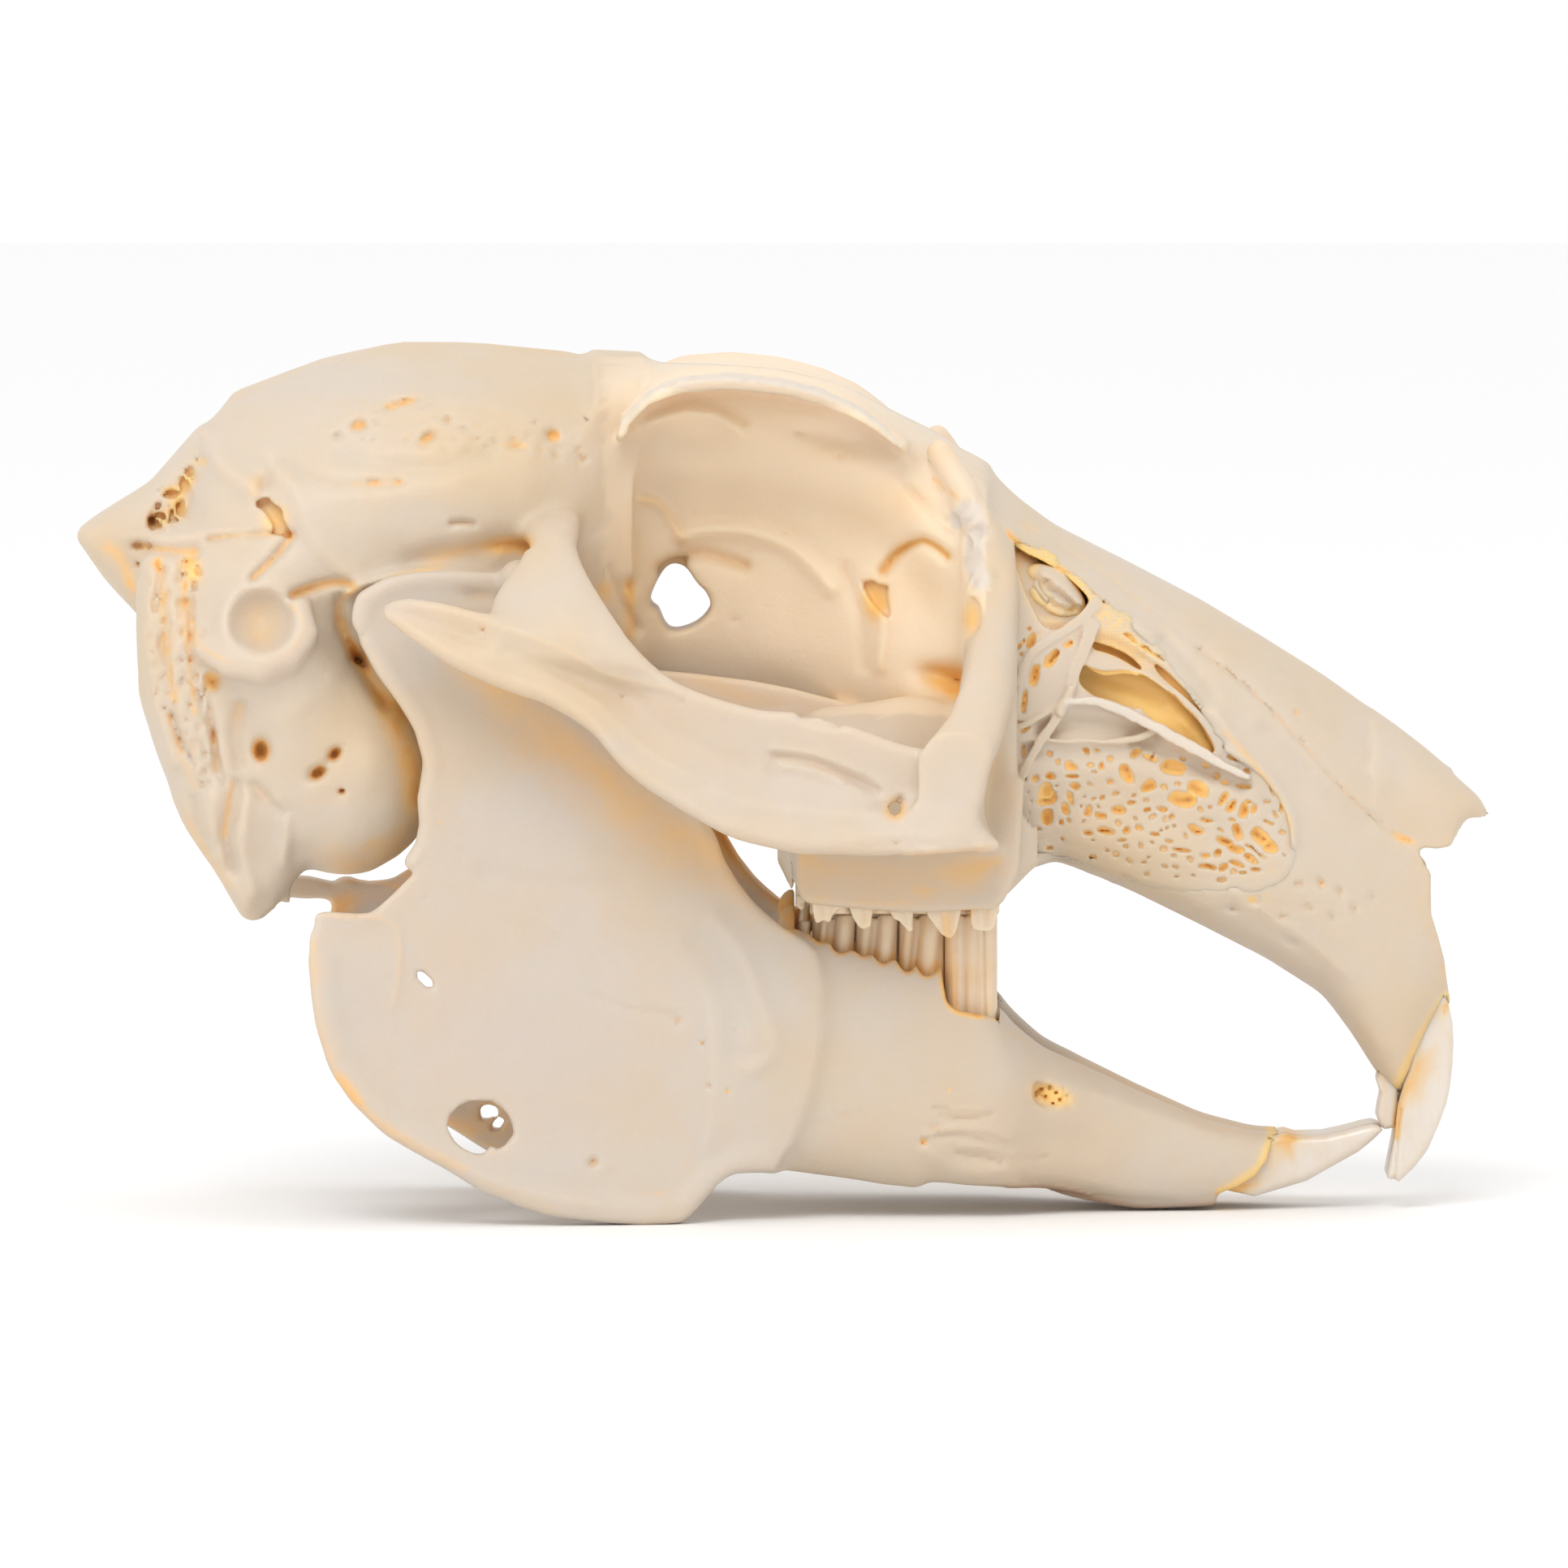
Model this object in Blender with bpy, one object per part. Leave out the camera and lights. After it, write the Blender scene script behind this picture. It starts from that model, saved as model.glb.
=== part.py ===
"""Rabbit skull with its lower jaw in place, metres, +Z up.

+X points to the snout, +Y to the animal's left, the middle plane is Y = 0.
Outlines are read off a side drawing of the right side. Its grid unit is GRID
millimetres on the middle plane, and it is drawn from DRAW_DIST away and from
DRAW_PITCH above, so a reading is carried to the depth its feature really has.
"""
import math

import bmesh
import bpy
from mathutils import Vector

# ---------------------------------------------------------------- dimensions
MM = 0.001
GRID = 0.0462            # mm for one unit of the side drawing
DRAW_MID = 966.0         # middle of the drawing, across and down
DRAW_DIST = 1100.0       # mm from the eye to the middle plane
DRAW_PITCH = math.radians(3.7)
MID_HEIGHT = 23.95       # mm, height of the middle of the drawing

GAP = 0.30               # mm between pieces that touch
ARCH_HALF_WIDTH = 19.9   # mm, cheek arch from the middle plane
BRAIN_HALF_WIDTH = 13.6
CONDYLE_Y = 13.2         # mm, jaw joint from the middle plane
JAW_PIVOT = (640.0, 716.0)
RAMUS_THICK = 1.3
HEAD_RADIUS = 1.2        # mm, round joint head of the jaw

UPPER_CHEEK_Y = (6.3, 10.9)
LOWER_CHEEK_Y = (4.6, 8.2)
INCISOR_WIDTH = 2.5

BONE = (0.79, 0.70, 0.56, 1.0)
TOOTH = (0.80, 0.76, 0.70, 1.0)
CHEEK_TOOTH = (0.76, 0.66, 0.53, 1.0)

# ------------------------------------------------------------------- helpers
for ob in list(bpy.data.objects):
    bpy.data.objects.remove(ob, do_unlink=True)


def collection(name):
    col = bpy.data.collections.new(name)
    bpy.context.scene.collection.children.link(col)
    return col


PARTS = collection("european_rabbit_skull")
CUTTERS = collection("cutters")

_FWD = Vector((0.0, math.cos(DRAW_PITCH), -math.sin(DRAW_PITCH)))
_UP = Vector((0.0, math.sin(DRAW_PITCH), math.cos(DRAW_PITCH)))
_EYE = Vector((0.0, 0.0, MID_HEIGHT)) - DRAW_DIST * _FWD


def at(u, v, y, s=-1):
    """Point in mm for a drawing reading (u, v) at distance y from the middle
    plane, on the right side for s = -1 or mirrored to the left for s = +1."""
    ray = (_FWD + Vector((1, 0, 0)) * ((u - DRAW_MID) * GRID / DRAW_DIST)
           + _UP * ((DRAW_MID - v) * GRID / DRAW_DIST))
    t = (-abs(y) - _EYE.y) / ray.y
    p = _EYE + ray * t
    return Vector((p.x, abs(y) * s, p.z))


def solid(name, verts, faces, col=CUTTERS):
    """Closed mesh object from points in mm."""
    me = bpy.data.meshes.new(name)
    bm = bmesh.new()
    vs = [bm.verts.new(Vector(v) * MM) for v in verts]
    for f in faces:
        bm.faces.new([vs[i] for i in f])
    bmesh.ops.recalc_face_normals(bm, faces=bm.faces)
    bmesh.ops.triangulate(bm, faces=bm.faces)
    if bm.calc_volume(signed=True) < 0:
        bmesh.ops.reverse_faces(bm, faces=bm.faces)
    bm.to_mesh(me)
    bm.free()
    ob = bpy.data.objects.new(name, me)
    col.objects.link(ob)
    if col is CUTTERS:
        ob.hide_render = True
        ob.display_type = 'WIRE'
    return ob


def loft(name, rings, col=CUTTERS):
    """Skin over a row of rings with the same number of points, ends capped."""
    n = len(rings[0])
    verts = [p for r in rings for p in r]
    faces = []
    for k in range(len(rings) - 1):
        a, b = k * n, (k + 1) * n
        for i in range(n):
            j = (i + 1) % n
            faces.append((a + i, a + j, b + j, b + i))
    faces.append(tuple(range(n))[::-1])
    faces.append(tuple(range((len(rings) - 1) * n, len(rings) * n)))
    return solid(name, verts, faces, col)


def arch_ring(u, v_top, v_mid, v_bot, w, et=2.0, eb=2.0, n=5):
    """Full-width cross section: half an oval above v_mid, half below, each
    with its own squareness (2 is an ellipse, larger is boxier)."""
    x, zt = at(u, v_top, 0).x, at(u, v_top, 0).z
    zm, zb = at(u, v_mid, 0).z, at(u, v_bot, 0).z
    right = []
    for k in range(n + 1):
        a = math.pi / 2 * (1 - k / n)
        right.append((w * math.cos(a) ** (2 / et), zm + (zt - zm) * math.sin(a) ** (2 / et)))
    for k in range(1, n + 1):
        a = math.pi / 2 * k / n
        right.append((w * max(math.cos(a), 0.0) ** (2 / eb), zm + (zb - zm) * math.sin(a) ** (2 / eb)))
    ring = [Vector((x, -y, z)) for y, z in right]
    ring += [Vector((x, y, z)) for y, z in right[1:-1][::-1]]
    ring[0].y = 0.0
    ring[len(right) - 1].y = 0.0
    return ring


def body_loft(name, stations, n=5):
    return loft(name, [arch_ring(*s[:5], *(s[5:7] if len(s) > 5 else (2, 2)), n=n)
                       for s in stations])


def plate(name, outline, y_of, thick, s, col=CUTTERS):
    """Flat outline from the drawing, set at the depth y_of(u) and given a
    thickness towards the middle plane."""
    outer = [at(u, v, y_of(u), s) for u, v in outline]
    inner = [p - Vector((0, s * thick, 0)) for p in outer]
    n = len(outer)
    faces = [tuple(range(n)), tuple(range(n, 2 * n))[::-1]]
    faces += [(i, (i + 1) % n, n + (i + 1) % n, n + i) for i in range(n)]
    return solid(name, outer + inner, faces, col)


def ball(name, centre, radii, seg=14, rings=9):
    bpy_me = bpy.data.meshes.new(name)
    bm = bmesh.new()
    bmesh.ops.create_uvsphere(bm, u_segments=seg, v_segments=rings, radius=1.0)
    for v in bm.verts:
        v.co = Vector((centre[0] + v.co.x * radii[0], centre[1] + v.co.y * radii[1],
                       centre[2] + v.co.z * radii[2])) * MM
    bm.to_mesh(bpy_me)
    bm.free()
    ob = bpy.data.objects.new(name, bpy_me)
    CUTTERS.objects.link(ob)
    ob.hide_render = True
    ob.display_type = 'WIRE'
    return ob


def oval(centre, axis_a, axis_b, n=8):
    return [centre + axis_a * math.cos(2 * math.pi * k / n) + axis_b * math.sin(2 * math.pi * k / n)
            for k in range(n)]


def rod(name, p, q, r_p, r_q, n=14):
    """Straight round rod or cone between two points."""
    d = (q - p).normalized()
    a = d.orthogonal().normalized()
    b = d.cross(a)
    return loft(name, [oval(p, a * r_p, b * r_p, n), oval(q, a * r_q, b * r_q, n)])


def boolean(target, tool, operation):
    mod = target.modifiers.new(operation.lower(), 'BOOLEAN')
    mod.operation = operation
    mod.solver = 'EXACT'
    mod.object = tool
    dg = bpy.context.evaluated_depsgraph_get()
    me = bpy.data.meshes.new_from_object(target.evaluated_get(dg))
    target.modifiers.clear()
    target.data = me


def clean(ob, keep, dist=0.02):
    """Close hairline slivers that the cuts leave, and thin out flat areas."""
    bm = bmesh.new()
    bm.from_mesh(ob.data)
    bmesh.ops.remove_doubles(bm, verts=bm.verts, dist=dist * MM)
    bmesh.ops.dissolve_degenerate(bm, edges=bm.edges, dist=0.4 * dist * MM)
    bmesh.ops.triangulate(bm, faces=bm.faces)
    bm.to_mesh(ob.data)
    bm.free()
    mod = ob.modifiers.new("thin_out", 'DECIMATE')
    mod.ratio = keep
    mod.use_collapse_triangulate = True


def smooth(vals, n):
    """Values along a smooth curve through a short list of keys."""
    out = []
    m = len(vals) - 1
    for k in range(n):
        t = k / (n - 1) * m
        i = min(int(t), m - 1)
        f = t - i
        p0, p1 = vals[max(i - 1, 0)], vals[i]
        p2, p3 = vals[i + 1], vals[min(i + 2, m)]
        out.append(tuple(0.5 * (2 * b + (c - a) * f + (2 * a - 5 * b + 4 * c - d) * f * f
                                + (3 * b - a - 3 * c + d) * f ** 3)
                         for a, b, c, d in zip(p0, p1, p2, p3)))
    return out


def material(name, colour, rough):
    mat = bpy.data.materials.new(name)
    mat.use_nodes = True
    bsdf = mat.node_tree.nodes["Principled BSDF"]
    bsdf.inputs["Base Color"].default_value = colour
    bsdf.inputs["Roughness"].default_value = rough
    bsdf.inputs["Metallic"].default_value = 0.0
    return mat


SIDES = (("right", -1), ("left", 1))

# ------------------------------------------------------- lumps of the cranium
lumps = []
# braincase: (u, top, widest, bottom, half width, squareness above, below)
braincase = body_loft("braincase", [
    (214, 650, 760, 880, 8.6, 2.4, 2.6),
    (244, 560, 730, 890, 10.8, 2.3, 2.6),
    (270, 501, 710, 888, 11.9, 2.2, 2.4),
    (334, 474, 670, 880, 12.6, 2.1, 2.2),
    (405, 447, 630, 870, 13.2, 2.0, 2.1),
    (480, 430, 610, 862, BRAIN_HALF_WIDTH, 2.0, 2.0),
    (570, 428, 600, 855, 13.4, 2.0, 1.9),
    (650, 435, 600, 845, 12.0, 2.0, 1.9),
    (720, 441, 600, 838, 9.6, 2.0, 1.9),
    (780, 443, 590, 832, 7.4, 2.1, 1.8),
])
lumps.append(body_loft("frontal_roof", [
    (740, 443, 520, 660, 8.2, 2.2, 2.0),
    (800, 447, 520, 650, 7.0, 2.6, 1.7),
    (880, 449, 520, 650, 7.0, 3.0, 1.6),
    (960, 455, 530, 660, 7.4, 3.0, 1.6),
    (1040, 474, 550, 680, 8.0, 3.0, 1.7),
    (1110, 512, 590, 720, 8.6, 2.8, 1.8),
    (1165, 538, 640, 800, 9.0, 2.6, 2.0),
    (1215, 578, 700, 900, 9.3, 2.6, 2.4),
]))
lumps.append(body_loft("orbital_septum", [
    (735, 560, 660, 846, 7.2, 2.0, 2.0),
    (780, 560, 640, 850, 4.6, 2.0, 2.2),
    (830, 560, 620, 858, 3.2, 2.0, 2.4),
    (900, 560, 620, 872, 2.9, 2.0, 2.4),
    (980, 570, 640, 890, 3.6, 2.0, 2.4),
    (1050, 590, 700, 930, 5.2, 2.0, 2.4),
    (1110, 600, 760, 990, 7.0, 2.0, 2.6),
    (1170, 620, 800, 1050, 8.6, 2.2, 3.0),
    (1225, 640, 820, 1076, 9.4, 2.4, 3.2),
]))
lumps.append(body_loft("snout", [
    (1205, 568, 800, 1072, 9.6, 2.5, 3.2),
    (1255, 614, 830, 1070, 9.8, 2.4, 3.4),
    (1300, 647, 850, 1058, 9.4, 2.4, 3.4),
    (1390, 692, 900, 1095, 8.7, 2.3, 3.2),
    (1480, 739, 940, 1139, 8.0, 2.3, 3.0),
    (1560, 787, 980, 1179, 7.3, 2.3, 2.8),
    (1630, 831, 1040, 1224, 6.4, 2.3, 2.6),
    (1668, 858, 1080, 1275, 5.8, 2.3, 2.6),
    (1697, 879, 1110, 1322, 5.3, 2.3, 2.6),
    (1725, 899, 1110, 1356, 4.9, 2.3, 2.6),
    (1756, 922, 1090, 1292, 4.6, 2.3, 2.4),
    (1787, 950, 1060, 1238, 4.2, 2.3, 2.2),
]))
# shield of the occiput with its blunt hind boss
lumps.append(body_loft("occipital_boss", [
    (97, 652, 657, 664, 2.2, 2.4, 2.0),
    (109, 641, 660, 684, 4.2, 2.6, 2.2),
    (140, 621, 668, 728, 4.9, 2.8, 2.4),
    (184, 594, 680, 790, 5.6, 2.8, 2.4),
    (245, 524, 680, 800, 7.0, 2.6, 2.4),
    (300, 505, 660, 800, 8.0, 2.4, 2.4),
]))
# joined palate between the cheek teeth
lumps.append(body_loft("palate", [
    (1136, 1000, 1050, 1088, 6.6, 4.0, 4.0),
    (1190, 1000, 1050, 1086, 6.6, 4.0, 4.0),
    (1246, 1000, 1040, 1074, 6.4, 4.0, 4.0),
]))

for side, s in SIDES:
    # tooth-bearing bone, its swelling forms the floor of the orbit
    rings = []
    for u, v0, v1, y0, y1 in ((962, 905, 1064, 6.4, 10.6), (976, 884, 1110, 5.9, 11.6),
                              (1070, 868, 1121, 5.6, 11.8), (1150, 868, 1124, 5.6, 11.8),
                              (1204, 880, 1120, 5.4, 11.5), (1234, 900, 1112, 5.2, 10.9),
                              (1252, 930, 1090, 5.2, 10.2), (1278, 960, 1062, 5.4, 9.4)):
        m0, m1 = v0 + (v1 - v0) * 0.22, v1 - (v1 - v0) * 0.12
        ym = (y0 + y1) / 2
        rings.append([at(u, v1, y0 + 0.5, s), at(u, v1, y1 - 0.7, s), at(u, m1, y1, s),
                      at(u, m0, y1 - 0.3, s), at(u, v0, ym + 1.0, s), at(u, v0, ym - 1.0, s),
                      at(u, m0, y0, s), at(u, m1, y0, s)])
    lumps.append(loft("alveolar_" + side, rings))

    # cheek arch
    rings = []
    for u, v0, v1, y, t in ((472, 748, 757, 18.6, 0.35), (486, 740, 770, 18.8, 0.55),
                            (508, 736, 790, 19.1, 0.75), (553, 745, 819, 19.5, 0.85),
                            (600, 762, 845, 19.7, 0.9), (671, 778, 866, ARCH_HALF_WIDTH, 1.0),
                            (730, 788, 902, ARCH_HALF_WIDTH, 1.0), (776, 795, 952, 19.7, 0.95),
                            (830, 838, 993, 19.5, 0.9), (900, 866, 1031, 19.2, 0.9),
                            (985, 878, 1051, 18.9, 0.95), (1070, 890, 1054, 18.7, 1.1),
                            (1148, 900, 1052, 18.5, 1.3), (1200, 930, 1044, 18.3, 1.3),
                            (1229, 1008, 1042, 17.9, 0.7)):
        a, b = at(u, v0, y, s), at(u, v1, y, s)
        mid, half = (a + b) / 2, (a - b) / 2
        rings.append([mid + half * c + Vector((0, s * d * t, 0)) for c, d in
                      ((1, 0.45), (0.55, 1), (-0.55, 1), (-1, 0.45),
                       (-1, -0.45), (-0.55, -1), (0.55, -1), (1, -0.45))])
    lumps.append(loft("arch_" + side, rings))

    # front root of the arch, a wall across the front of the orbit
    rings = []
    for y, u0, u1, v0, v1 in ((7.6, 1176, 1262, 640, 1062), (9.8, 1182, 1260, 690, 1060),
                              (12.4, 1186, 1254, 770, 1052), (15.4, 1176, 1248, 815, 1048),
                              (17.6, 1140, 1238, 860, 1046), (19.2, 1110, 1222, 905, 1042)):
        um, uh = (u0 + u1) / 2, (u1 - u0) / 2
        vm, vh = (v0 + v1) / 2, (v1 - v0) / 2
        rings.append([at(um + uh * a, vm + vh * b, y, s) for a, b in
                      ((-0.6, -1), (0.6, -1), (1, -0.8), (1, 0.8), (0.6, 1), (-0.6, 1),
                       (-1, 0.8), (-1, -0.8))])
    lumps.append(loft("arch_front_root_" + side, rings))

    # hind root of the arch, dropping from the side of the braincase
    rings = []
    for y, hind, fore, tz, ty in ((10.6, (622, 664), (722, 640), 1.3, 0.2),
                                  (13.6, (640, 674), (708, 670), 1.1, 0.4),
                                  (16.2, (630, 708), (714, 700), 0.8, 0.7),
                                  (18.4, (604, 752), (744, 752), 0.5, 0.9),
                                  (ARCH_HALF_WIDTH - 0.2, (592, 800), (786, 815), 0.4, 0.85)):
        a, b = at(*hind, y, s), at(*fore, y, s)
        rings.append(oval((a + b) / 2, (b - a) / 2, Vector((0, s * ty, tz)), 10))
    lumps.append(loft("arch_hind_root_" + side, rings))

    # supraorbital wing with a free point behind and a shorter one in front
    rings = []
    for u, y_in, y_out, v_out, t in ((764, 10.2, 11.6, 521, 0.4), (780, 9.3, 12.1, 500, 0.6),
                                     (803, 7.8, 12.9, 479, 0.7), (838, 4.6, 13.6, 466, 0.75),
                                     (900, 4.4, 14.0, 462, 0.75), (960, 4.4, 14.0, 468, 0.75),
                                     (1012, 4.6, 13.7, 481, 0.75), (1060, 5.2, 13.0, 501, 0.7),
                                     (1094, 6.8, 12.2, 526, 0.6), (1118, 8.0, 11.5, 550, 0.45)):
        rim = at(u, v_out, y_out, s) - Vector((0, 0, 0.45))
        root = Vector((rim.x, s * y_in, rim.z - 0.5 * (y_out - y_in) * 0.12))
        z = Vector((0, 0, t))
        side_in = Vector((0, -s * 0.3, 0))
        rings.append([rim + z * 0.6, rim - z * 0.6 + Vector((0, -s * 0.3, 0)), (rim + root) / 2 - z * 1.3,
                      root - z * 1.6 + side_in, root + z * 0.7 + side_in, (rim + root) / 2 + z * 0.7])
    lumps.append(loft("supraorbital_" + side, rings))

    # knob of the tear bone on the front rim of the orbit
    c = at(1196, 690, 10.4, s)
    lumps.append(ball("lacrimal_" + side, c, (0.9, 1.6, 2.3), 8, 6))

    # ear bulla, ear tube, mastoid with the process behind it
    c = at(412, 948, 8.2, s)
    lumps.append(ball("bulla_" + side, c, (4.8, 4.1, 5.8), 14, 9))
    lumps.append(rod("ear_tube_" + side, at(384, 900, 8.6, s), at(326, 772, 13.6, s), 3.3, 2.9, 12))
    rings = []
    for v, u0, u1, y0, y1 in ((650, 205, 300, 6.5, 10.2), (700, 176, 310, 6.4, 12.2),
                              (780, 172, 320, 6.2, 12.8), (860, 178, 330, 6.0, 12.6),
                              (940, 202, 345, 6.0, 12.0), (1010, 229, 365, 6.6, 11.6),
                              (1064, 264, 376, 7.4, 11.0), (1096, 284, 352, 8.2, 10.6),
                              (1127, 301, 326, 8.9, 9.9)):
        um, uh = (u0 + u1) / 2, (u1 - u0) / 2
        ym, yh = (y0 + y1) / 2, (y1 - y0) / 2
        rings.append([at(um + uh * a, v, ym + yh * b, s) for a, b in
                      ((-1, -0.5), (-0.6, -1), (0.6, -1), (1, -0.5), (1, 0.5), (0.5, 1),
                       (-0.5, 1), (-1, 0.5))])
    lumps.append(loft("mastoid_" + side, rings))

    # rounded joint head beside the great hole of the occiput
    c = at(226, 850, 4.6, s)
    lumps.append(ball("occipital_condyle_" + side, c, (2.1, 1.7, 2.8), 10, 7))

    # thin wings under the base of the skull, behind the palate
    lumps.append(plate("pterygoid_" + side,
                       [(1150, 1070), (1150, 900), (960, 840), (700, 815), (690, 880), (716, 955),
                        (760, 992), (800, 968), (900, 960), (1000, 985), (1060, 1040)],
                       lambda u: 4.6, 1.1, s))

cranium = braincase
cranium.name = "cranium"
CUTTERS.objects.unlink(cranium)
PARTS.objects.link(cranium)
cranium.hide_render = False
cranium.display_type = 'TEXTURED'
for lump in lumps:
    boolean(cranium, lump, 'UNION')

# ---------------------------------------------------------- cuts in the cranium
cuts = []
cuts.append(body_loft("brain_cavity", [
    (262, 640, 740, 838, 6.6, 2.0, 2.2),
    (310, 530, 700, 838, 10.4, 2.0, 2.2),
    (400, 478, 640, 836, 11.8, 2.0, 2.0),
    (480, 460, 615, 830, 12.2, 2.0, 1.9),
    (570, 458, 605, 822, 12.0, 2.0, 1.8),
    (650, 466, 600, 812, 10.5, 2.0, 1.8),
    (710, 476, 590, 790, 8.2, 2.0, 1.8),
    (756, 492, 585, 720, 5.6, 2.0, 1.8),
    (830, 510, 560, 620, 4.0, 2.0, 2.0),
]))
cuts.append(rod("great_hole", at(60, 788, 0), at(330, 788, 0), 3.6, 3.6, 16))
cuts.append(body_loft("nasal_cavity", [
    (1218, 650, 830, 1030, 7.2, 2.2, 3.0),
    (1270, 668, 850, 1030, 7.8, 2.2, 3.0),
    (1340, 700, 870, 1032, 7.6, 2.2, 3.0),
    (1420, 742, 900, 1060, 7.0, 2.2, 2.8),
    (1500, 786, 930, 1080, 6.4, 2.2, 2.6),
    (1580, 834, 960, 1092, 5.6, 2.2, 2.4),
    (1640, 870, 985, 1096, 4.8, 2.2, 2.2),
    (1700, 908, 1010, 1120, 4.0, 2.2, 2.2),
    (1750, 944, 1035, 1150, 3.5, 2.2, 2.2),
    (1800, 980, 1065, 1168, 3.2, 2.2, 2.2),
    (1900, 1050, 1130, 1210, 3.2, 2.2, 2.2),
]))
# everything in front of the premaxilla and below the tip of the nose
cuts.append(plate("nose_opening",
                  [(1752, 1046), (1754, 1066), (1763, 1078), (1763, 1126), (1773, 1158), (1780, 1180),
                   (1786, 1232), (1960, 1250), (1960, 940), (1850, 1022), (1802, 1034), (1791, 1042),
                   (1773, 1045)], lambda u: 12.0, 24.0, -1))
# passage from the nose to the throat, between the tooth rows
cuts.append(body_loft("choana", [
    (1250, 960, 985, 1010, 3.2, 3.0, 3.0),
    (1180, 940, 965, 990, 3.2, 3.0, 3.0),
    (1120, 930, 1000, 1080, 3.3, 3.0, 3.0),
    (1040, 930, 1000, 1120, 3.3, 3.0, 3.0),
    (960, 925, 1000, 1120, 3.3, 3.0, 3.0),
]))
LATE = [body_loft("nasal_tip", [
    (1721, 897, 990, 1030, 4.5, 2.3, 2.4),
    (1768, 935, 1000, 1052, 4.4, 2.3, 2.4),
    (1790, 953, 1005, 1046, 4.0, 2.3, 2.2),
    (1806, 967, 990, 1014, 3.3, 2.3, 2.0),
    (1822, 981, 998, 1010, 2.4, 2.2, 2.0),
    (1835, 1003, 1010, 1016, 1.0, 2.0, 2.0),
], n=4)]
nose_hollow = body_loft("nasal_tip_hollow", [
    (1700, 915, 1015, 1100, 3.6, 2.2, 2.2),
    (1768, 960, 1030, 1096, 3.4, 2.2, 2.2),
    (1800, 984, 1040, 1090, 2.9, 2.2, 2.2),
    (1850, 1030, 1060, 1090, 1.6, 2.2, 2.2),
], n=4)
SEPTUM = plate("nasal_septum", [(1210, 640), (1300, 668), (1420, 724), (1560, 808), (1650, 868),
                                (1640, 960), (1600, 1110), (1500, 1100), (1380, 1056),
                                (1280, 1040), (1210, 1048)], lambda u: 0.45, 0.9, -1)
optic = at(840, 736, 0)
cuts.append(rod("optic_hole", optic + Vector((0, -9, 0.5)), optic + Vector((0, 9, -0.5)), 1.75, 1.75, 12))
for side, s in SIDES:
    # rounded seat for the joint head of the jaw
    head = at(*JAW_PIVOT, CONDYLE_Y, s)
    cuts.append(rod("jaw_seat_" + side, head - Vector((0, 2.0, 0)), head + Vector((0, 2.0, 0)),
                    HEAD_RADIUS + 0.38, HEAD_RADIUS + 0.38, 14))
    cuts.append(rod("ear_bore_" + side, at(378, 888, 8.9, s), at(318, 754, 14.4, s), 1.3, 1.55, 12))
    cuts.append(plate("cheek_window_upper_" + side,
                      [(1244, 664), (1283, 690), (1344, 740), (1325, 768), (1282, 766), (1260, 716)],
                      lambda u: 14.0, 9.5, s))
    cuts.append(plate("cheek_window_lower_" + side,
                      [(1330, 829), (1382, 827), (1427, 843), (1478, 894), (1496, 927), (1443, 900),
                       (1376, 868), (1340, 850)], lambda u: 14.0, 9.5, s))
    cuts.append(body_loft("palate_slot_" + side, [(1262, 1000, 1060, 1120, 0.8, 3, 3),
                                                  (1300, 1000, 1060, 1160, 1.2, 3, 3),
                                                  (1480, 1040, 1120, 1240, 1.1, 3, 3),
                                                  (1540, 1060, 1140, 1280, 0.6, 3, 3)], n=2))
    for v in cuts[-1].data.vertices:
        v.co.y += s * 1.75 * MM

# --------------------------------------------------------------------- teeth
teeth = []


def cheek_tooth(name, s, ua, ub, y0, y1, v_root, v_crown_in, v_crown_out, upper, grow=0.0):
    """Prism with a fold down its side, worn to a slope across the jaw."""
    g = grow / GRID
    ua, ub, y0, y1 = ua - g, ub + g, y0 - grow, y1 + grow
    um, yr = (ua + ub) / 2, (y1 - y0)
    fold_u = (ub - ua) * 0.10
    prof = [(ua, y0 + 0.25 * yr), (ua + fold_u, y0), (um, y0 + 0.07 * yr), (ub - fold_u, y0),
            (ub, y0 + 0.25 * yr), (ub, y1 - 0.2 * yr), (ub - fold_u * 1.6, y1),
            (um + fold_u * 0.6, y1 - 0.02 * yr), (um, y1 - 0.10 * yr), (um - fold_u * 0.6, y1 - 0.02 * yr),
            (ua + fold_u * 1.6, y1), (ua, y1 - 0.2 * yr)]
    roots, crowns = [], []
    for u, y in prof:
        f = (y - y0) / yr
        roots.append(at(u, v_root, y, s))
        crowns.append(at(u, v_crown_in + (v_crown_out - v_crown_in) * f, y, s))
    return loft(name, [roots, crowns], CUTTERS if grow else PARTS)


def trough(name, s, ua, ub, y0, y1, va, vb):
    """One straight socket for a row of cheek teeth, clear of them all round."""
    g = GAP / GRID
    box = [(ua - g, y0 - GAP), (ub + g, y0 - GAP), (ub + g, y1 + GAP), (ua - g, y1 + GAP)]
    return loft(name, [[at(u, v, y, s) for u, y in box] for v in (va, vb)])


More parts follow.
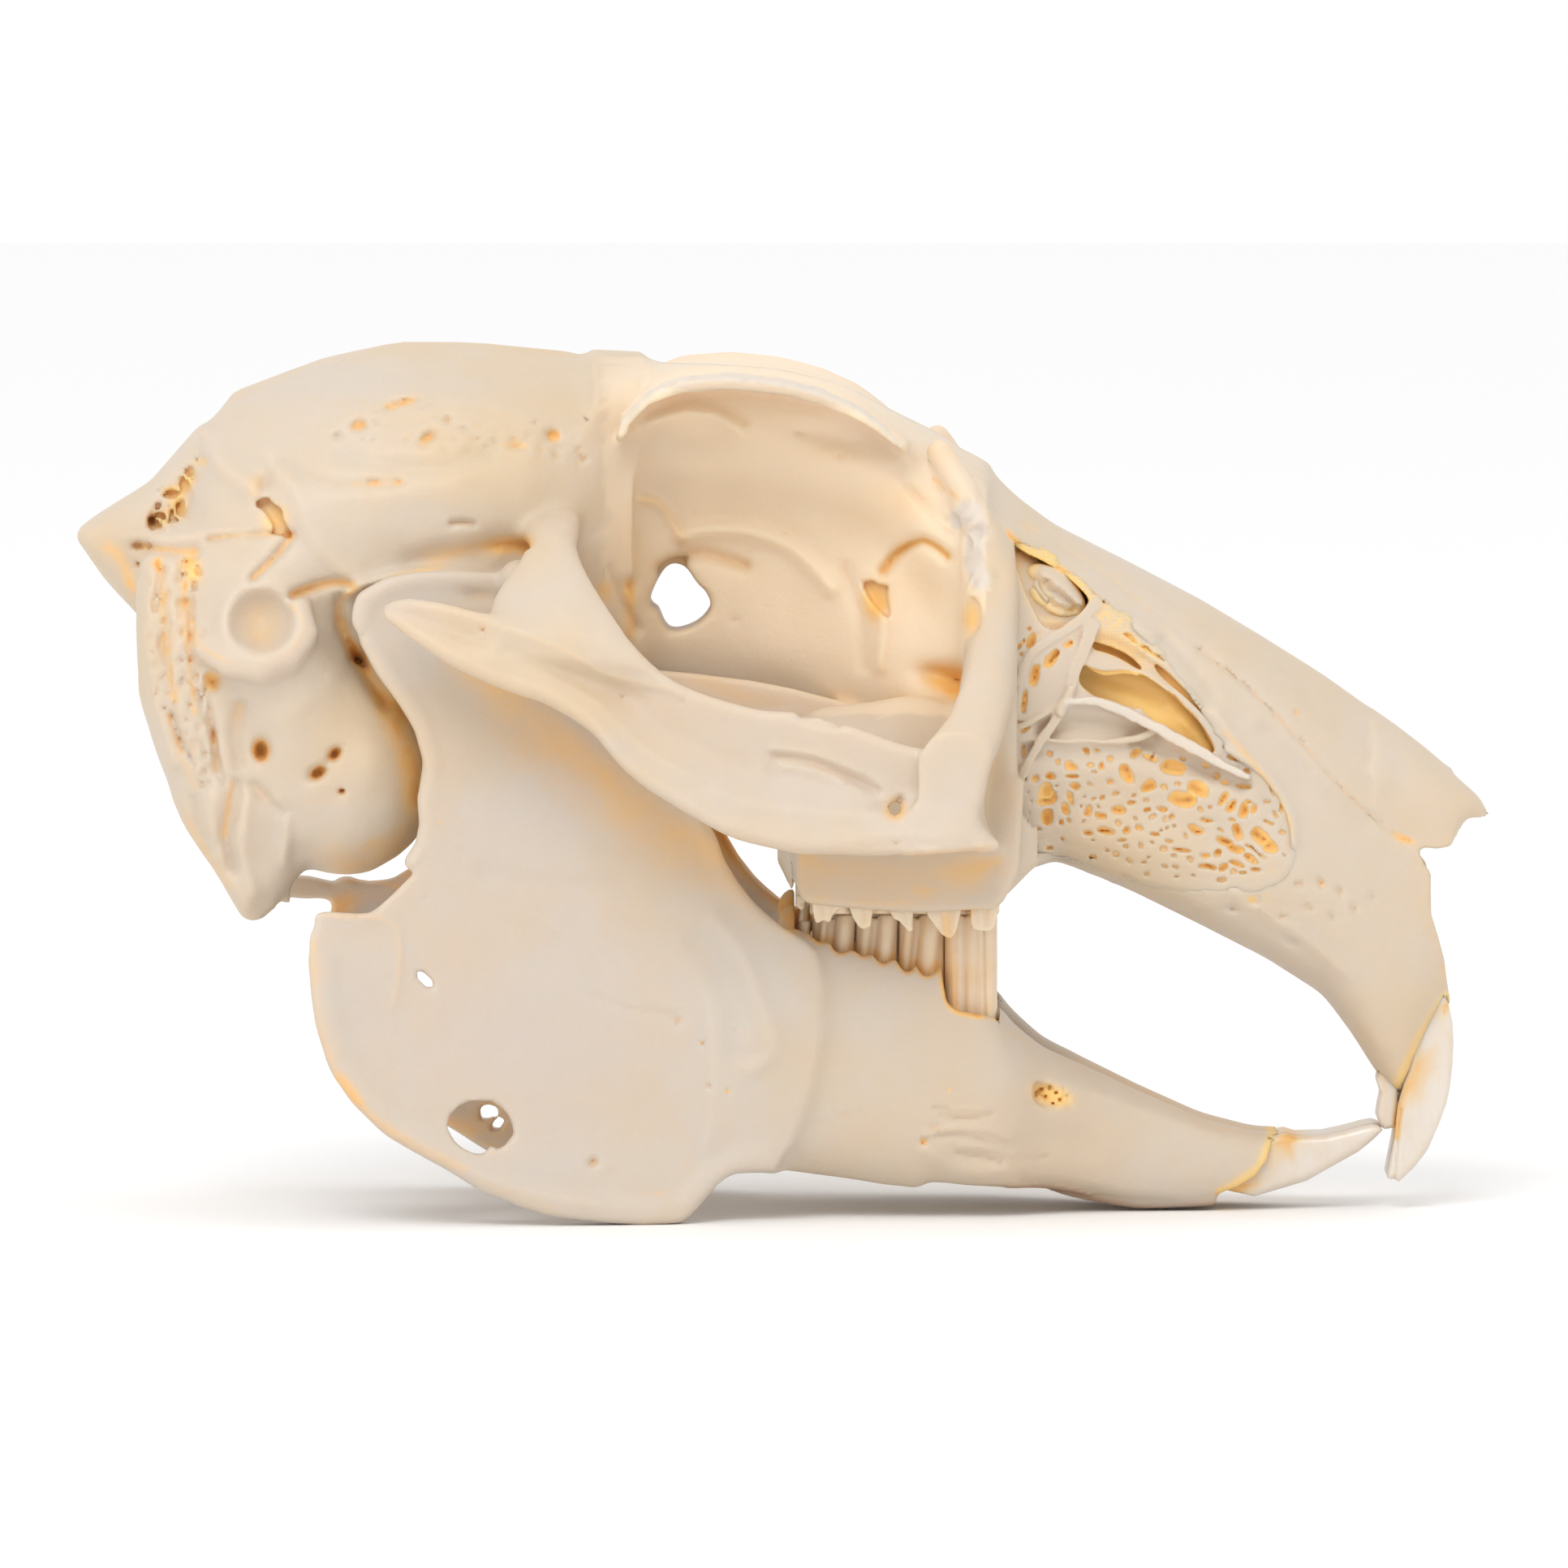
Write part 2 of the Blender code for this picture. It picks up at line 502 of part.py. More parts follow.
UPPER_CHEEK = ((980, 994, 1.2), (1000, 1046, 0.0), (1052, 1096, 0.0), (1102, 1144, 0.0),
               (1150, 1188, 0.0), (1194, 1229, 0.4))
LOWER_CHEEK = ((1168, 1228), (1110, 1161), (1057, 1103), (1004, 1050), (982, 997))
for side, s in SIDES:
    for k, (ua, ub, slim) in enumerate(UPPER_CHEEK[::-1]):
        y0, y1 = UPPER_CHEEK_Y[0] + slim, UPPER_CHEEK_Y[1] - slim
        args = (s, ua, ub, y0, y1, 985, 1126, 1143 - 4 * slim, True)
        teeth.append(cheek_tooth("upper_cheek_%s_%d" % (side, k + 1), *args))
    cuts.append(trough("upper_trough_" + side, s, UPPER_CHEEK[0][0], UPPER_CHEEK[-1][1], *UPPER_CHEEK_Y, 978, 1180))
    # upper incisor: a bow from its socket down to the chisel edge
    def bow(name, keys, y_mid, half_y, n, grow=0.0, col=None):
        rings = []
        for fu, fv, bu, bv in smooth(keys, n):
            front, back = at(fu, fv, y_mid, s), at(bu, bv, y_mid, s)
            out = (front - back).normalized() * grow
            c, a = (front + back) / 2, (front - back) / 2 + out
            b = Vector((0, half_y + grow, 0))
            rings.append([c + a * p + b * q for p, q in
                          ((1, 0.55), (0.78, 1), (-0.6, 1), (-1, 0.6), (-1, -0.6), (-0.6, -1),
                           (0.78, -1), (1, -0.55))])
        return loft(name, rings, col or (CUTTERS if grow else PARTS))
    y_inc = 0.15 + INCISOR_WIDTH / 2
    keys = [(1742, 1172, 1700, 1196), (1772, 1215, 1725, 1228), (1789, 1262, 1741, 1268),
            (1790, 1315, 1742, 1310), (1776, 1370, 1734, 1360), (1747, 1424, 1713, 1420),
            (1726, 1454, 1708, 1452)]
    teeth.append(bow("upper_incisor_" + side, keys, y_inc, INCISOR_WIDTH / 2, 9))
    cuts.append(bow("upper_incisor_socket_" + side, [(1728, 1158, 1690, 1184)] + keys[1:4] + [(1800, 1380, 1742, 1380)], y_inc,
                    INCISOR_WIDTH / 2, 10, grow=GAP))
    keys = [(1722, 1282, 1700, 1284), (1722, 1330, 1698, 1332), (1718, 1391, 1699, 1386)]
    teeth.append(bow("peg_incisor_" + side, keys, 1.15, 0.75, 4))
    cuts.append(bow("peg_socket_" + side, [(1722, 1278, 1700, 1280), (1722, 1330, 1698, 1332),
                                           (1722, 1420, 1698, 1420)], 1.15, 0.75, 5, grow=GAP))

for cut in cuts:
    boolean(cranium, cut, 'DIFFERENCE')
boolean(LATE[0], nose_hollow, 'DIFFERENCE')
boolean(cranium, LATE[0], 'UNION')
boolean(cranium, SEPTUM, 'UNION')

# ------------------------------------------------------------------ mandibles
RAMUS_FRONT = [(432, 764), (437, 741), (450, 726), (489, 712), (560, 712), (680, 720), (705, 742),
               (744, 806), (800, 895), (840, 965), (876, 1032), (900, 1090), (940, 1138), (990, 1164),
               (1010, 1300), (960, 1442), (930, 1437), (902, 1439), (885, 1450), (860, 1479),
               (838, 1503), (812, 1508), (748, 1506), (691, 1497), (640, 1485), (595, 1468),
               (557, 1448), (506, 1419), (458, 1383), (423, 1343), (404, 1311), (388, 1241)]
RAMUS_BACK = [(534, 1045), (537, 1016), (534, 984), (524, 936), (512, 895), (489, 860),
              (464, 828), (445, 790)]
# hind corner of the angle: square on the near jaw, drawn out on the far one
ANGLE = {-1: [(381, 1181), (383, 1155), (391, 1127), (409, 1124), (452, 1125), (464, 1118),
              (496, 1090), (518, 1070)],
         1: [(372, 1176), (346, 1136), (334, 1124), (346, 1110), (363, 1106), (405, 1112),
             (448, 1120), (487, 1112), (516, 1092)]}


def ramus_depth(u):
    """Outer face of the ramus, spreading towards the back."""
    return 15.2 - (u - 400) * 0.0078


for side, s in SIDES:
    rings = []
    for u, v0, v1, y0, y1 in ((1588, 1405, 1462, 0.15, 3.3), (1545, 1400, 1477, 0.15, 3.9),
                              (1480, 1388, 1486, 0.15, 4.4), (1400, 1353, 1487, 0.15, 5.1),
                              (1330, 1323, 1476, 0.15, 6.2), (1285, 1304, 1471, 1.2, 7.4),
                              (1240, 1266, 1470, 2.7, 9.2), (1180, 1226, 1470, 3.3, 9.7),
                              (1100, 1200, 1462, 3.3, 9.9), (1020, 1174, 1450, 3.4, 10.2),
                              (980, 1162, 1445, 3.9, 10.7), (940, 1176, 1437, 7.4, 11.0),
                              (885, 1240, 1400, 9.9, 11.3)):
        vm, vh = (v0 + v1) / 2, (v1 - v0) / 2
        ym, yh = (y0 + y1) / 2, (y1 - y0) / 2
        flat = -1.0 if y0 < 0.2 else -0.7
        rings.append([at(u, vm + vh * a, ym + yh * b, s) for a, b in
                      ((-1, -0.88), (-1, 0.68), (-0.8, 0.95), (0, 1), (0.6, 0.88), (1, 0.3),
                       (1, flat * 0.9), (0.6, max(flat * 1.2, -1)), (-0.8, -1))])
    jaw = loft("mandible_" + side, rings, PARTS)
    boolean(jaw, plate("ramus_" + side, RAMUS_FRONT + ANGLE[s] + RAMUS_BACK, ramus_depth, RAMUS_THICK, s), 'UNION')
    # thickened lower and hind border of the angle
    rings = []
    for u, v in ((940, 1428), (884, 1440), (838, 1490), (748, 1492), (640, 1471), (557, 1434),
                 (470, 1374), (420, 1312), (400, 1241), (394, 1180)):
        c = at(u, v, ramus_depth(u) - RAMUS_THICK * 0.42, s)
        rings.append((c, u))
    body = []
    for k, (c, u) in enumerate(rings):
        a = rings[max(k - 1, 0)][0]
        b = rings[min(k + 1, len(rings) - 1)][0]
        d = (b - a).normalized()
        across = Vector((0, 1, 0))
        up = d.cross(across).normalized()
        body.append(oval(c, up * 0.62, across * 1.05, 6))
    boolean(jaw, loft("ramus_rim_" + side, body), 'UNION')
    # joint head, long from front to back, with a ridge down the neck
    head = at(*JAW_PIVOT, CONDYLE_Y, s)
    boolean(jaw, ball("condyle_" + side, head, (HEAD_RADIUS, 1.35, HEAD_RADIUS), 12, 8), 'UNION')
    boolean(jaw, rod("condyle_neck_" + side, head - Vector((0, s * 0.3, 0.2)),
                     at(668, 850, ramus_depth(668) - 0.55, s), 0.95, 0.5, 8), 'UNION')
    for k, (ua, ub) in enumerate(LOWER_CHEEK):
        y0, y1 = LOWER_CHEEK_Y
        slim = 0.7 if k == 4 else 0.0
        top_in, top_out = 1127, 1144
        teeth.append(cheek_tooth("lower_cheek_%s_%d" % (side, k + 1), s, ua, ub, y0 + slim, y1 - slim,
                                 1330, top_in, top_out, False))
    boolean(jaw, trough("lower_trough_" + side, s, LOWER_CHEEK[-1][0], LOWER_CHEEK[0][1],
                        *LOWER_CHEEK_Y, 1338, 1060), 'DIFFERENCE')
    keys = [(1430, 1442, 1436, 1392), (1500, 1462, 1502, 1408), (1560, 1463, 1565, 1409),
            (1612, 1451, 1612, 1402), (1655, 1426, 1650, 1398), (1692, 1402, 1687, 1391)]

    def lower_bow(name, keys, n, grow=0.0):
        rings = []
        for fu, fv, bu, bv in smooth(keys, n):
            y_mid = 1.42 + max(0.0, 1600 - fu) * 0.0065
            front, back = at(fu, fv, y_mid, s), at(bu, bv, y_mid, s)
            out = (front - back).normalized() * grow
            c, a = (front + back) / 2, (front - back) / 2 + out
            b = Vector((0, INCISOR_WIDTH / 2 + grow, 0))
            rings.append([c + a * p + b * q for p, q in
                          ((1, 0.55), (0.78, 1), (-0.6, 1), (-1, 0.6), (-1, -0.6), (-0.6, -1),
                           (0.78, -1), (1, -0.55))])
        return loft(name, rings, CUTTERS if grow else PARTS)
    teeth.append(lower_bow("lower_incisor_" + side, keys, 8))
    boolean(jaw, lower_bow("lower_incisor_socket_" + side,
                           [(1422, 1438, 1428, 1390)] + keys[1:4] + [(1660, 1440, 1655, 1385)], 8, GAP),
            'DIFFERENCE')
    if s < 0:
        # break through the thin plate of the near ramus
        c = at(592, 1390, 13.2, s)
        hole = [oval(c + Vector((0, k * 3.0, 0)), Vector((1.85, 0, -0.25)), Vector((0.2, 0, 1.35)), 12)
                for k in (-1, 1)]
        boolean(jaw, loft("ramus_hole", hole), 'DIFFERENCE')
    clean(jaw, 0.7)
clean(cranium, 0.6)

# ------------------------------------------------- resting plane and materials
low = min((ob.matrix_world @ v.co).z for ob in PARTS.objects for v in ob.data.vertices)
xs = [(ob.matrix_world @ v.co).x for ob in PARTS.objects for v in ob.data.vertices]
shift = Vector((-(min(xs) + max(xs)) / 2, 0.0, -low))
bone = material("bone", BONE, 0.55)
tooth = material("incisor", TOOTH, 0.30)
cheek = material("cheek_tooth", CHEEK_TOOTH, 0.45)
for ob in PARTS.objects:
    for v in ob.data.vertices:
        v.co += shift
    ob.data.update()
    mat = bone if ob.name.startswith(("cranium", "mandible")) else tooth if "incisor" in ob.name else cheek
    ob.data.materials.clear()
    ob.data.materials.append(mat)
    for p in ob.data.polygons:
        p.material_index = 0
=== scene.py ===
"""European rabbit skull with its lower jaw in place: the visible pieces, metres, +Z up.

Bone is modelled as solid fields on fine grids, which are skinned to meshes. Outlines are
given in the units (u, v) of a side drawing of the right side, GRID millimetres each on the
middle plane, and carried to the depth that the feature really has.
"""
import math

import bpy
import numpy as np
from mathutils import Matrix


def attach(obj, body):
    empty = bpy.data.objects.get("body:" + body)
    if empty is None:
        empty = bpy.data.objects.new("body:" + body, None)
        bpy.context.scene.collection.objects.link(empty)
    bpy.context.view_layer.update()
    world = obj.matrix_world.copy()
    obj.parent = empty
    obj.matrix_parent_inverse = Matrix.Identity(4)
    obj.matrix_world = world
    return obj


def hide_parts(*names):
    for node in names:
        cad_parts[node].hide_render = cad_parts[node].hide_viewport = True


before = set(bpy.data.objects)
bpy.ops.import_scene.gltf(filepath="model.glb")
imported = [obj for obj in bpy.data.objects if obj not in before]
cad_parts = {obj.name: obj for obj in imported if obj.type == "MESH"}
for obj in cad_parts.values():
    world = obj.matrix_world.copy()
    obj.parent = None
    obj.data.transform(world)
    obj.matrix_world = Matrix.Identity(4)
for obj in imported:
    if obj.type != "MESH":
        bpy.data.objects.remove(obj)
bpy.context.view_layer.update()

# ------------------------------------------------------------------ constants
GRID = 0.0462
MID = 966.0
DIST = 1100.0
PITCH = math.radians(3.7)
MIDZ = 23.95
SHX, SHZ = -0.019, 0.170
CP, SP = math.cos(PITCH), math.sin(PITCH)
EYE_Y, EYE_Z = -DIST * CP, MIDZ + DIST * SP

H_CRANIUM = 0.21
H_JAW = 0.20
H_NET = 0.105


def at(u, v, a, s=-1):
    """Point in mm for a reading (u, v) at distance a from the middle plane."""
    rx, rz = (u - MID) * GRID / DIST, (MID - v) * GRID / DIST
    t = (-abs(a) - EYE_Y) / (CP + SP * rz)
    return np.array((rx * t + SHX, s * abs(a), EYE_Z + (CP * rz - SP) * t + SHZ))


def pa(u, v, a):
    """The same point as (x, |y|, z), the form that the fields use."""
    return at(u, v, a) * (1, -1, 1)


def X_of(u, a=0.0):
    return at(u, 800, a)[0]


def Z_of(v, a=0.0):
    return at(MID, v, a)[2]


def chaikin(pts, times=1, closed=True):
    """Round the corners of an outline."""
    p = np.asarray(pts, float)
    for _ in range(times):
        q = np.roll(p, -1, 0) if closed else p[1:]
        b = p if closed else p[:-1]
        new = np.empty((2 * len(b), p.shape[1]))
        new[0::2] = 0.75 * b + 0.25 * q
        new[1::2] = 0.25 * b + 0.75 * q
        if not closed:
            new = np.vstack([p[:1], new, p[-1:]])
        p = new
    return p


def curve(keys, n):
    """n points along a smooth curve through the keys."""
    k = np.asarray(keys, float)
    m = len(k) - 1
    t = np.linspace(0, m, n)
    i = np.minimum(t.astype(int), m - 1)
    f = (t - i)[:, None]
    p0, p1, p2, p3 = k[np.maximum(i - 1, 0)], k[i], k[i + 1], k[np.minimum(i + 2, m)]
    return 0.5 * (2 * p1 + (p2 - p0) * f + (2 * p0 - 5 * p1 + 4 * p2 - p3) * f ** 2
                  + (3 * p1 - p0 - 3 * p2 + p3) * f ** 3)


def smin(a, b, k):
    if k <= 0:
        return np.minimum(a, b)
    h = np.clip(0.5 + 0.5 * (b - a) / k, 0, 1)
    return b + (a - b) * h - k * h * (1 - h)


def smax(a, b, k):
    return -smin(-a, -b, k)


# ------------------------------------------------------- maps over the drawing
class Map:
    """A value for every (u, v), on a raster."""

    def __init__(self, u0, u1, v0, v1, step=2.0, fill=0.0):
        self.u0, self.v0, self.step = u0, v0, step
        self.nu, self.nv = int((u1 - u0) / step) + 2, int((v1 - v0) / step) + 2
        self.u = (u0 + step * np.arange(self.nu, dtype=np.float32))[:, None]
        self.v = (v0 + step * np.arange(self.nv, dtype=np.float32))[None, :]
        self.m = np.full((self.nu, self.nv), fill, np.float32)

    def __call__(self, U, V):
        fu = np.clip((U - self.u0) / self.step, 0, self.nu - 1.001)
        fv = np.clip((V - self.v0) / self.step, 0, self.nv - 1.001)
        i, j = fu.astype(np.int32), fv.astype(np.int32)
        fu = (fu - i).astype(np.float32)
        fv = (fv - j).astype(np.float32)
        m = self.m.ravel()
        k = i * self.nv + j
        return ((m[k] * (1 - fv) + m[k + 1] * fv) * (1 - fu)
                + (m[k + self.nv] * (1 - fv) + m[k + self.nv + 1] * fv) * fu)


def polygon_map(pts, margin=50, step=2.0):
    """Signed distance in units to a closed outline, negative inside."""
    p = np.asarray(pts, np.float32)
    mp = Map(p[:, 0].min() - margin, p[:, 0].max() + margin, p[:, 1].min() - margin,
             p[:, 1].max() + margin, step)
    u, v = np.broadcast_to(mp.u, mp.m.shape), np.broadcast_to(mp.v, mp.m.shape)
    best = np.full(mp.m.shape, 1e9, np.float32)
    inside = np.zeros(mp.m.shape, bool)
    for (a, b), (c, d) in zip(p, np.roll(p, -1, 0)):
        eu, ev = c - a, d - b
        ll = eu * eu + ev * ev
        if ll < 1e-9:
            continue
        t = np.clip(((u - a) * eu + (v - b) * ev) / ll, 0, 1)
        best = np.minimum(best, (u - a - t * eu) ** 2 + (v - b - t * ev) ** 2)
        if abs(ev) > 1e-9:
            cross = ((b > v) != (d > v)) & (u < eu * (v - b) / ev + a)
            inside ^= cross
    mp.m = np.where(inside, -1, 1).astype(np.float32) * np.sqrt(best)
    return mp


def through(points, margin=60, step=10.0, box=None):
    """Smooth surface through (u, v, value) readings, as a map."""
    p = np.asarray(points, float)
    if box is None:
        box = (p[:, 0].min() - margin, p[:, 0].max() + margin, p[:, 1].min() - margin, p[:, 1].max() + margin)
    s = 100.0
    q = p[:, :2] / s

    def kern(d2):
        return 0.5 * d2 * np.log(d2 + 1e-6)
    n = len(q)
    A = np.zeros((n + 3, n + 3))
    A[:n, :n] = kern(((q[:, None] - q[None]) ** 2).sum(-1)) + np.eye(n) * 0.02
    A[:n, n], A[:n, n + 1:] = 1, q
    A[n, :n], A[n + 1:, :n] = 1, q.T
    w = np.linalg.solve(A, np.concatenate([p[:, 2], np.zeros(3)]))
    mp = Map(*box, step)
    u, v = mp.u.astype(float) / s, mp.v.astype(float) / s
    out = w[n] + w[n + 1] * u + w[n + 2] * v
    for (a, b), c in zip(q, w[:n]):
        out = out + c * kern((u - a) ** 2 + (v - b) ** 2)
    mp.m = out.astype(np.float32)
    return mp


def slope_of(mp):
    """Cosine of the slant of a depth map, to turn depth into distance."""
    g = np.gradient(mp.m, mp.step * GRID)
    out = Map(mp.u0, mp.u0 + mp.step * (mp.nu - 2), mp.v0, mp.v0 + mp.step * (mp.nv - 2), mp.step)
    out.m = (1 / np.sqrt(1 + g[0] ** 2 + g[1] ** 2)).astype(np.float32)
    return out


# ------------------------------------------------------------------ the fields
class Field:
    """Signed distance in mm over x, a = |y| and z; negative is bone."""

    def __init__(self, lo, hi, h):
        self.h = h
        n = [int(math.ceil((b - a) / h)) + 1 for a, b in zip(lo, hi)]
        self.x, self.a, self.z = [(a + h * np.arange(k)).astype(np.float32) for a, k in zip(lo, n)]
        self.f = np.full(n, 6.0, np.float32)
        wy = -self.a[:, None] - EYE_Y
        wz = self.z[None, :] - SHZ - EYE_Z
        depth = wy * CP - wz * SP
        self.K = (DIST / (depth * GRID)).astype(np.float32)
        self.V = (MID - (wy * SP + wz * CP) * DIST / (depth * GRID)).astype(np.float32)

    def box(self, lo, hi, margin=2.0):
        sl = []
        for c, a, b in zip((self.x, self.a, self.z), lo, hi):
            i = int(np.searchsorted(c, a - margin))
            j = int(np.searchsorted(c, b + margin))
            sl.append(slice(i, max(j, i + 1)))
        return tuple(sl)

    def xyz(self, sl):
        return self.x[sl[0]][:, None, None], self.a[sl[1]][None, :, None], self.z[sl[2]][None, None, :]

    def uv(self, sl):
        K, V = self.K[sl[1], sl[2]][None], self.V[sl[1], sl[2]][None]
        return MID + (self.x[sl[0]][:, None, None] - SHX) * K, V

    def uvbox(self, u0, u1, v0, v1, a0, a1, margin=2.0):
        c = np.array([at(u, v, a) for u in (u0, u1) for v in (v0, v1) for a in (a0, a1)])
        return self.box((c[:, 0].min(), a0, c[:, 2].min()), (c[:, 0].max(), a1, c[:, 2].max()), margin)

    def add(self, sl, d, k=0.0):
        self.f[sl] = smin(self.f[sl], d.astype(np.float32), k)

    def cut(self, sl, d, k=0.0):
        self.f[sl] = smax(self.f[sl], -d.astype(np.float32), k)

    # --- kinds of lump; each gives (slices, distance)
    def xloft(self, stations, smooth=0.5, inset=0.0):
        """Sections across x: (u, v_top, v_mid, v_bottom, half width, squareness above,
        below, distance of the section's middle from the middle plane)."""
        st = np.array([tuple(s) + (2, 2, 0)[len(s) - 5:] if len(s) < 8 else tuple(s) for s in stations], float)
        xs = np.array([at(s[0], s[1], s[7])[0] for s in st])
        zs = np.array([[at(s[0], v, s[7])[2] for v in s[1:4]] for s in st])
        lo = (xs.min(), max(0, (st[:, 7] - st[:, 4]).min()), zs.min())
        hi = (xs.max(), (st[:, 7] + st[:, 4]).max(), zs.max())
        sl = self.box(lo, hi, 2.2)
        x, a, z = self.xyz(sl)
        xx = self.x[sl[0]].astype(float)
        cols = []
        fine = np.arange(xs.min() - 3, xs.max() + 3, 0.1)
        kern = np.exp(-0.5 * (np.arange(-25, 26) * 0.1 / max(smooth, 1e-3)) ** 2)
        kern /= kern.sum()
        order = np.argsort(xs)
        for c in (zs[:, 0], zs[:, 1], zs[:, 2], st[:, 4], st[:, 5], st[:, 6], st[:, 7]):
            g = np.interp(fine, xs[order], c[order])
            if smooth > 0:
                g = np.convolve(np.pad(g, 25, mode="edge"), kern, "valid")
            cols.append(np.interp(xx, fine, g).astype(np.float32)[:, None, None])
        zt, zm, zb, w, et, eb, yc = cols
        zt, zb, w = zt - inset, zb + inset, w - inset
        dz = z - zm
        h = np.where(dz > 0, zt - zm, zm - zb)
        e = np.where(dz > 0, et, eb)
        h = np.maximum(h, 0.05)
        w = np.maximum(w, 0.05)
        py, pz = np.abs(a - yc) / w + 1e-4, np.abs(dz) / h + 1e-4
        ly, lz = np.log(py), np.log(pz)
        S = np.exp(e * ly) + np.exp(e * lz)
        g = S ** (1 / e)
        gg = (g / S)
        gy, gz = gg * np.exp((e - 1) * ly) / w, gg * np.exp((e - 1) * lz) / h
        d = (g - 1) / np.maximum(np.sqrt(gy * gy + gz * gz), 1 / np.maximum(w, h))
        d = np.maximum(d, np.maximum(xs.min() - x, x - xs.max()))
        return sl, d

    def yloft(self, stations):
        """Sections across y: (a, u0, u1, v0, v1, squareness)."""
        st = np.array(stations, float)
        c0 = np.array([at(s[1], s[3], s[0]) for s in st])
        c1 = np.array([at(s[2], s[4], s[0]) for s in st])
        lo = (min(c0[:, 0].min(), c1[:, 0].min()), st[:, 0].min(), c1[:, 2].min())
        hi = (max(c0[:, 0].max(), c1[:, 0].max()), st[:, 0].max(), c0[:, 2].max())
        sl = self.box(lo, hi, 2.2)
        x, a, z = self.xyz(sl)
        aa = self.a[sl[1]].astype(float)
        cx, wx = (c0[:, 0] + c1[:, 0]) / 2, (c1[:, 0] - c0[:, 0]) / 2
        cz, wz = (c0[:, 2] + c1[:, 2]) / 2, (c0[:, 2] - c1[:, 2]) / 2
        cols = [np.interp(aa, st[:, 0], c).astype(np.float32)[None, :, None] for c in (cx, wx, cz, wz, st[:, 5])]
        cx, wx, cz, wz, e = cols
        px, pz = np.abs(x - cx) / wx + 1e-4, np.abs(z - cz) / wz + 1e-4
        S = px ** e + pz ** e
        g = S ** (1 / e)
        gx, gz = (g / S) * px ** (e - 1) / wx, (g / S) * pz ** (e - 1) / wz
        d = (g - 1) / np.maximum(np.sqrt(gx * gx + gz * gz), 1 / np.maximum(wx, wz))
        d = np.maximum(d, np.maximum(st[:, 0].min() - a, a - st[:, 0].max()))
        return sl, d

    def xbar(self, stations, smooth=0.4):
        """Section across x is a bent bar: for each station u and a row of
        (v, a, radius), equal in number in all stations. v is the middle of the bar."""
        us = np.array([s[0] for s in stations], float)
        rows = np.array([[(*at(s[0], v, a)[[0, 2]], a, r) for v, a, r in s[1:]] for s in stations], float)
        xs = rows[:, :, 0].mean(1)
        r = rows[:, :, 3].max()
        sl = self.box((xs.min() - 0.3, max(0.0, rows[:, :, 2].min() - r), rows[:, :, 1].min() - r),
                      (xs.max() + 0.3, rows[:, :, 2].max() + r, rows[:, :, 1].max() + r), 2.0)
        x, a, z = self.xyz(sl)
        xx = self.x[sl[0]].astype(float)
        order = np.argsort(xs)
        fine = np.arange(xs.min() - 3, xs.max() + 3, 0.1)
        kern = np.exp(-0.5 * (np.arange(-25, 26) * 0.1 / smooth) ** 2)
        kern /= kern.sum()

        def col(c):
            g = np.interp(fine, xs[order], c[order])
            g = np.convolve(np.pad(g, 25, mode="edge"), kern, "valid")
            return np.interp(xx, fine, g).astype(np.float32)[:, None, None]
        P = [(col(rows[:, j, 1]), col(rows[:, j, 2]), col(rows[:, j, 3])) for j in range(rows.shape[1])]
        d = None
        for (z0, a0, r0), (z1, a1, r1) in zip(P[:-1], P[1:]):
            ez, ea = z1 - z0, a1 - a0
            t = np.clip(((z - z0) * ez + (a - a0) * ea) / (ez * ez + ea * ea + 1e-6), 0, 1)
            q = np.sqrt((z - z0 - t * ez) ** 2 + (a - a0 - t * ea) ** 2) - (r0 + (r1 - r0) * t)
            d = q if d is None else smin(d, q, 0.3)
        d = np.maximum(d, np.maximum(xs.min() - x, x - xs.max()))
        return sl, d

    def ellipsoid(self, c, axes):
        """c in mm (x, a, z); axes as three half-axis vectors, or three lengths."""
        c = np.asarray(c, float)
        A = np.diag(axes) if np.ndim(axes[0]) == 0 else np.array(axes, float).T
        ext = np.sqrt((A ** 2).sum(1))
        sl = self.box(c - ext, c + ext, 1.8)
        x, a, z = self.xyz(sl)
        M = np.linalg.inv(A).astype(np.float32)
        px, pa, pz = x - c[0], a - c[1], z - c[2]
        q = [M[i, 0] * px + M[i, 1] * pa + M[i, 2] * pz for i in range(3)]
        g = np.sqrt(q[0] ** 2 + q[1] ** 2 + q[2] ** 2) + 1e-5
        gr = [(M[0, j] * q[0] + M[1, j] * q[1] + M[2, j] * q[2]) / g for j in range(3)]
        n = np.sqrt(gr[0] ** 2 + gr[1] ** 2 + gr[2] ** 2)
        big = 1 / ext.max()
        return sl, (g - 1) / np.maximum(n, big)

    def tube(self, pts, radii, k=0.0):
        """Round bar through points (x, a, z) in mm."""
        pts = np.asarray(pts, float)
        radii = np.broadcast_to(np.asarray(radii, float), len(pts))
        rm = radii.max()
        sl = self.box(pts.min(0) - rm, pts.max(0) + rm, 1.8)
        d = np.full([s.stop - s.start for s in sl], 6.0, np.float32)
        for p, q, r0, r1 in zip(pts[:-1], pts[1:], radii[:-1], radii[1:]):
            s2 = self.box(np.minimum(p, q) - max(r0, r1), np.maximum(p, q) + max(r0, r1), 1.8)
            x, a, z = self.xyz(s2)
            e = q - p
            ll = max(float(e @ e), 1e-9)
            t = np.clip(((x - p[0]) * e[0] + (a - p[1]) * e[1] + (z - p[2]) * e[2]) / ll, 0, 1)
            dd = np.sqrt((x - p[0] - t * e[0]) ** 2 + (a - p[1] - t * e[1]) ** 2
                         + (z - p[2] - t * e[2]) ** 2) - (r0 + (r1 - r0) * t)
            loc = tuple(slice(b.start - c.start, b.stop - c.start) for b, c in zip(s2, sl))
            d[loc] = smin(d[loc], dd.astype(np.float32), k)
        return sl, d

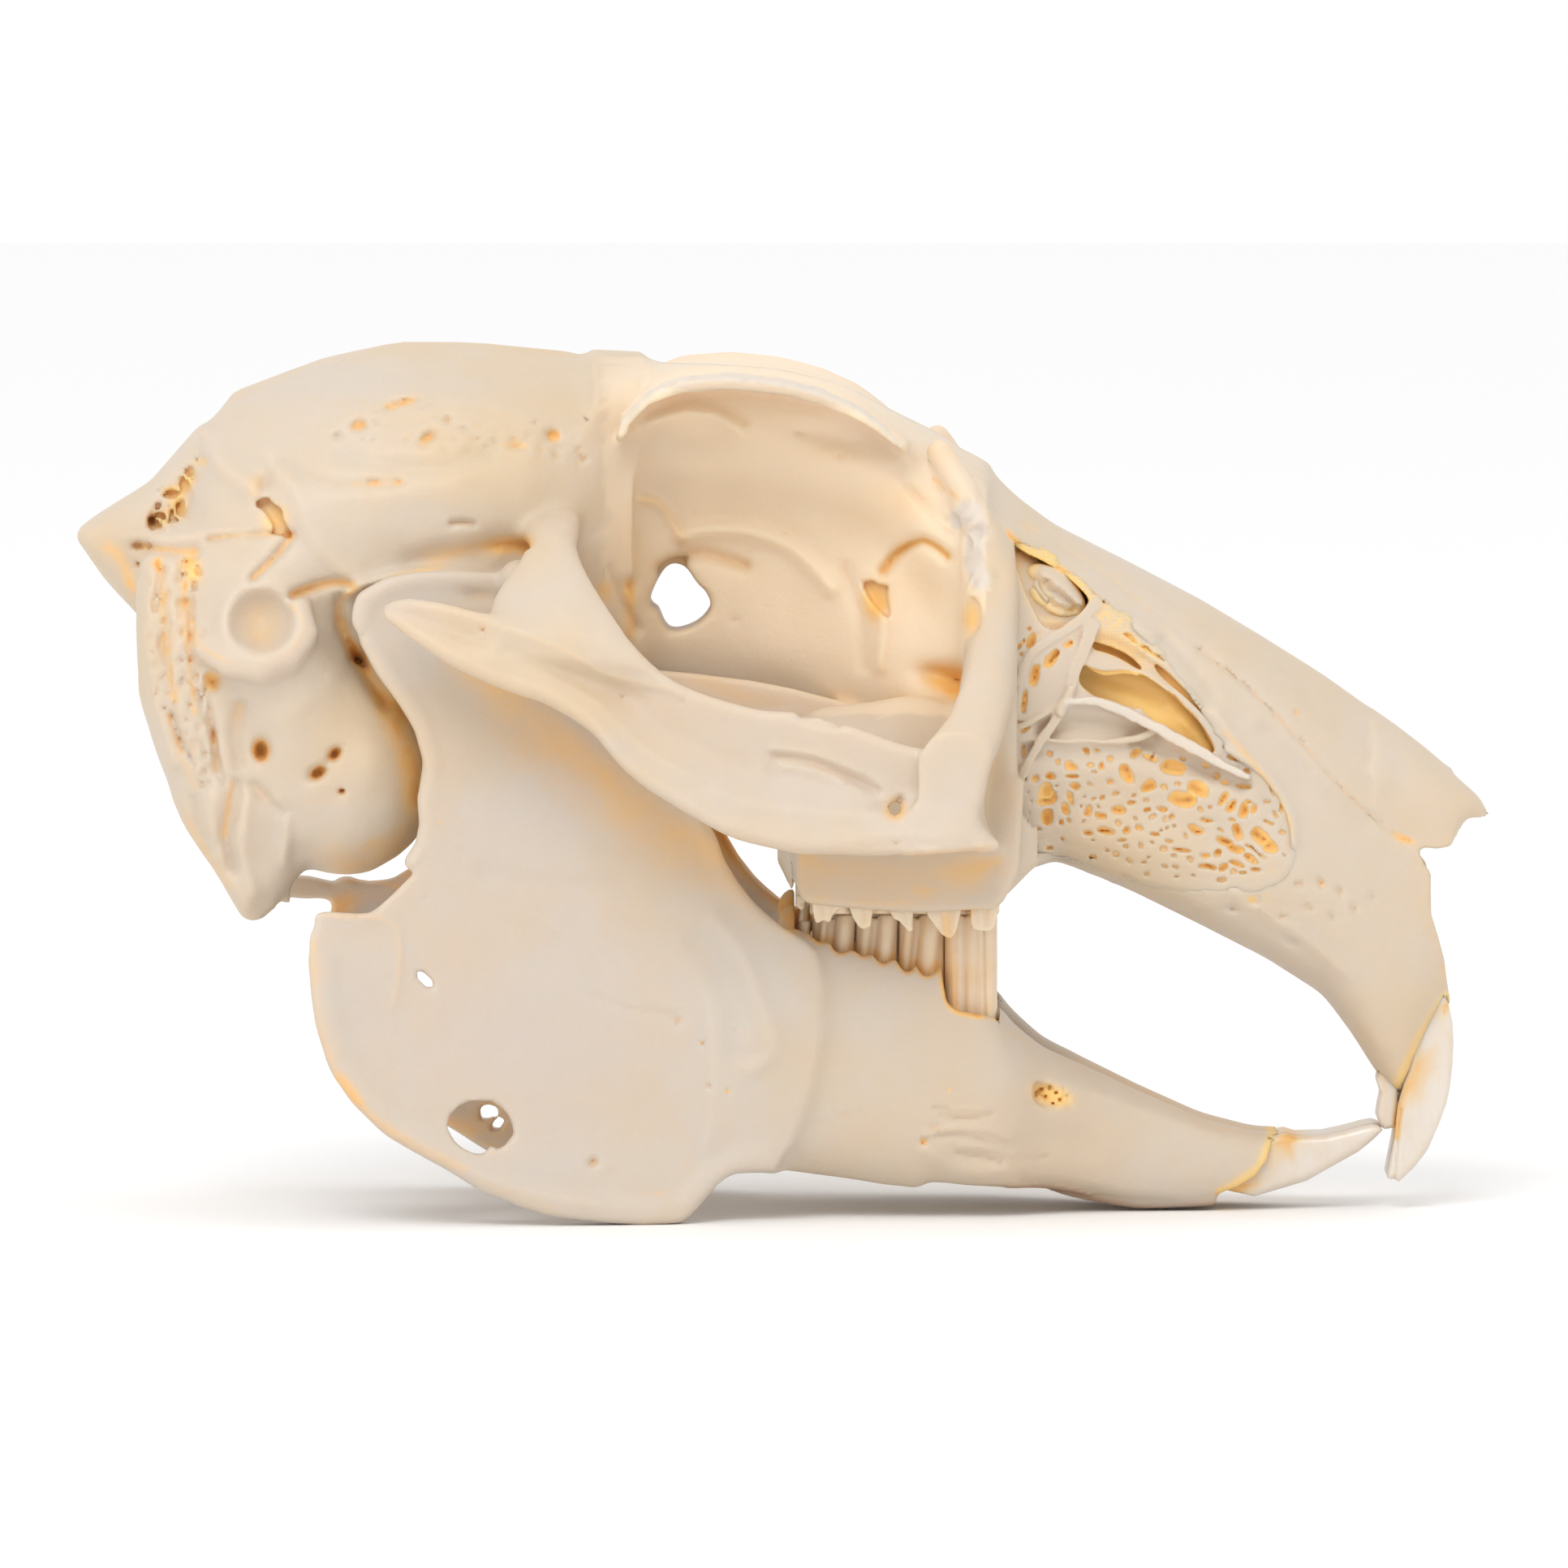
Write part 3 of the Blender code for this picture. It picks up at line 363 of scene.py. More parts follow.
    def sweep(self, keys, n, long=3.0, k=0.25):
        """Flattened bar: keys are (centre, half axis, other half axis), all (x, a, z)."""
        flat = curve([np.concatenate(q) for q in keys], n)
        c, A, B = flat[:, :3], flat[:, 3:6], flat[:, 6:]
        ext = np.sqrt(A ** 2 + B ** 2).max(0)
        sl = self.box(c.min(0) - ext, c.max(0) + ext, 2.0)
        d = np.full([s.stop - s.start for s in sl], 6.0, np.float32)
        step = np.gradient(c, axis=0)
        for i in range(n):
            T = step[i] * long
            s2, dd = self.ellipsoid(c[i], (A[i], B[i], T))
            s3 = tuple(slice(max(b.start, q.start), min(b.stop, q.stop)) for b, q in zip(s2, sl))
            src = tuple(slice(b.start - q.start, b.stop - q.start) for b, q in zip(s3, s2))
            loc = tuple(slice(b.start - q.start, b.stop - q.start) for b, q in zip(s3, sl))
            d[loc] = smin(d[loc], dd[src], k)
        return sl, d

    def plate(self, outline, outer, inner, edge=0.3, margin=1.6):
        """Sheet bounded by an outline of the drawing and two depth maps (or numbers)."""
        mp = outline if isinstance(outline, Map) else polygon_map(outline)
        u0, u1 = mp.u0 + 50, mp.u0 + mp.step * (mp.nu - 1) - 50
        v0, v1 = mp.v0 + 50, mp.v0 + mp.step * (mp.nv - 1) - 50
        top = outer.m.max() if isinstance(outer, Map) else outer
        bot = inner.m.min() if isinstance(inner, Map) else inner
        sl = self.uvbox(u0, u1, v0, v1, max(bot, 0), top, margin)
        U, V = self.uv(sl)
        _, a, _ = self.xyz(sl)
        d2 = mp(U, V) * GRID
        if isinstance(outer, Map):
            do = (a - outer(U, V)) * slope_of(outer)(U, V)
        else:
            do = a - outer
        if isinstance(inner, Map):
            di = (inner(U, V) - a) * slope_of(inner)(U, V)
        else:
            di = inner - a
        dz = np.maximum(do, di)
        e = edge
        d = np.sqrt(np.maximum(d2 + e, 0) ** 2 + np.maximum(dz + e, 0) ** 2) + np.minimum(np.maximum(d2, dz) + e, 0) - e
        return sl, d

    def noise(self, sl, cell, seed):
        """Smooth noise of about unit size, the same whatever the part of the grid."""
        out = None
        rng = np.random.RandomState(seed)
        n = [int(120 / cell) + 8 for _ in range(3)]
        n = [min(k, 420) for k in n]
        idx, W = [], []
        for c, off in zip((self.x[sl[0]], self.a[sl[1]], self.z[sl[2]]), (-45.0, -5.0, -5.0)):
            t = (c - off) / cell
            i = np.floor(t).astype(int)
            f = (t - i)
            i0, i1 = i.min() - 1, i.max() + 3
            w = np.zeros((len(c), i1 - i0), np.float32)
            r = np.arange(len(c))
            for k, b in enumerate(((1 - f) ** 3 / 6, (3 * f ** 3 - 6 * f ** 2 + 4) / 6,
                                   (-3 * f ** 3 + 3 * f ** 2 + 3 * f + 1) / 6, f ** 3 / 6)):
                w[r, i - 1 + k - i0] += b
            idx.append((i0, i1))
            W.append(w)
        base = _lattice(seed)
        g = base[np.ix_(*[np.arange(i0, i1) % 97 for i0, i1 in idx])]
        out = np.einsum("ai,ijk->ajk", W[0], g, optimize=True)
        out = np.einsum("bj,ajk->abk", W[1], out, optimize=True)
        out = np.einsum("ck,abk->abc", W[2], out, optimize=True)
        return (out * 2.2).astype(np.float32)


_lat = {}


def _lattice(seed):
    if seed not in _lat:
        _lat[seed] = np.random.RandomState(seed).standard_normal((97, 97, 97)).astype(np.float32)
    return _lat[seed]


def line_map(items, box, step=2.0):
    """Relief over the drawing: strokes and spots, in mm; positive stands proud.
    ('l', width, height, (u, v), (u, v), ...) or ('s', u, v, ru, rv, degrees, height)."""
    mp = Map(*box, step)
    u, v = mp.u, mp.v
    for it in items:
        if it[0] == 'l':
            w, hgt, pts = it[1], it[2], curve(it[3:], max(8, 6 * (len(it) - 3)))
            best = np.full(mp.m.shape, 1e9, np.float32)
            i0, i1 = (int((q - mp.u0) / step) for q in (pts[:, 0].min() - 3 * w, pts[:, 0].max() + 3 * w))
            j0, j1 = (int((q - mp.v0) / step) for q in (pts[:, 1].min() - 3 * w, pts[:, 1].max() + 3 * w))
            i0, j0, i1, j1 = max(i0, 0), max(j0, 0), min(i1 + 1, mp.nu), min(j1 + 1, mp.nv)
            if i1 <= i0 or j1 <= j0:
                continue
            uu, vv = u[i0:i1], v[:, j0:j1]
            best = np.full((i1 - i0, j1 - j0), 1e9, np.float32)
            for (a, b), (c, d) in zip(pts[:-1], pts[1:]):
                e = max((c - a) ** 2 + (d - b) ** 2, 1e-6)
                t = np.clip(((uu - a) * (c - a) + (vv - b) * (d - b)) / e, 0, 1)
                best = np.minimum(best, (uu - a - t * (c - a)) ** 2 + (vv - b - t * (d - b)) ** 2)
            mp.m[i0:i1, j0:j1] += hgt * np.exp(-best / (w * w) * 1.4)
        else:
            _, cu, cv, ru, rv, deg, hgt = it
            i0, i1 = (int((q - mp.u0) / step) for q in (cu - 3 * max(ru, rv), cu + 3 * max(ru, rv)))
            j0, j1 = (int((q - mp.v0) / step) for q in (cv - 3 * max(ru, rv), cv + 3 * max(ru, rv)))
            i0, j0, i1, j1 = max(i0, 0), max(j0, 0), min(i1 + 1, mp.nu), min(j1 + 1, mp.nv)
            if i1 <= i0 or j1 <= j0:
                continue
            c, s = math.cos(math.radians(deg)), math.sin(math.radians(deg))
            du, dv = u[i0:i1] - cu, v[:, j0:j1] - cv
            p, q = (du * c + dv * s) / ru, (-du * s + dv * c) / rv
            mp.m[i0:i1, j0:j1] += hgt * np.exp(-(p * p + q * q) * 1.4)
    return mp


def speckle(count, seed, r0, r1, stretch, lean, outline):
    """Scattered small upright ellipses inside an outline, apart from each other."""
    rng = np.random.RandomState(seed)
    p = np.asarray(outline, float)
    inside = polygon_map(outline)
    out = []
    for _ in range(count * 20):
        u, v = rng.uniform(p[:, 0].min(), p[:, 0].max()), rng.uniform(p[:, 1].min(), p[:, 1].max())
        r = r0 + (r1 - r0) * rng.uniform() ** 2
        s = rng.uniform(*stretch)
        if inside(np.array([u]), np.array([v]))[0] < -1 and all((u - q[0]) ** 2 + ((v - q[1]) / s) ** 2 > (r + q[2] + 1.0) ** 2 for q in out):
            out.append((u, v, r, r * s, lean + rng.uniform(-22, 22)))
            if len(out) >= count:
                break
    return out


# ------------------------------------------------------------------- skinning
def skin(f, origin, h):
    """Vertices (mm) and quads of the zero level of f."""
    s = f < 0
    nx, ny, nz = f.shape
    c = s[:-1, :-1, :-1].astype(np.uint8)
    tot = np.zeros((nx - 1, ny - 1, nz - 1), np.uint8)
    for i in (0, 1):
        for j in (0, 1):
            for k in (0, 1):
                tot += s[i:nx - 1 + i, j:ny - 1 + j, k:nz - 1 + k]
    act = np.flatnonzero(((tot > 0) & (tot < 8)).ravel())
    del tot, c
    cy, cz = ny - 1, nz - 1
    ci, r = np.divmod(act, cy * cz)
    cj, ck = np.divmod(r, cz)
    base = (ci * ny + cj) * nz + ck
    fl = f.ravel()
    offs = [(i, j, k) for i in (0, 1) for j in (0, 1) for k in (0, 1)]
    val = {o: fl[base + (o[0] * ny + o[1]) * nz + o[2]] for o in offs}
    pos = np.zeros((len(act), 3), np.float32)
    cnt = np.zeros(len(act), np.float32)
    for o in offs:
        for ax in range(3):
            if o[ax]:
                continue
            o2 = list(o)
            o2[ax] = 1
            a, b = val[o], val[tuple(o2)]
            m = (a < 0) != (b < 0)
            t = np.where(m, a / np.where(m, a - b, 1), 0)
            for q in range(3):
                pos[:, q] += np.where(m, o[q] + (t if q == ax else 0), 0)
            cnt += m
    pos /= cnt[:, None]
    verts = (np.stack([ci, cj, ck], 1) + pos) * h + np.asarray(origin)
    index = np.full((nx - 1) * cy * cz, -1, np.int32)
    index[act] = np.arange(len(act), dtype=np.int32)
    index = index.reshape(nx - 1, cy, cz)
    quads = []
    for ax in range(3):
        lo = [slice(1, n - 1) for n in (nx, ny, nz)]
        hi = list(lo)
        lo[ax], hi[ax] = slice(0, -1), slice(1, None)
        sa, sb = s[tuple(lo)], s[tuple(hi)]
        e = np.argwhere(sa != sb)
        flip = sa[tuple(e.T)]
        e = e + np.array([0 if q == ax else 1 for q in range(3)])
        b, c2 = [(1, 2), (2, 0), (0, 1)][ax]
        qd = []
        for db, dc in ((-1, -1), (0, -1), (0, 0), (-1, 0)):
            g = e.copy()
            g[:, b] += db
            g[:, c2] += dc
            qd.append(index[tuple(g.T)])
        qd = np.stack(qd, 1)
        qd[~flip] = qd[~flip][:, ::-1]
        quads.append(qd)
    return verts, np.vstack(quads)


def biggest(verts, quads, keep=0.004):
    """Drop loose crumbs that hold less than a small share of the points."""
    n = len(verts)
    lab = np.arange(n)
    e = np.vstack([quads[:, [0, 1]], quads[:, [1, 2]], quads[:, [2, 3]]])
    for _ in range(60):
        old = lab.copy()
        m = np.minimum(lab[e[:, 0]], lab[e[:, 1]])
        np.minimum.at(lab, e[:, 0], m)
        np.minimum.at(lab, e[:, 1], m)
        lab = lab[lab]
        lab = lab[lab]
        if (lab == old).all():
            break
    cnt = np.bincount(lab, minlength=n)
    ok = cnt[lab] >= keep * n
    new = np.cumsum(ok) - 1
    return verts[ok], new[quads[ok[quads[:, 0]]]]


def mesh_of(name, verts, quads):
    """Mesh from points in mm and a face array."""
    me = bpy.data.meshes.new(name)
    me.vertices.add(len(verts))
    me.vertices.foreach_set("co", (np.asarray(verts, np.float32) * 0.001).ravel())
    k = quads.shape[1]
    me.loops.add(quads.size)
    me.loops.foreach_set("vertex_index", quads.astype(np.int32).ravel())
    me.polygons.add(len(quads))
    me.polygons.foreach_set("loop_start", np.arange(0, quads.size, k, dtype=np.int32))
    me.polygons.foreach_set("use_smooth", np.ones(len(quads), bool))
    me.update(calc_edges=True)
    return me


def thin(me, name, triangles):
    """Fewer, larger faces where the surface is calm."""
    have = sum(len(p.vertices) - 2 for p in me.polygons) if len(me.polygons) < 10 else \
        int(len(me.loops) - 2 * len(me.polygons))
    ob = bpy.data.objects.new(name + "_dense", me)
    bpy.context.scene.collection.objects.link(ob)
    mod = ob.modifiers.new("thin", 'DECIMATE')
    mod.ratio = min(1.0, triangles / max(have, 1))
    mod.use_collapse_triangulate = True
    dg = bpy.context.evaluated_depsgraph_get()
    out = bpy.data.meshes.new_from_object(ob.evaluated_get(dg))
    bpy.data.objects.remove(ob)
    bpy.data.meshes.remove(me)
    out.name = name
    out.polygons.foreach_set("use_smooth", np.ones(len(out.polygons), bool))
    return out


def blur(arr, sigma):
    """Soft average over a grid, sigma in cells."""
    out = arr.astype(np.float32)
    r = max(1, int(round(sigma * 1.05)))
    for ax in range(3):
        for _ in range(2):
            p = np.cumsum(np.pad(out, [(r + 1, r) if q == ax else (0, 0) for q in range(3)], mode="edge"), axis=ax, dtype=np.float32)
            n = out.shape[ax]
            hi = [slice(None)] * 3
            lo = [slice(None)] * 3
            hi[ax], lo[ax] = slice(2 * r + 1, 2 * r + 1 + n), slice(0, n)
            out = (p[tuple(hi)] - p[tuple(lo)]) / (2 * r + 1)
    return out


def sample(arr, origin, h, pts):
    """Values of a grid at points (mm)."""
    q = (pts - np.asarray(origin)) / h
    q = np.clip(q, 0, np.array(arr.shape) - 1.001)
    i = q.astype(int)
    f = q - i
    out = 0
    for dx in (0, 1):
        for dy in (0, 1):
            for dz in (0, 1):
                w = ((f[:, 0] if dx else 1 - f[:, 0]) * (f[:, 1] if dy else 1 - f[:, 1])
                     * (f[:, 2] if dz else 1 - f[:, 2]))
                out = out + w * arr[i[:, 0] + dx, i[:, 1] + dy, i[:, 2] + dz]
    return out


def points_of(me):
    co = np.empty(len(me.vertices) * 3, np.float32)
    me.vertices.foreach_get("co", co)
    return co.reshape(-1, 3) * 1000.0


def drawing_of(p):
    """(u, v) of points in mm, each seen from its own side."""
    wy, wz = -np.abs(p[:, 1]) - EYE_Y, p[:, 2] - SHZ - EYE_Z
    depth = wy * CP - wz * SP
    return (MID + (p[:, 0] - SHX) * DIST / (depth * GRID),
            MID - (wy * SP + wz * CP) * DIST / (depth * GRID))


def attribute(me, name, values):
    at_ = me.attributes.new(name, 'FLOAT', 'POINT')
    at_.data.foreach_set("value", np.ascontiguousarray(np.clip(values, 0, 1), np.float32))


# =================================================================== cranium
BRAINCASE = [
    (214, 650, 760, 880, 8.6, 2.4, 2.6), (244, 560, 730, 890, 10.8, 2.3, 2.6),
    (270, 501, 710, 888, 11.9, 2.2, 2.4), (334, 474, 670, 880, 12.6, 2.1, 2.2),
    (405, 447, 630, 870, 13.2, 2.0, 2.1), (480, 430, 610, 862, 13.5, 2.0, 2.0),
    (570, 428, 600, 855, 13.3, 2.0, 1.9), (650, 435, 600, 845, 12.0, 2.0, 1.9),
    (720, 441, 600, 838, 9.6, 2.0, 1.9), (780, 443, 590, 832, 7.2, 2.1, 1.8)]
FRONTAL = [
    (740, 442, 520, 640, 8.0, 2.2, 2.0), (800, 447, 515, 640, 7.0, 2.6, 1.7),
    (880, 449, 510, 640, 6.8, 3.0, 1.6), (960, 455, 520, 650, 7.2, 3.0, 1.6),
    (1040, 474, 545, 670, 7.8, 3.0, 1.7), (1110, 512, 590, 720, 8.5, 2.8, 1.8),
    (1165, 538, 640, 800, 9.0, 2.6, 2.0), (1215, 578, 700, 900, 9.3, 2.6, 2.4)]
SEPTUM = [
    (735, 560, 660, 846, 7.0, 2.0, 2.0), (780, 560, 640, 850, 4.4, 2.0, 2.2),
    (830, 560, 620, 858, 2.9, 2.0, 2.4), (900, 560, 620, 872, 2.6, 2.0, 2.4),
    (980, 570, 640, 890, 3.4, 2.0, 2.4), (1050, 590, 700, 930, 5.0, 2.0, 2.4),
    (1110, 600, 760, 990, 6.8, 2.0, 2.6), (1170, 620, 800, 1050, 8.6, 2.2, 3.0),
    (1225, 640, 820, 1076, 9.4, 2.4, 3.2)]
SNOUT = [
    (1205, 568, 800, 1072, 9.6, 2.5, 3.2), (1255, 614, 830, 1070, 9.8, 2.4, 3.4),
    (1300, 647, 850, 1058, 9.4, 2.4, 3.4), (1390, 692, 900, 1095, 8.7, 2.3, 3.2),
    (1480, 739, 940, 1139, 8.0, 2.3, 3.0), (1560, 787, 980, 1179, 7.3, 2.3, 2.8),
    (1630, 831, 1040, 1224, 6.4, 2.3, 2.6), (1668, 858, 1080, 1275, 5.8, 2.3, 2.6),
    (1697, 879, 1110, 1322, 5.3, 2.3, 2.6), (1725, 899, 1110, 1356, 4.9, 2.3, 2.6),
    (1756, 922, 1090, 1292, 4.6, 2.3, 2.4), (1787, 950, 1060, 1238, 4.2, 2.3, 2.2)]
BOSS = [
    (97, 652, 657, 664, 2.0, 2.4, 2.0), (109, 641, 660, 684, 3.6, 2.6, 2.2),
    (140, 621, 668, 728, 4.4, 2.8, 2.4), (184, 594, 680, 790, 5.4, 2.8, 2.4),
    (245, 524, 680, 800, 7.0, 2.6, 2.4), (300, 505, 660, 800, 8.0, 2.4, 2.4)]
NASAL_TIP = [
    (1690, 876, 980, 1024, 4.9, 2.3, 2.4), (1721, 897, 990, 1030, 4.5, 2.3, 2.4),
    (1768, 935, 1000, 1052, 4.3, 2.3, 2.4), (1790, 953, 1005, 1046, 3.9, 2.3, 2.2),
    (1806, 967, 990, 1014, 3.2, 2.3, 2.0), (1822, 981, 998, 1010, 2.3, 2.2, 2.0),
    (1835, 1003, 1010, 1016, 0.9, 2.0, 2.0)]
BRAIN_CAVITY = [
    (262, 640, 740, 838, 5.4, 2.0, 2.2), (310, 540, 700, 838, 9.0, 2.0, 2.2),
    (400, 484, 640, 836, 10.5, 2.0, 2.0), (480, 466, 615, 830, 10.8, 2.0, 1.9),
    (570, 464, 605, 822, 10.6, 2.0, 1.8), (650, 472, 600, 812, 9.1, 2.0, 1.8),
    (710, 482, 590, 790, 6.8, 2.0, 1.8), (756, 496, 585, 720, 4.6, 2.0, 1.8),
    (830, 512, 560, 620, 3.4, 2.0, 2.0)]
NASAL_CAVITY = [
    (1218, 650, 830, 1030, 7.2, 2.2, 3.0), (1270, 668, 850, 1030, 7.8, 2.2, 3.0),
    (1340, 700, 870, 1032, 7.4, 2.2, 3.0), (1420, 742, 900, 1060, 6.8, 2.2, 2.8),
    (1500, 786, 930, 1080, 6.2, 2.2, 2.6), (1580, 834, 960, 1092, 5.4, 2.2, 2.4),
    (1640, 870, 985, 1096, 4.6, 2.2, 2.2), (1700, 908, 1010, 1120, 3.9, 2.2, 2.2),
    (1750, 944, 1035, 1150, 3.4, 2.2, 2.2), (1800, 980, 1065, 1168, 3.1, 2.2, 2.2),
    (1900, 1050, 1130, 1210, 3.1, 2.2, 2.2)]

# top and bottom edge of the cheek arch, its depth and the swell of its lower rim
ARCH = [
    (474, 747, 760, 18.6, 0.25), (486, 740, 771, 18.8, 0.42), (508, 737, 790, 19.1, 0.58),
    (553, 744, 819, 19.5, 0.66), (600, 758, 842, 19.7, 0.72), (640, 768, 857, 19.8, 0.75),
    (671, 776, 866, 19.9, 0.78), (712, 780, 889, 19.9, 0.8), (738, 784, 911, 19.9, 0.8),
    (757, 790, 937, 19.8, 0.78), (776, 797, 955, 19.7, 0.75), (799, 820, 974, 19.6, 0.75),
    (830, 839, 992, 19.5, 0.75), (860, 853, 1010, 19.4, 0.75), (900, 866, 1032, 19.2, 0.75),
    (940, 876, 1043, 19.0, 0.75), (985, 878, 1052, 18.9, 0.78), (1030, 889, 1053, 18.8, 0.8),
    (1070, 902, 1054, 18.7, 0.85), (1100, 914, 1054, 18.6, 0.95), (1148, 925, 1053, 18.5, 1.0),
    (1183, 935, 1046, 18.4, 0.95), (1210, 980, 1045, 18.2, 0.75), (1229, 1020, 1045, 17.9, 0.45)]


def arch_keys(F):
    rows = []
    for u, t, b, a, r in ARCH:
        rt, rm, rb = min(0.42, r), r * 0.62, r
        h = (b - t) * GRID
        rb = min(rb, h * 0.3)
        rt = min(rt, h * 0.3)
        vt, vb = t + rt / GRID, b - rb / GRID
        dip = min(0.95, h * 0.14)
        rows.append((u, (vt, a - 0.35, rt), (vt + (vb - vt) * 0.45, a - dip - 0.1, rm * 0.9),
                     (vb - (vb - vt) * 0.22, a - 0.1, rm), (vb, a, rb)))
    return F.xbar(rows)


OPTIC = [(801, 748), (801, 735), (811, 712), (821, 697), (832, 693), (846, 698), (859, 719),
         (870, 728), (877, 744), (872, 757), (856, 771), (829, 779), (819, 771), (813, 757), (811, 751)]
FISSURE = [(315, 617), (330, 612), (337, 621), (348, 627), (349, 641), (355, 650), (361, 659), (357, 665),
           (346, 660), (334, 659), (337, 647), (330, 636), (325, 629), (316, 624)]
NET = [(1243, 668), (1262, 668), (1310, 698), (1352, 732), (1400, 776), (1446, 826), (1482, 878),
       (1506, 915), (1556, 952), (1588, 1000), (1596, 1040), (1586, 1078), (1540, 1096), (1480, 1098), (1420, 1088),
       (1360, 1070), (1300, 1052), (1256, 1050), (1232, 1030), (1232, 980), (1242, 900), (1250, 820),
       (1254, 750), (1246, 705)]

MASTOID_PITS = speckle(85, 41, 2.0, 5.0, (1.2, 3.0), 4, [(182, 690), (238, 690), (250, 780), (258, 850), (276, 960), (246, 972), (205, 900), (178, 800)])
ROOF_PITS = speckle(80, 42, 1.4, 4.2, (0.35, 0.9), -6, [(425, 500), (470, 488), (560, 500), (640, 512), (715, 540), (722, 572), (640, 570), (540, 560), (440, 560)])
# thin bars across the broken cells
WEBS = [[(183, 632), (196, 640), (209, 652)], [(205, 620), (206, 640), (208, 656)], [(196, 630), (212, 618), (226, 612)], [(212, 618), (216, 634), (228, 644)],
        [(222, 582), (236, 594), (242, 606)], [(228, 612), (232, 628)], [(230, 700), (242, 712), (250, 716)], [(236, 690), (238, 706), (232, 720)], [(202, 606), (212, 600), (222, 604)]]
# relief of the side of the braincase, the ear and the occiput
SIDE = [
    ('l', 26, 0.22, (335, 520), (440, 505), (560, 500), (690, 520), (745, 560)),
    ('l', 15, -0.30, (420, 560), (480, 575), (540, 575), (600, 560)),
    ('l', 10, -0.22, (344, 569), (379, 588), (417, 600), (455, 598), (490, 594)),
    ('l', 5, -0.25, (477, 503), (497, 496), (512, 493)),
    ('s', 443, 526, 10, 8, 0, -0.4), ('s', 416, 537, 8, 6, 0, -0.35), ('s', 527, 540, 9, 5, -20, -0.4),
    ('s', 462, 520, 6, 4, 20, -0.3), ('s', 679, 537, 9, 7, 30, -0.45), ('s', 636, 550, 14, 6, 15, -0.4),
    ('s', 610, 545, 8, 4, 30, -0.25), ('s', 690, 548, 6, 4, 0, -0.25), ('s', 570, 528, 9, 4, 10, -0.2),
    ('l', 4, -0.55, (556, 645), (569, 643), (583, 646)),
    ('l', 20, -0.4, (510, 694), (560, 684), (605, 676), (640, 676)),
    ('s', 620, 674, 24, 9, -8, -0.22), ('s', 648, 674, 9, 10, 0, -0.2), ('s', 618, 678, 9, 5, -15, 0.2),
    ('l', 10, 0.8, (430, 728), (465, 716), (505, 708), (555, 706), (610, 714), (640, 706)),
    ('l', 14, -0.9, (500, 735), (560, 732), (612, 738)), ('s', 590, 734, 26, 10, 10, -0.9),
    ('l', 12, 0.25, (330, 560), (360, 600), (380, 650), (410, 690), (440, 715)),
    # occiput and the crest over the ear
    ('l', 11, 0.3, (118, 655), (160, 662), (215, 661), (262, 656), (300, 658)),
    ('s', 150, 690, 22, 24, 30, -1.1), ('l', 9, -0.4, (172, 674), (205, 680), (240, 680)),
    ('l', 16, 0.5, (250, 520), (262, 560), (290, 585), (312, 600)),
    ('s', 205, 622, 46, 36, -40, -0.6), ('l', 9, 0.35, (184, 600), (215, 566), (250, 530)),
    ('l', 7, -0.5, (361, 659), (340, 685), (312, 712)), ('l', 6, -0.3, (258, 664), (292, 660), (330, 658)),
    ('s', 326, 596, 10, 14, 20, -0.5),
    # mastoid: upright ribs and grooves
    ('l', 7, -0.22, (200, 700), (196, 730), (204, 760), (202, 800), (212, 850)), ('l', 9, 0.3, (186, 700), (182, 780), (192, 860), (214, 940)),
    ('l', 5, -0.3, (230, 740), (236, 770), (234, 800), (241, 840)), ('l', 8, 0.25, (214, 760), (216, 840), (232, 900), (244, 950)),
    ('l', 4, -0.3, (212, 880), (222, 912), (238, 940)), ('l', 4, -0.35, (244, 850), (250, 880), (262, 905), (268, 950)),
    ('l', 5, -0.35, (254, 850), (262, 890), (266, 930), (276, 965)), ('l', 12, -0.3, (222, 715), (232, 745), (238, 780)),
    ('l', 11, -0.5, (292, 968), (286, 1000), (279, 1032), (286, 1070)), ('l', 11, 0.3, (262, 980), (262, 1020), (280, 1070), (304, 1115)),
    ('l', 10, 0.28, (304, 985), (300, 1020), (300, 1060), (312, 1100)), ('l', 9, -0.3, (240, 985), (246, 1015), (262, 1045)),
    ('l', 8, -0.35, (312, 968), (330, 985), (348, 1000)), ('l', 9, 0.25, (338, 985), (352, 1010), (350, 1060)),
    # ear bulla
    ('s', 262, 840, 9, 12, 0, -0.9), ('l', 10, -0.3, (296, 870), (290, 900), (296, 940)),
    ('s', 322, 924, 11, 15, 0, -1.2), ('s', 391, 952, 13, 8, -35, -1.1), ('s', 412, 929, 11, 7, -50, -1.1),
    ('s', 421, 975, 4, 4, 0, -0.7), ('s', 455, 940, 28, 40, 15, 0.35), ('s', 352, 900, 30, 40, 0, 0.2),
    ('l', 7, -0.5, (360, 734), (385, 724), (412, 718), (432, 722)), ('l', 7, -0.5, (418, 735), (418, 760), (426, 785), (440, 812)),
    ('l', 10, -0.6, (440, 812), (458, 840), (475, 866)),
]

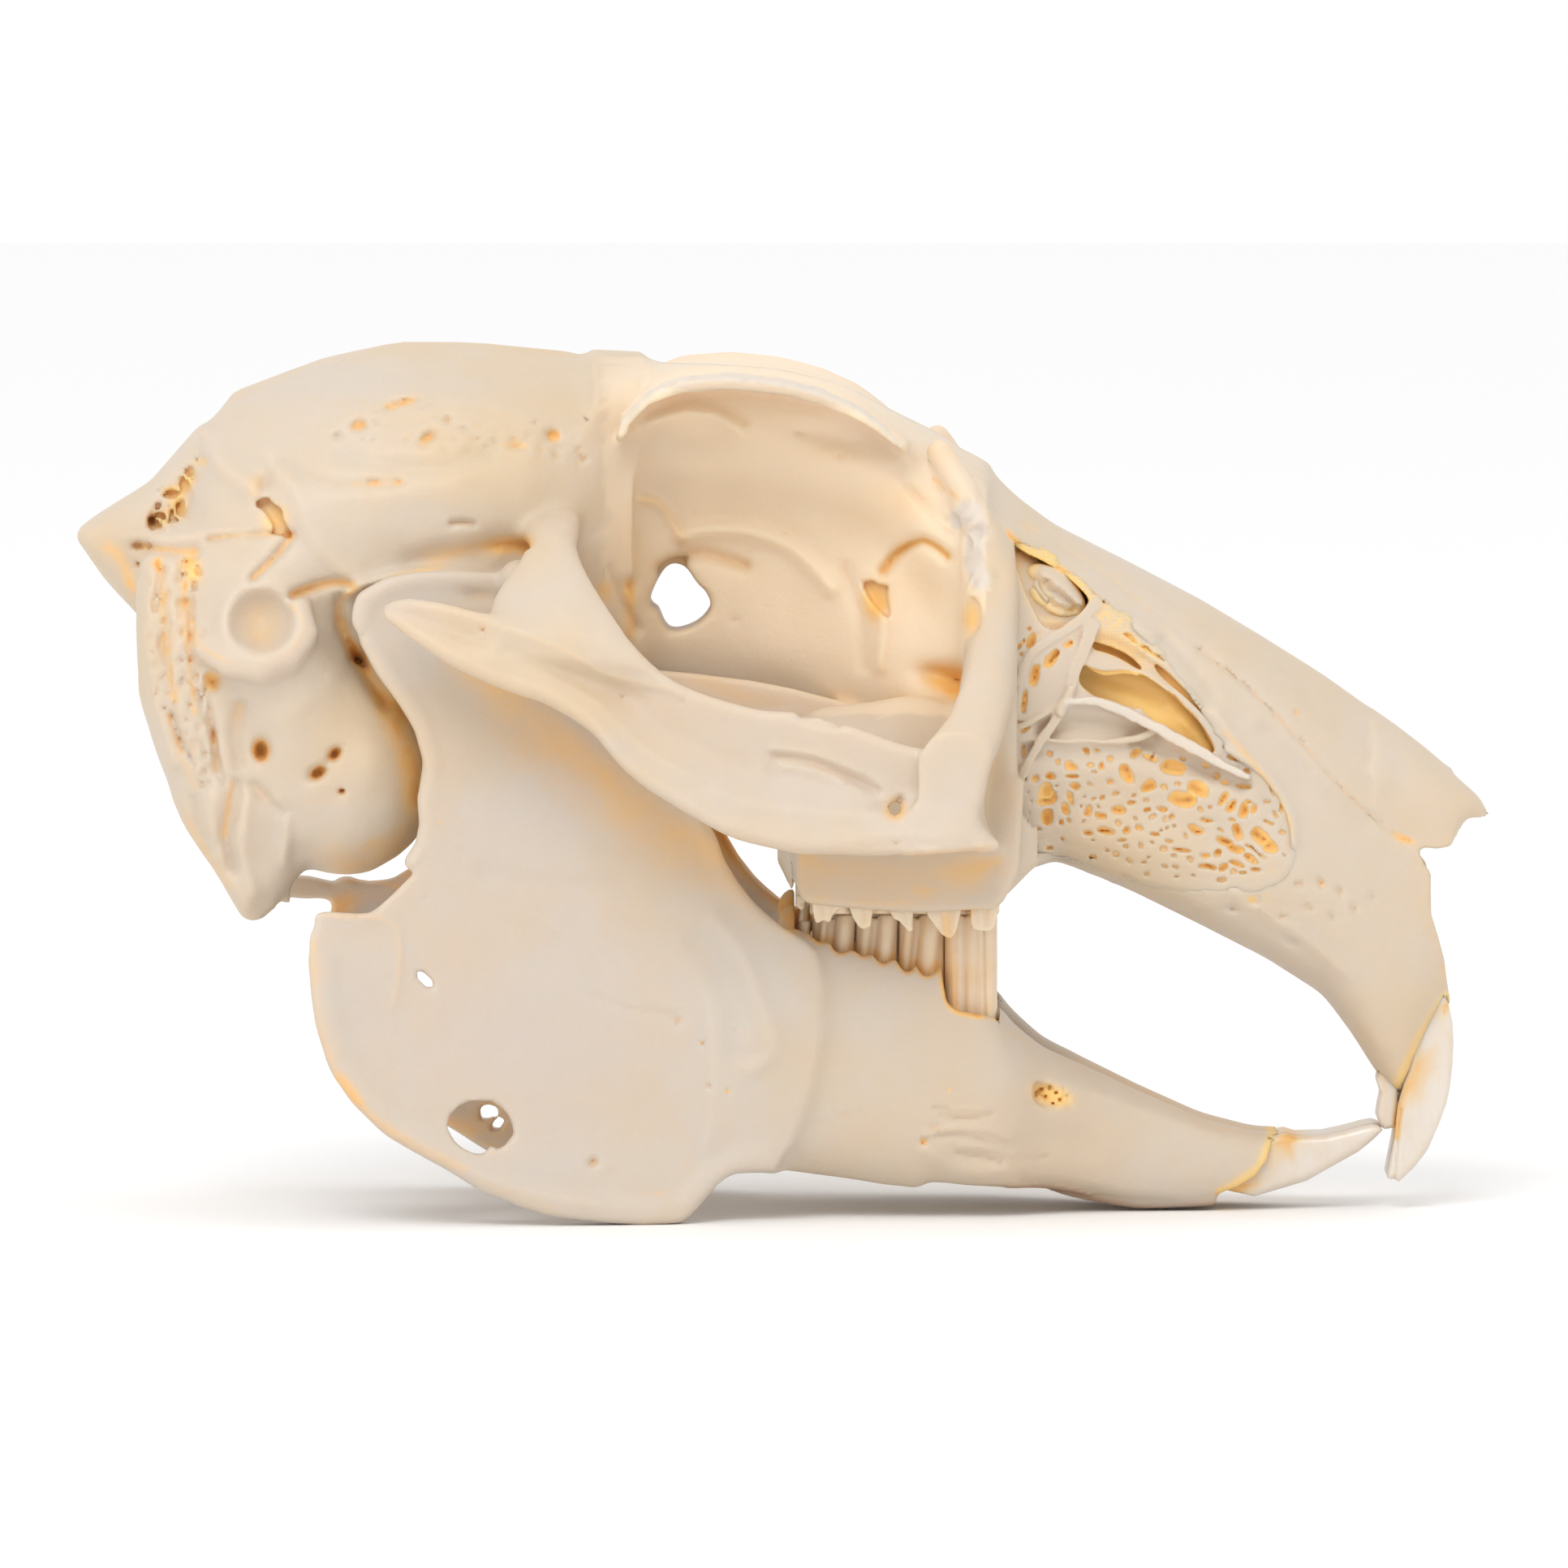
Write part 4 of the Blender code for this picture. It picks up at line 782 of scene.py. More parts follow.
# relief inside the orbit
ORBIT = [
    ('l', 11, 0.55, (768, 540), (806, 520), (849, 508), (883, 513), (914, 532)),
    ('s', 850, 545, 50, 22, 0, -0.6), ('s', 1030, 540, 60, 20, 15, -0.6), ('s', 985, 533, 8, 4, 0, -0.25),
    ('l', 13, 0.55, (836, 661), (879, 653), (926, 657), (972, 674), (1005, 703), (1023, 724)),
    ('l', 10, -0.5, (815, 700), (845, 686), (873, 683), (918, 697)),
    ('l', 7, 0.3, (793, 616), (813, 622), (829, 646), (843, 666)),
    ('l', 9, -0.55, (1088, 704), (1105, 683), (1131, 668), (1148, 671), (1168, 686)),
    ('s', 1140, 750, 44, 66, 0, -0.9), ('l', 9, 0.45, (1090, 752), (1087, 790), (1084, 822)),
    ('s', 1160, 832, 36, 18, 10, -1.4), ('s', 1180, 842, 18, 20, 0, -1.0),
    ('s', 1035, 562, 5, 4, 0, -0.3), ('s', 905, 765, 8, 6, 0, -0.15), ('s', 960, 800, 60, 40, 0, 0.25),
    ('l', 10, -0.35, (1040, 700), (1060, 760), (1064, 820)),
    ('l', 5, -0.2, (1105, 580), (1130, 610), (1165, 640)), ('l', 5, -0.2, (1120, 600), (1150, 640), (1170, 660)),
    ('s', 776, 720, 10, 12, 0, -0.4), ('l', 8, -0.35, (748, 700), (765, 740), (785, 775)),
]

# relief of the cheek arch, in the units of the drawing
ARCH_RELIEF = [
    ('l', 5, 0.14, (619, 773), (692, 799), (738, 826), (765, 836), (838, 852)),
    ('l', 12, -0.22, (625, 800), (690, 826), (735, 848), (790, 862)),
    ('s', 595, 775, 3, 3, 0, -0.4), ('s', 767, 857, 2.5, 2.5, 0, -0.35), ('s', 841, 865, 2.5, 2, 0, -0.3),
    ('s', 892, 889, 3, 2, 0, -0.35), ('s', 937, 945, 10, 12, 0, 0.16), ('s', 942, 957, 5, 5, 0, 0.12),
    ('s', 868, 967, 10, 6, 0, -0.18), ('l', 6, -0.3, (955, 930), (1000, 938), (1045, 956), (1080, 975)),
    ('l', 5, 0.2, (950, 922), (1000, 929), (1050, 946), (1092, 968)), ('l', 5, 0.16, (965, 945), (1010, 952), (1060, 975)),
    ('s', 1103, 998, 10, 12, 0, -0.9), ('s', 1110, 985, 7, 6, 0, -0.5), ('s', 1085, 992, 14, 10, 0, -0.3),
    ('l', 10, -0.35, (1110, 1062), (1150, 1060), (1200, 1052)), ('l', 4, -0.12, (1060, 1040), (1100, 1036), (1150, 1040)),
    ('s', 1104, 1040, 6, 3, 0, -0.3), ('l', 9, 0.22, (1120, 1052), (1160, 1048), (1205, 1046), (1228, 1042)),
    ('s', 1211, 1010, 12, 22, 0, -0.25), ('l', 5, -0.25, (985, 884), (1010, 892), (1035, 896)),
]

# snout: sutures, small openings
SNOUT_RELIEF = [
    ('l', 3.2, -0.22, (1476, 800), (1537, 848), (1591, 902), (1640, 958), (1675, 993), (1707, 1021), (1741, 1038)),
    ('l', 2.6, -0.12, (1250, 640), (1330, 690), (1400, 740), (1476, 800)),
    ('l', 14, -0.25, (1560, 900), (1620, 960), (1680, 1010)), ('l', 18, 0.18, (1500, 800), (1600, 880), (1700, 960)),
    ('l', 11, -0.5, (1432, 790), (1462, 822), (1490, 862)), ('l', 8, 0.25, (1400, 770), (1450, 812), (1500, 880), (1530, 930)),
    ('l', 7, 0.3, (1510, 925), (1556, 950), (1588, 1000), (1594, 1040)),
    ('s', 1597, 878, 4, 4, 0, -0.3), ('s', 1553, 800, 10, 5, 30, -0.12), ('s', 1348, 683, 2.2, 2.2, 0, -0.25),
    ('s', 1575, 1076, 8, 5, 20, -0.5), ('s', 1600, 1090, 7, 4, 20, -0.45), ('s', 1628, 1088, 5, 9, -30, -0.45),
    ('s', 1545, 1110, 9, 5, 10, -0.4), ('s', 1580, 1130, 8, 4, 25, -0.35), ('s', 1612, 1118, 7, 4, 35, -0.35),
    ('s', 1650, 1098, 4, 9, -25, -0.35), ('s', 1668, 1120, 4, 8, -20, -0.3), ('s', 1590, 1160, 8, 4, 30, -0.3),
    ('s', 1640, 1130, 5, 8, -20, -0.25), ('s', 1518, 1120, 8, 4, 10, -0.35), ('s', 1690, 1105, 4, 8, -10, -0.25),
    ('l', 3, -0.3, (1784, 1240), (1762, 1260), (1755, 1291), (1751, 1315), (1742, 1343), (1726, 1359), (1721, 1376)),
    ('l', 9, 0.15, (1520, 1100), (1600, 1150), (1660, 1200)), ('l', 16, -0.2, (1300, 1075), (1380, 1100), (1460, 1130)),
]


def window(a, lo, hi, soft=0.5):
    return np.clip((a - lo) / soft, 0, 1) * np.clip((hi - a) / soft, 0, 1)


def press(F, items, box, a0, a1, scale=1.0, grain=0.0, seed=5, soft=0.5):
    """Work a relief into whatever bone lies between two depths."""
    mp = line_map(items, (box[0] - 4, box[1] + 4, box[2] - 4, box[3] + 4))
    edge = 24.0
    du = np.clip(np.minimum(mp.u - box[0], box[1] - mp.u) / edge, 0, 1)
    dv = np.clip(np.minimum(mp.v - box[2], box[3] - mp.v) / edge, 0, 1)
    mp.m = mp.m * np.clip(du * 4, 0, 1) * np.clip(dv * 4, 0, 1)
    sl = F.uvbox(box[0], box[1], box[2], box[3], a0, a1, 0.5)
    U, V = F.uv(sl)
    _, a, _ = F.xyz(sl)
    d = -mp(U, V) * scale
    if grain:
        d = d + grain * F.noise(sl, 0.8, seed)
    F.f[sl] += (d * window(a, a0, a1, soft)).astype(np.float32)


def face_at(F, u, v, top=20.5):
    """Depth of the outermost bone at a spot of the drawing."""
    a = np.arange(0.5, top, 0.1)
    pts = np.array([pa(u, v, q) for q in a])
    val = sample(F.f, (F.x[0], F.a[0], F.z[0]), F.h, pts)
    hit = np.flatnonzero(val < 0)
    return float(a[hit[-1]]) if len(hit) else 0.0


def outer_face(F, sl, a1):
    """Depth of the outermost bone short of a1, over the x and z of a box."""
    n = int(np.searchsorted(F.a, a1))
    f = F.f[sl[0], :n, sl[2]]
    solid = f < 0
    k = n - 1 - np.argmax(solid[:, ::-1], 1)
    i, m = np.indices(k.shape)
    f0, f1 = f[i, k, m], f[i, np.minimum(k + 1, n - 1), m]
    t = np.clip(-f0 / np.maximum(f1 - f0, 1e-3), 0, 1)
    return np.where(solid.any(1), F.a[0] + F.h * (k + t), 0.0)[:, None, :].astype(np.float32)


def carve(F, outline, lo, a1, deep, k=0.2):
    """Sunken patch bounded by an outline, so many mm below the face."""
    p = np.asarray(outline, float)
    mp = polygon_map(outline, 50, 1.0)
    sl = F.uvbox(p[:, 0].min() - 4, p[:, 0].max() + 4, p[:, 1].min() - 4, p[:, 1].max() + 4, lo, a1, 0.5)
    _, a, _ = F.xyz(sl)
    d = mp(*F.uv(sl)) * GRID
    F.cut(sl, np.maximum(d, np.maximum(outer_face(F, sl, a1) - deep - a, a - a1)), k)


def drill(F, items, a0, a1, k=0.15, deep=None):
    """Openings: (u, v, ru, rv, degrees) from depth a0 to a1, or pits so many mm deep."""
    low = a0
    for u, v, ru, rv, deg in items:
        r = max(ru, rv)
        sl = F.uvbox(u - r, u + r, v - r, v + r, low, a1, 0.8)
        U, V = F.uv(sl)
        _, a, _ = F.xyz(sl)
        c, s = math.cos(math.radians(deg)), math.sin(math.radians(deg))
        p, q = ((U - u) * c + (V - v) * s) / ru, (-(U - u) * s + (V - v) * c) / rv
        g = np.sqrt(p * p + q * q)
        if deep:
            a0 = outer_face(F, sl, a1) - deep * (1 - 0.4 * np.minimum(g * g, 1))
        d = (g - 1) * min(ru, rv) * GRID
        F.cut(sl, np.maximum(d, np.maximum(a0 - a, a - a1)), k)


def cranium_field():
    F = Field((-41.2, 0.0, 4.4), (41.2, 21.5, 49.6), H_CRANIUM)
    F.add(*F.xloft(BRAINCASE))
    F.add(*F.xloft(FRONTAL), 2.0)
    F.add(*F.xloft(SEPTUM), 2.2)
    F.add(*F.xloft(SNOUT, 0.35), 1.2)
    F.add(*F.xloft(BOSS, 0.25), 1.0)
    # the pair of bones over the braincase joins in a low ridge
    F.add(*F.tube([pa(u, v + 9, 0.0) for u, v in ((300, 484), (400, 448), (500, 428), (600, 431), (690, 441))], 0.42), 1.4)
    # wings over the orbits: root, middle, rim
    rows = []
    for u, y_in, y_out, v_out, r in ((764, 9.6, 11.6, 521, 0.26), (780, 8.6, 12.1, 500, 0.34),
                                     (803, 6.5, 12.9, 479, 0.36), (838, 4.6, 13.6, 467, 0.36),
                                     (900, 4.4, 14.0, 463, 0.36), (960, 4.4, 14.0, 469, 0.36),
                                     (1012, 4.6, 13.7, 482, 0.36), (1060, 5.2, 13.0, 502, 0.36),
                                     (1094, 6.4, 12.2, 527, 0.34), (1118, 7.6, 11.5, 549, 0.28)):
        rise = (y_out - y_in) * 0.06 / GRID
        drop = r / GRID
        mid = (y_in + y_out) / 2
        rows.append((u, (v_out + drop + 2 - rise * 0.2, y_in, 0.55), (v_out + drop - rise * 0.8, mid, 0.42),
                     (v_out + drop + 2, y_out - r, r)))
    F.add(*F.xbar(rows, 0.3), 0.9)
    # tooth-bearing bone
    rows = []
    for u, v0, v1, y0, y1 in ((958, 930, 1050, 6.8, 10.2), (976, 890, 1106, 5.9, 11.4), (1010, 872, 1114, 5.7, 11.8),
                              (1070, 866, 1121, 5.6, 11.9), (1110, 858, 1124, 5.6, 12.0), (1150, 858, 1124, 5.6, 11.9),
                              (1190, 872, 1117, 5.4, 11.6), (1214, 890, 1118, 5.3, 11.2), (1234, 900, 1108, 5.2, 10.9),
                              (1252, 930, 1090, 5.2, 10.2), (1278, 960, 1062, 5.4, 9.4)):
        rows.append((u, v0, v0 + (v1 - v0) * 0.5, v1, (y1 - y0) / 2, 2.6, 5.0, (y0 + y1) / 2))
    F.add(*F.xloft(rows, 0.4), 1.0)
    F.add(*F.xloft([(1136, 1000, 1050, 1088, 6.6, 4, 4, 0), (1190, 1000, 1050, 1086, 6.6, 4, 4, 0),
                    (1246, 1000, 1040, 1074, 6.4, 4, 4, 0)]), 0.5)
    # front root of the arch
    F.add(*F.yloft([(7.4, 1170, 1262, 640, 1060, 4.0), (9.8, 1178, 1256, 668, 1058, 4.0),
                    (12.4, 1186, 1250, 742, 1050, 3.6), (14.4, 1188, 1247, 780, 1048, 3.4),
                    (16.4, 1178, 1243, 826, 1047, 3.2), (17.8, 1160, 1236, 868, 1046, 3.0),
                    (19.0, 1130, 1224, 905, 1044, 3.0)]), 1.0)
    # front rim of the orbit, a rounded bar
    F.add(*F.tube([pa(1158, 556, 8.6), pa(1186, 600, 9.2), pa(1214, 660, 9.9), pa(1224, 720, 10.8),
                   pa(1222, 790, 13.0), pa(1216, 860, 15.4), pa(1213, 930, 17.2)],
                  (0.7, 0.8, 0.9, 0.95, 1.0, 1.05, 1.1)), 1.2)
    F.add(*arch_keys(F), 0.9)
    # hind root of the arch
    keys = []
    for y, hind, fore, tz, ty in ((9.8, (636, 654), (712, 640), 1.0, 0.3), (11.6, (640, 662), (714, 648), 1.0, 0.3),
                                  (13.8, (644, 676), (710, 668), 0.9, 0.45), (16.2, (630, 708), (716, 698), 0.75, 0.6),
                                  (18.2, (606, 750), (744, 746), 0.55, 0.75), (19.3, (600, 785), (772, 786), 0.5, 0.7),
                                  (19.7, (600, 812), (790, 822), 0.5, 0.62)):
        p, q = pa(*hind, y), pa(*fore, y)
        keys.append(((p + q) / 2, (q - p) / 2, np.array((0, ty, tz))))
    F.add(*F.sweep(keys, 40), 0.8)
    # ear: bulla, tube, mastoid
    F.add(*F.ellipsoid(pa(424, 945, 8.3), (5.3, 4.3, 6.1)), 0.5)
    F.add(*F.ellipsoid(pa(352, 930, 8.6), (4.2, 3.6, 5.6)), 1.2)
    F.add(*F.tube([pa(388, 905, 8.2), pa(352, 842, 10.0), pa(322, 778, 12.7)], (4.5, 4.0, 2.95)), 1.6)
    keys = []
    for v, u0, u1, y0, y1 in ((650, 196, 306, 6.2, 10.4), (700, 172, 314, 6.0, 12.5), (780, 170, 322, 5.8, 13.1),
                              (860, 174, 334, 5.6, 12.9), (940, 198, 348, 5.6, 12.3), (1010, 225, 368, 6.2, 11.9),
                              (1060, 258, 372, 7.0, 11.2), (1096, 282, 352, 8.0, 10.7), (1124, 300, 326, 8.8, 10.0)):
        c = at((u0 + u1) / 2, v, (y0 + y1) / 2) * (1, -1, 1)
        keys.append((c, np.array(((u1 - u0) / 2 * GRID, 0, 0)), np.array((0, (y1 - y0) / 2, 0))))
    F.add(*F.sweep(keys, 44, 2.6), 0.9)
    F.add(*F.ellipsoid(pa(268, 786, 10.9), (3.0, 2.3, 2.6)), 1.4)
    F.add(*F.ellipsoid(pa(322, 712, 11.4), (3.0, 2.2, 1.8)), 1.6)
    F.add(*F.tube([pa(236, 766, 12.6), pa(252, 796, 13.5), pa(283, 815, 14.5), pa(320, 820, 14.9), pa(354, 806, 14.7), pa(374, 778, 14.2),
                   pa(366, 748, 13.6)], (0.6, 0.8, 0.9, 0.95, 0.9, 0.8, 0.6)), 0.7)
    # small prongs below the mastoid
    F.add(*F.tube([pa(312, 1100, 9.6), pa(311, 1122, 9.4)], (0.8, 0.3)), 0.3)
    F.add(*F.tube([pa(330, 1080, 9.9), pa(327, 1110, 9.7), pa(333, 1114, 9.7)], (0.7, 0.35, 0.25)), 0.3)
    F.add(*F.tube([pa(338, 1070, 9.5), pa(347, 1100, 9.2), pa(353, 1107, 9.2)], (0.8, 0.4, 0.22)), 0.3)
    F.add(*F.ellipsoid(pa(226, 850, 4.6), (2.1, 1.7, 2.8)), 0.6)
    # wings under the skull, behind the palate
    wing = polygon_map(chaikin([(1150, 1070), (1150, 900), (960, 840), (700, 815), (690, 880), (716, 955),
                                (760, 992), (800, 968), (900, 960), (1000, 985), (1060, 1040)], 2))
    F.add(*F.plate(wing, 4.7, 3.7, 0.25), 0.6)
    # nose tip
    F.add(*F.xloft(NASAL_TIP, 0.15), 0.5)
    D = snout_face(F)

    # ---- hollows
    F.cut(*F.xloft(BRAIN_CAVITY), 0.4)
    F.cut(*F.tube([pa(60, 788, 0), pa(330, 788, 0)], 3.6), 0.4)
    F.cut(*F.xloft(NASAL_CAVITY, 0.4), 0.3)
    nose = polygon_map([(1752, 1044), (1749, 1050), (1754, 1064), (1763, 1075), (1763, 1126), (1773, 1158), (1779, 1180),
                        (1786, 1230), (1960, 1250), (1960, 940), (1850, 1020), (1833, 1019), (1824, 1011), (1814, 1008),
                        (1804, 1013), (1798, 1035), (1791, 1042), (1771, 1046)])
    sl = F.uvbox(1740, 1960, 930, 1260, 0, 6, 0.5)
    F.cut(sl, nose(*F.uv(sl)) * GRID, 0.1)
    F.cut(*F.xloft([(1700, 920, 1015, 1100, 3.7, 2.2, 2.2), (1768, 962, 1030, 1096, 3.5, 2.2, 2.2),
                    (1800, 986, 1040, 1090, 2.9, 2.2, 2.2), (1850, 1030, 1060, 1090, 1.6, 2.2, 2.2)]), 0.2)
    F.cut(*F.xloft([(1250, 960, 985, 1010, 3.2, 3, 3), (1180, 940, 965, 990, 3.2, 3, 3), (1120, 930, 1000, 1080, 3.3, 3, 3),
                    (1040, 930, 1000, 1120, 3.3, 3, 3), (950, 925, 1000, 1120, 3.3, 3, 3)]), 0.4)
    F.cut(*F.ellipsoid(pa(320, 762, 16.0), ((2.05, 0, 0.3), (0, 3.0, 0), (-0.3, 0, 1.95))), 0.5)
    # see-through opening at the back of the orbit
    om = polygon_map(chaikin(OPTIC, 1))
    sl = F.uvbox(795, 883, 688, 785, 0, 9.5, 0.5)
    F.cut(sl, om(*F.uv(sl)) * GRID, 0.5)
    # palate slots
    for_slot = [(1262, 1000, 1060, 1120, 0.8, 3, 3, 1.75), (1300, 1000, 1060, 1160, 1.2, 3, 3, 1.75),
                (1480, 1040, 1120, 1240, 1.1, 3, 3, 1.75), (1540, 1060, 1140, 1280, 0.6, 3, 3, 1.75)]
    F.cut(*F.xloft(for_slot), 0.3)
    head = pa(640, 716, 13.2)
    F.cut(*F.tube([head - (0, 0.7, 0), head + (0, 1.9, 0)], 1.5), 0.4)
    # the pillar in front of the orbit draws back below
    F.cut(*F.plate(polygon_map(chaikin([(1262, 850), (1247, 880), (1234, 912), (1220, 948), (1212, 985), (1213, 1012), (1224, 1032),
                                        (1236, 1040), (1300, 1044), (1300, 850)], 1)), 21.0, 11.6, 0.05), 0.8)
    wall = polygon_map([(980, 960), (981, 1085), (986, 1106), (996, 1113), (1040, 1117), (1100, 1121), (1150, 1123), (1200, 1121), (1224, 1121),
                        (1236, 1110), (1246, 1092), (1256, 1070), (1262, 960)])
    F.add(*F.plate(wall, 11.75, 10.6, 0.35), 0.5)
    # sockets; the front of the bone stops where the incisors leave it
    F.cut(*F.plate([(978, 990), (1231, 990), (1231, 1200), (978, 1200)], 11.0, 6.2, 0.1), 0.1)
    F.cut(*F.plate(grown(polygon_map(UPPER_INCISOR, 50, 1.0), -0.03), 2.63, 0.18, 0.42), 0.03)
    F.cut(*F.plate(grown(polygon_map(PEG, 50, 1.0), -0.03), 1.87, 0.45, 0.3), 0.03)
    front = polygon_map([(1690, 1321), (1700, 1322), (1704, 1331), (1709, 1343), (1714, 1351), (1721, 1364), (1734, 1352), (1743, 1342),
                         (1751, 1321), (1754, 1296), (1760, 1285), (1764, 1261), (1774, 1249), (1785, 1238), (1800, 1236),
                         (1900, 1236), (1900, 1540), (1600, 1540), (1600, 1322)], 50, 1.0)
    sl = F.uvbox(1660, 1830, 1225, 1470, 0, 7, 0.5)
    F.cut(sl, front(*F.uv(sl)) * GRID, 0.12)
    open_snout(F, D)

    # ---- relief
    press(F, SIDE, (98, 770, 470, 1135), 4.6, 15.6, grain=0.035)
    press(F, ORBIT, (745, 1210, 480, 900), 1.0, 13.2)
    press(F, ARCH_RELIEF, (470, 1236, 730, 1070), 16.8, 21.5, grain=0.02, seed=8)
    press(F, SNOUT_RELIEF, (1215, 1800, 600, 1390), 3.0, 12.0, grain=0.012, seed=9)
    # cells of the broken occiput
    webs = [[pa(u, v, face_at(F, u, v) - 0.22) for u, v in line] for line in WEBS]
    drill(F, [(195, 643, 13, 14, 0)], 3.2, 16, 0.12, 1.3)
    drill(F, [(220, 628, 11, 15, 0), (210, 607, 12, 7.5, 0), (231, 592, 9, 18, 20)], 3.2, 16, 0.14, 0.85)
    drill(F, [(250, 569, 10, 6, 20), (196, 624, 6, 5, 0), (216, 650, 4, 4, 0), (212, 640, 4, 5, 0), (171, 672, 9, 5, 0), (187, 673, 6, 4, 0),
              (240, 706, 9, 12, -15), (228, 696, 5, 6, 0), (236, 690, 8, 5, 0), (240, 724, 4, 6, 0), (226, 708, 4, 4, 0), (170, 695, 3, 4, 0)], 3.2, 16, 0.12, 0.6)
    for line in webs:
        F.add(*F.tube(line, 0.15), 0.1)
    drill(F, MASTOID_PITS, 4.0, 16, 0.16, 0.3)
    drill(F, ROOF_PITS, 4.0, 16, 0.14, 0.22)
    drill(F, [(322, 925, 8, 12, 0), (392, 952, 10, 6, -35), (412, 929, 9, 5.5, -50), (421, 975, 3.5, 3.5, 0)], 8.0, 16, 0.2, 0.75)
    drill(F, [(493, 497, 13, 4.6, -16), (442, 524, 11, 6.5, -12), (526, 540, 12, 5, -32), (682, 537, 7, 7, 20), (685, 562, 3.5, 3.5, 0),
              (465, 506, 4, 2.4, 0), (552, 518, 3, 4, 0), (461, 595, 9, 3, 0), (491, 595, 5, 2.4, 0), (719, 565, 4, 3, 0)], 8.0, 16, 0.22, 0.34)
    carve(F, FISSURE, 6, 15, 1.0, 0.12)
    # olive opening in the front rim, slit of the inner wall
    drill(F, [(1197, 760, 12, 23, 4)], 7.4, 15, 0.3, 1.3)
    carve(F, [(1062, 718), (1075, 715), (1082, 720), (1094, 722), (1093, 738), (1098, 758), (1092, 762), (1072, 738)], 1.5, 10, 0.8, 0.3)
    return F, D


def rough(F, items, radius, a0, a1, cell, height, seed):
    """Coarse grain along lines of the drawing."""
    for pts in items:
        p = np.asarray(pts, float)
        mp = line_map([('l', radius, 1.0, *[tuple(q) for q in p])],
                      (p[:, 0].min() - 60, p[:, 0].max() + 60, p[:, 1].min() - 60, p[:, 1].max() + 60))
        sl = F.uvbox(p[:, 0].min() - 30, p[:, 0].max() + 30, p[:, 1].min() - 30, p[:, 1].max() + 30, a0, a1, 0.3)
        U, V = F.uv(sl)
        _, a, _ = F.xyz(sl)
        n = np.abs(F.noise(sl, cell, seed)) - 0.35
        F.f[sl] += (n * height * mp(U, V) * window(a, a0, a1)).astype(np.float32)


WING_RIM = [(764, 521), (780, 500), (803, 480), (838, 467), (900, 463), (960, 469), (1012, 482), (1060, 502), (1094, 527), (1118, 549)]
KNOB = [(1180, 640), (1196, 628), (1204, 650), (1200, 690), (1208, 715)]


# ================================================================= mandibles
def other(u, v, a=15.2):
    """Own-side reading of a spot of the left side that shows at (u, v) seen from the right."""
    rx, rz = (u - MID) * GRID / DIST, (MID - v) * GRID / DIST
    t = (a - EYE_Y) / (CP + SP * rz)
    q = drawing_of(np.array([[rx * t + SHX, a, EYE_Z + (CP * rz - SP) * t + SHZ]]))
    return float(q[0][0]), float(q[1][0])


JAW_TOP = [(445, 790), (434, 768), (436, 744), (448, 730), (470, 717), (500, 708), (548, 704), (610, 708), (650, 706),
           (686, 716), (706, 742), (744, 806), (800, 895), (840, 965), (880, 1030), (890, 1060), (905, 1085), (925, 1110),
           (945, 1130), (985, 1155), (1010, 1180), (1010, 1300), (962, 1440), (930, 1438), (900, 1442), (885, 1452),
           (860, 1480), (847, 1497), (833, 1505), (790, 1506), (751, 1504), (679, 1496), (633, 1480), (590, 1462),
           (554, 1440), (519, 1421), (476, 1396), (436, 1356), (408, 1317), (392, 1264), (388, 1241)]
NEAR_ANGLE = [(382, 1181), (381, 1160), (383, 1150), (388, 1140), (388, 1130), (391, 1126), (398, 1124), (409, 1124), (430, 1126), (451, 1126),
              (461, 1122), (483, 1103), (504, 1081), (518, 1070), (532, 1045), (537, 1016), (534, 984), (524, 936),
              (512, 895), (489, 860), (464, 828)]
FAR_ANGLE = [other(*q) for q in ((410, 1160), (410, 1126), (409, 1107), (395, 1105), (376, 1106), (355, 1104), (345, 1110),
                                 (340, 1096), (340, 1081), (362, 1079), (386, 1080), (412, 1087), (420, 1081), (429, 1079),
                                 (444, 1084), (461, 1085), (483, 1080), (504, 1067), (526, 1052), (540, 1030))] \
    + [(541, 1016), (538, 984), (526, 936), (512, 895), (489, 860), (464, 828)]
# (u, v, offset of the outer face from a plain slant, thickness)
SHEET = [(620, 1250, -.35, .62), (500, 1250, -.15, .66), (430, 1250, .12, 1.0), (395, 1250, .3, 1.4), (450, 1360, .25, 1.4),
         (560, 1430, .3, 1.5), (700, 1480, .3, 1.7), (830, 1490, .25, 1.8), (700, 1420, 0, 1.0), (560, 1360, -.1, .75),
         (800, 1380, -.2, .85), (850, 1250, -.15, 1.0), (920, 1250, .25, 1.8), (700, 1100, -.3, .8), (600, 1000, -.2, .85),
         (560, 900, 0, 1.0), (540, 800, 0, 1.2), (500, 740, .1, 1.2), (640, 760, -.1, 1.0), (760, 900, 0, 1.0),
         (860, 1040, .1, 1.2), (960, 1150, .2, 1.6), (960, 1400, .1, 1.6)]
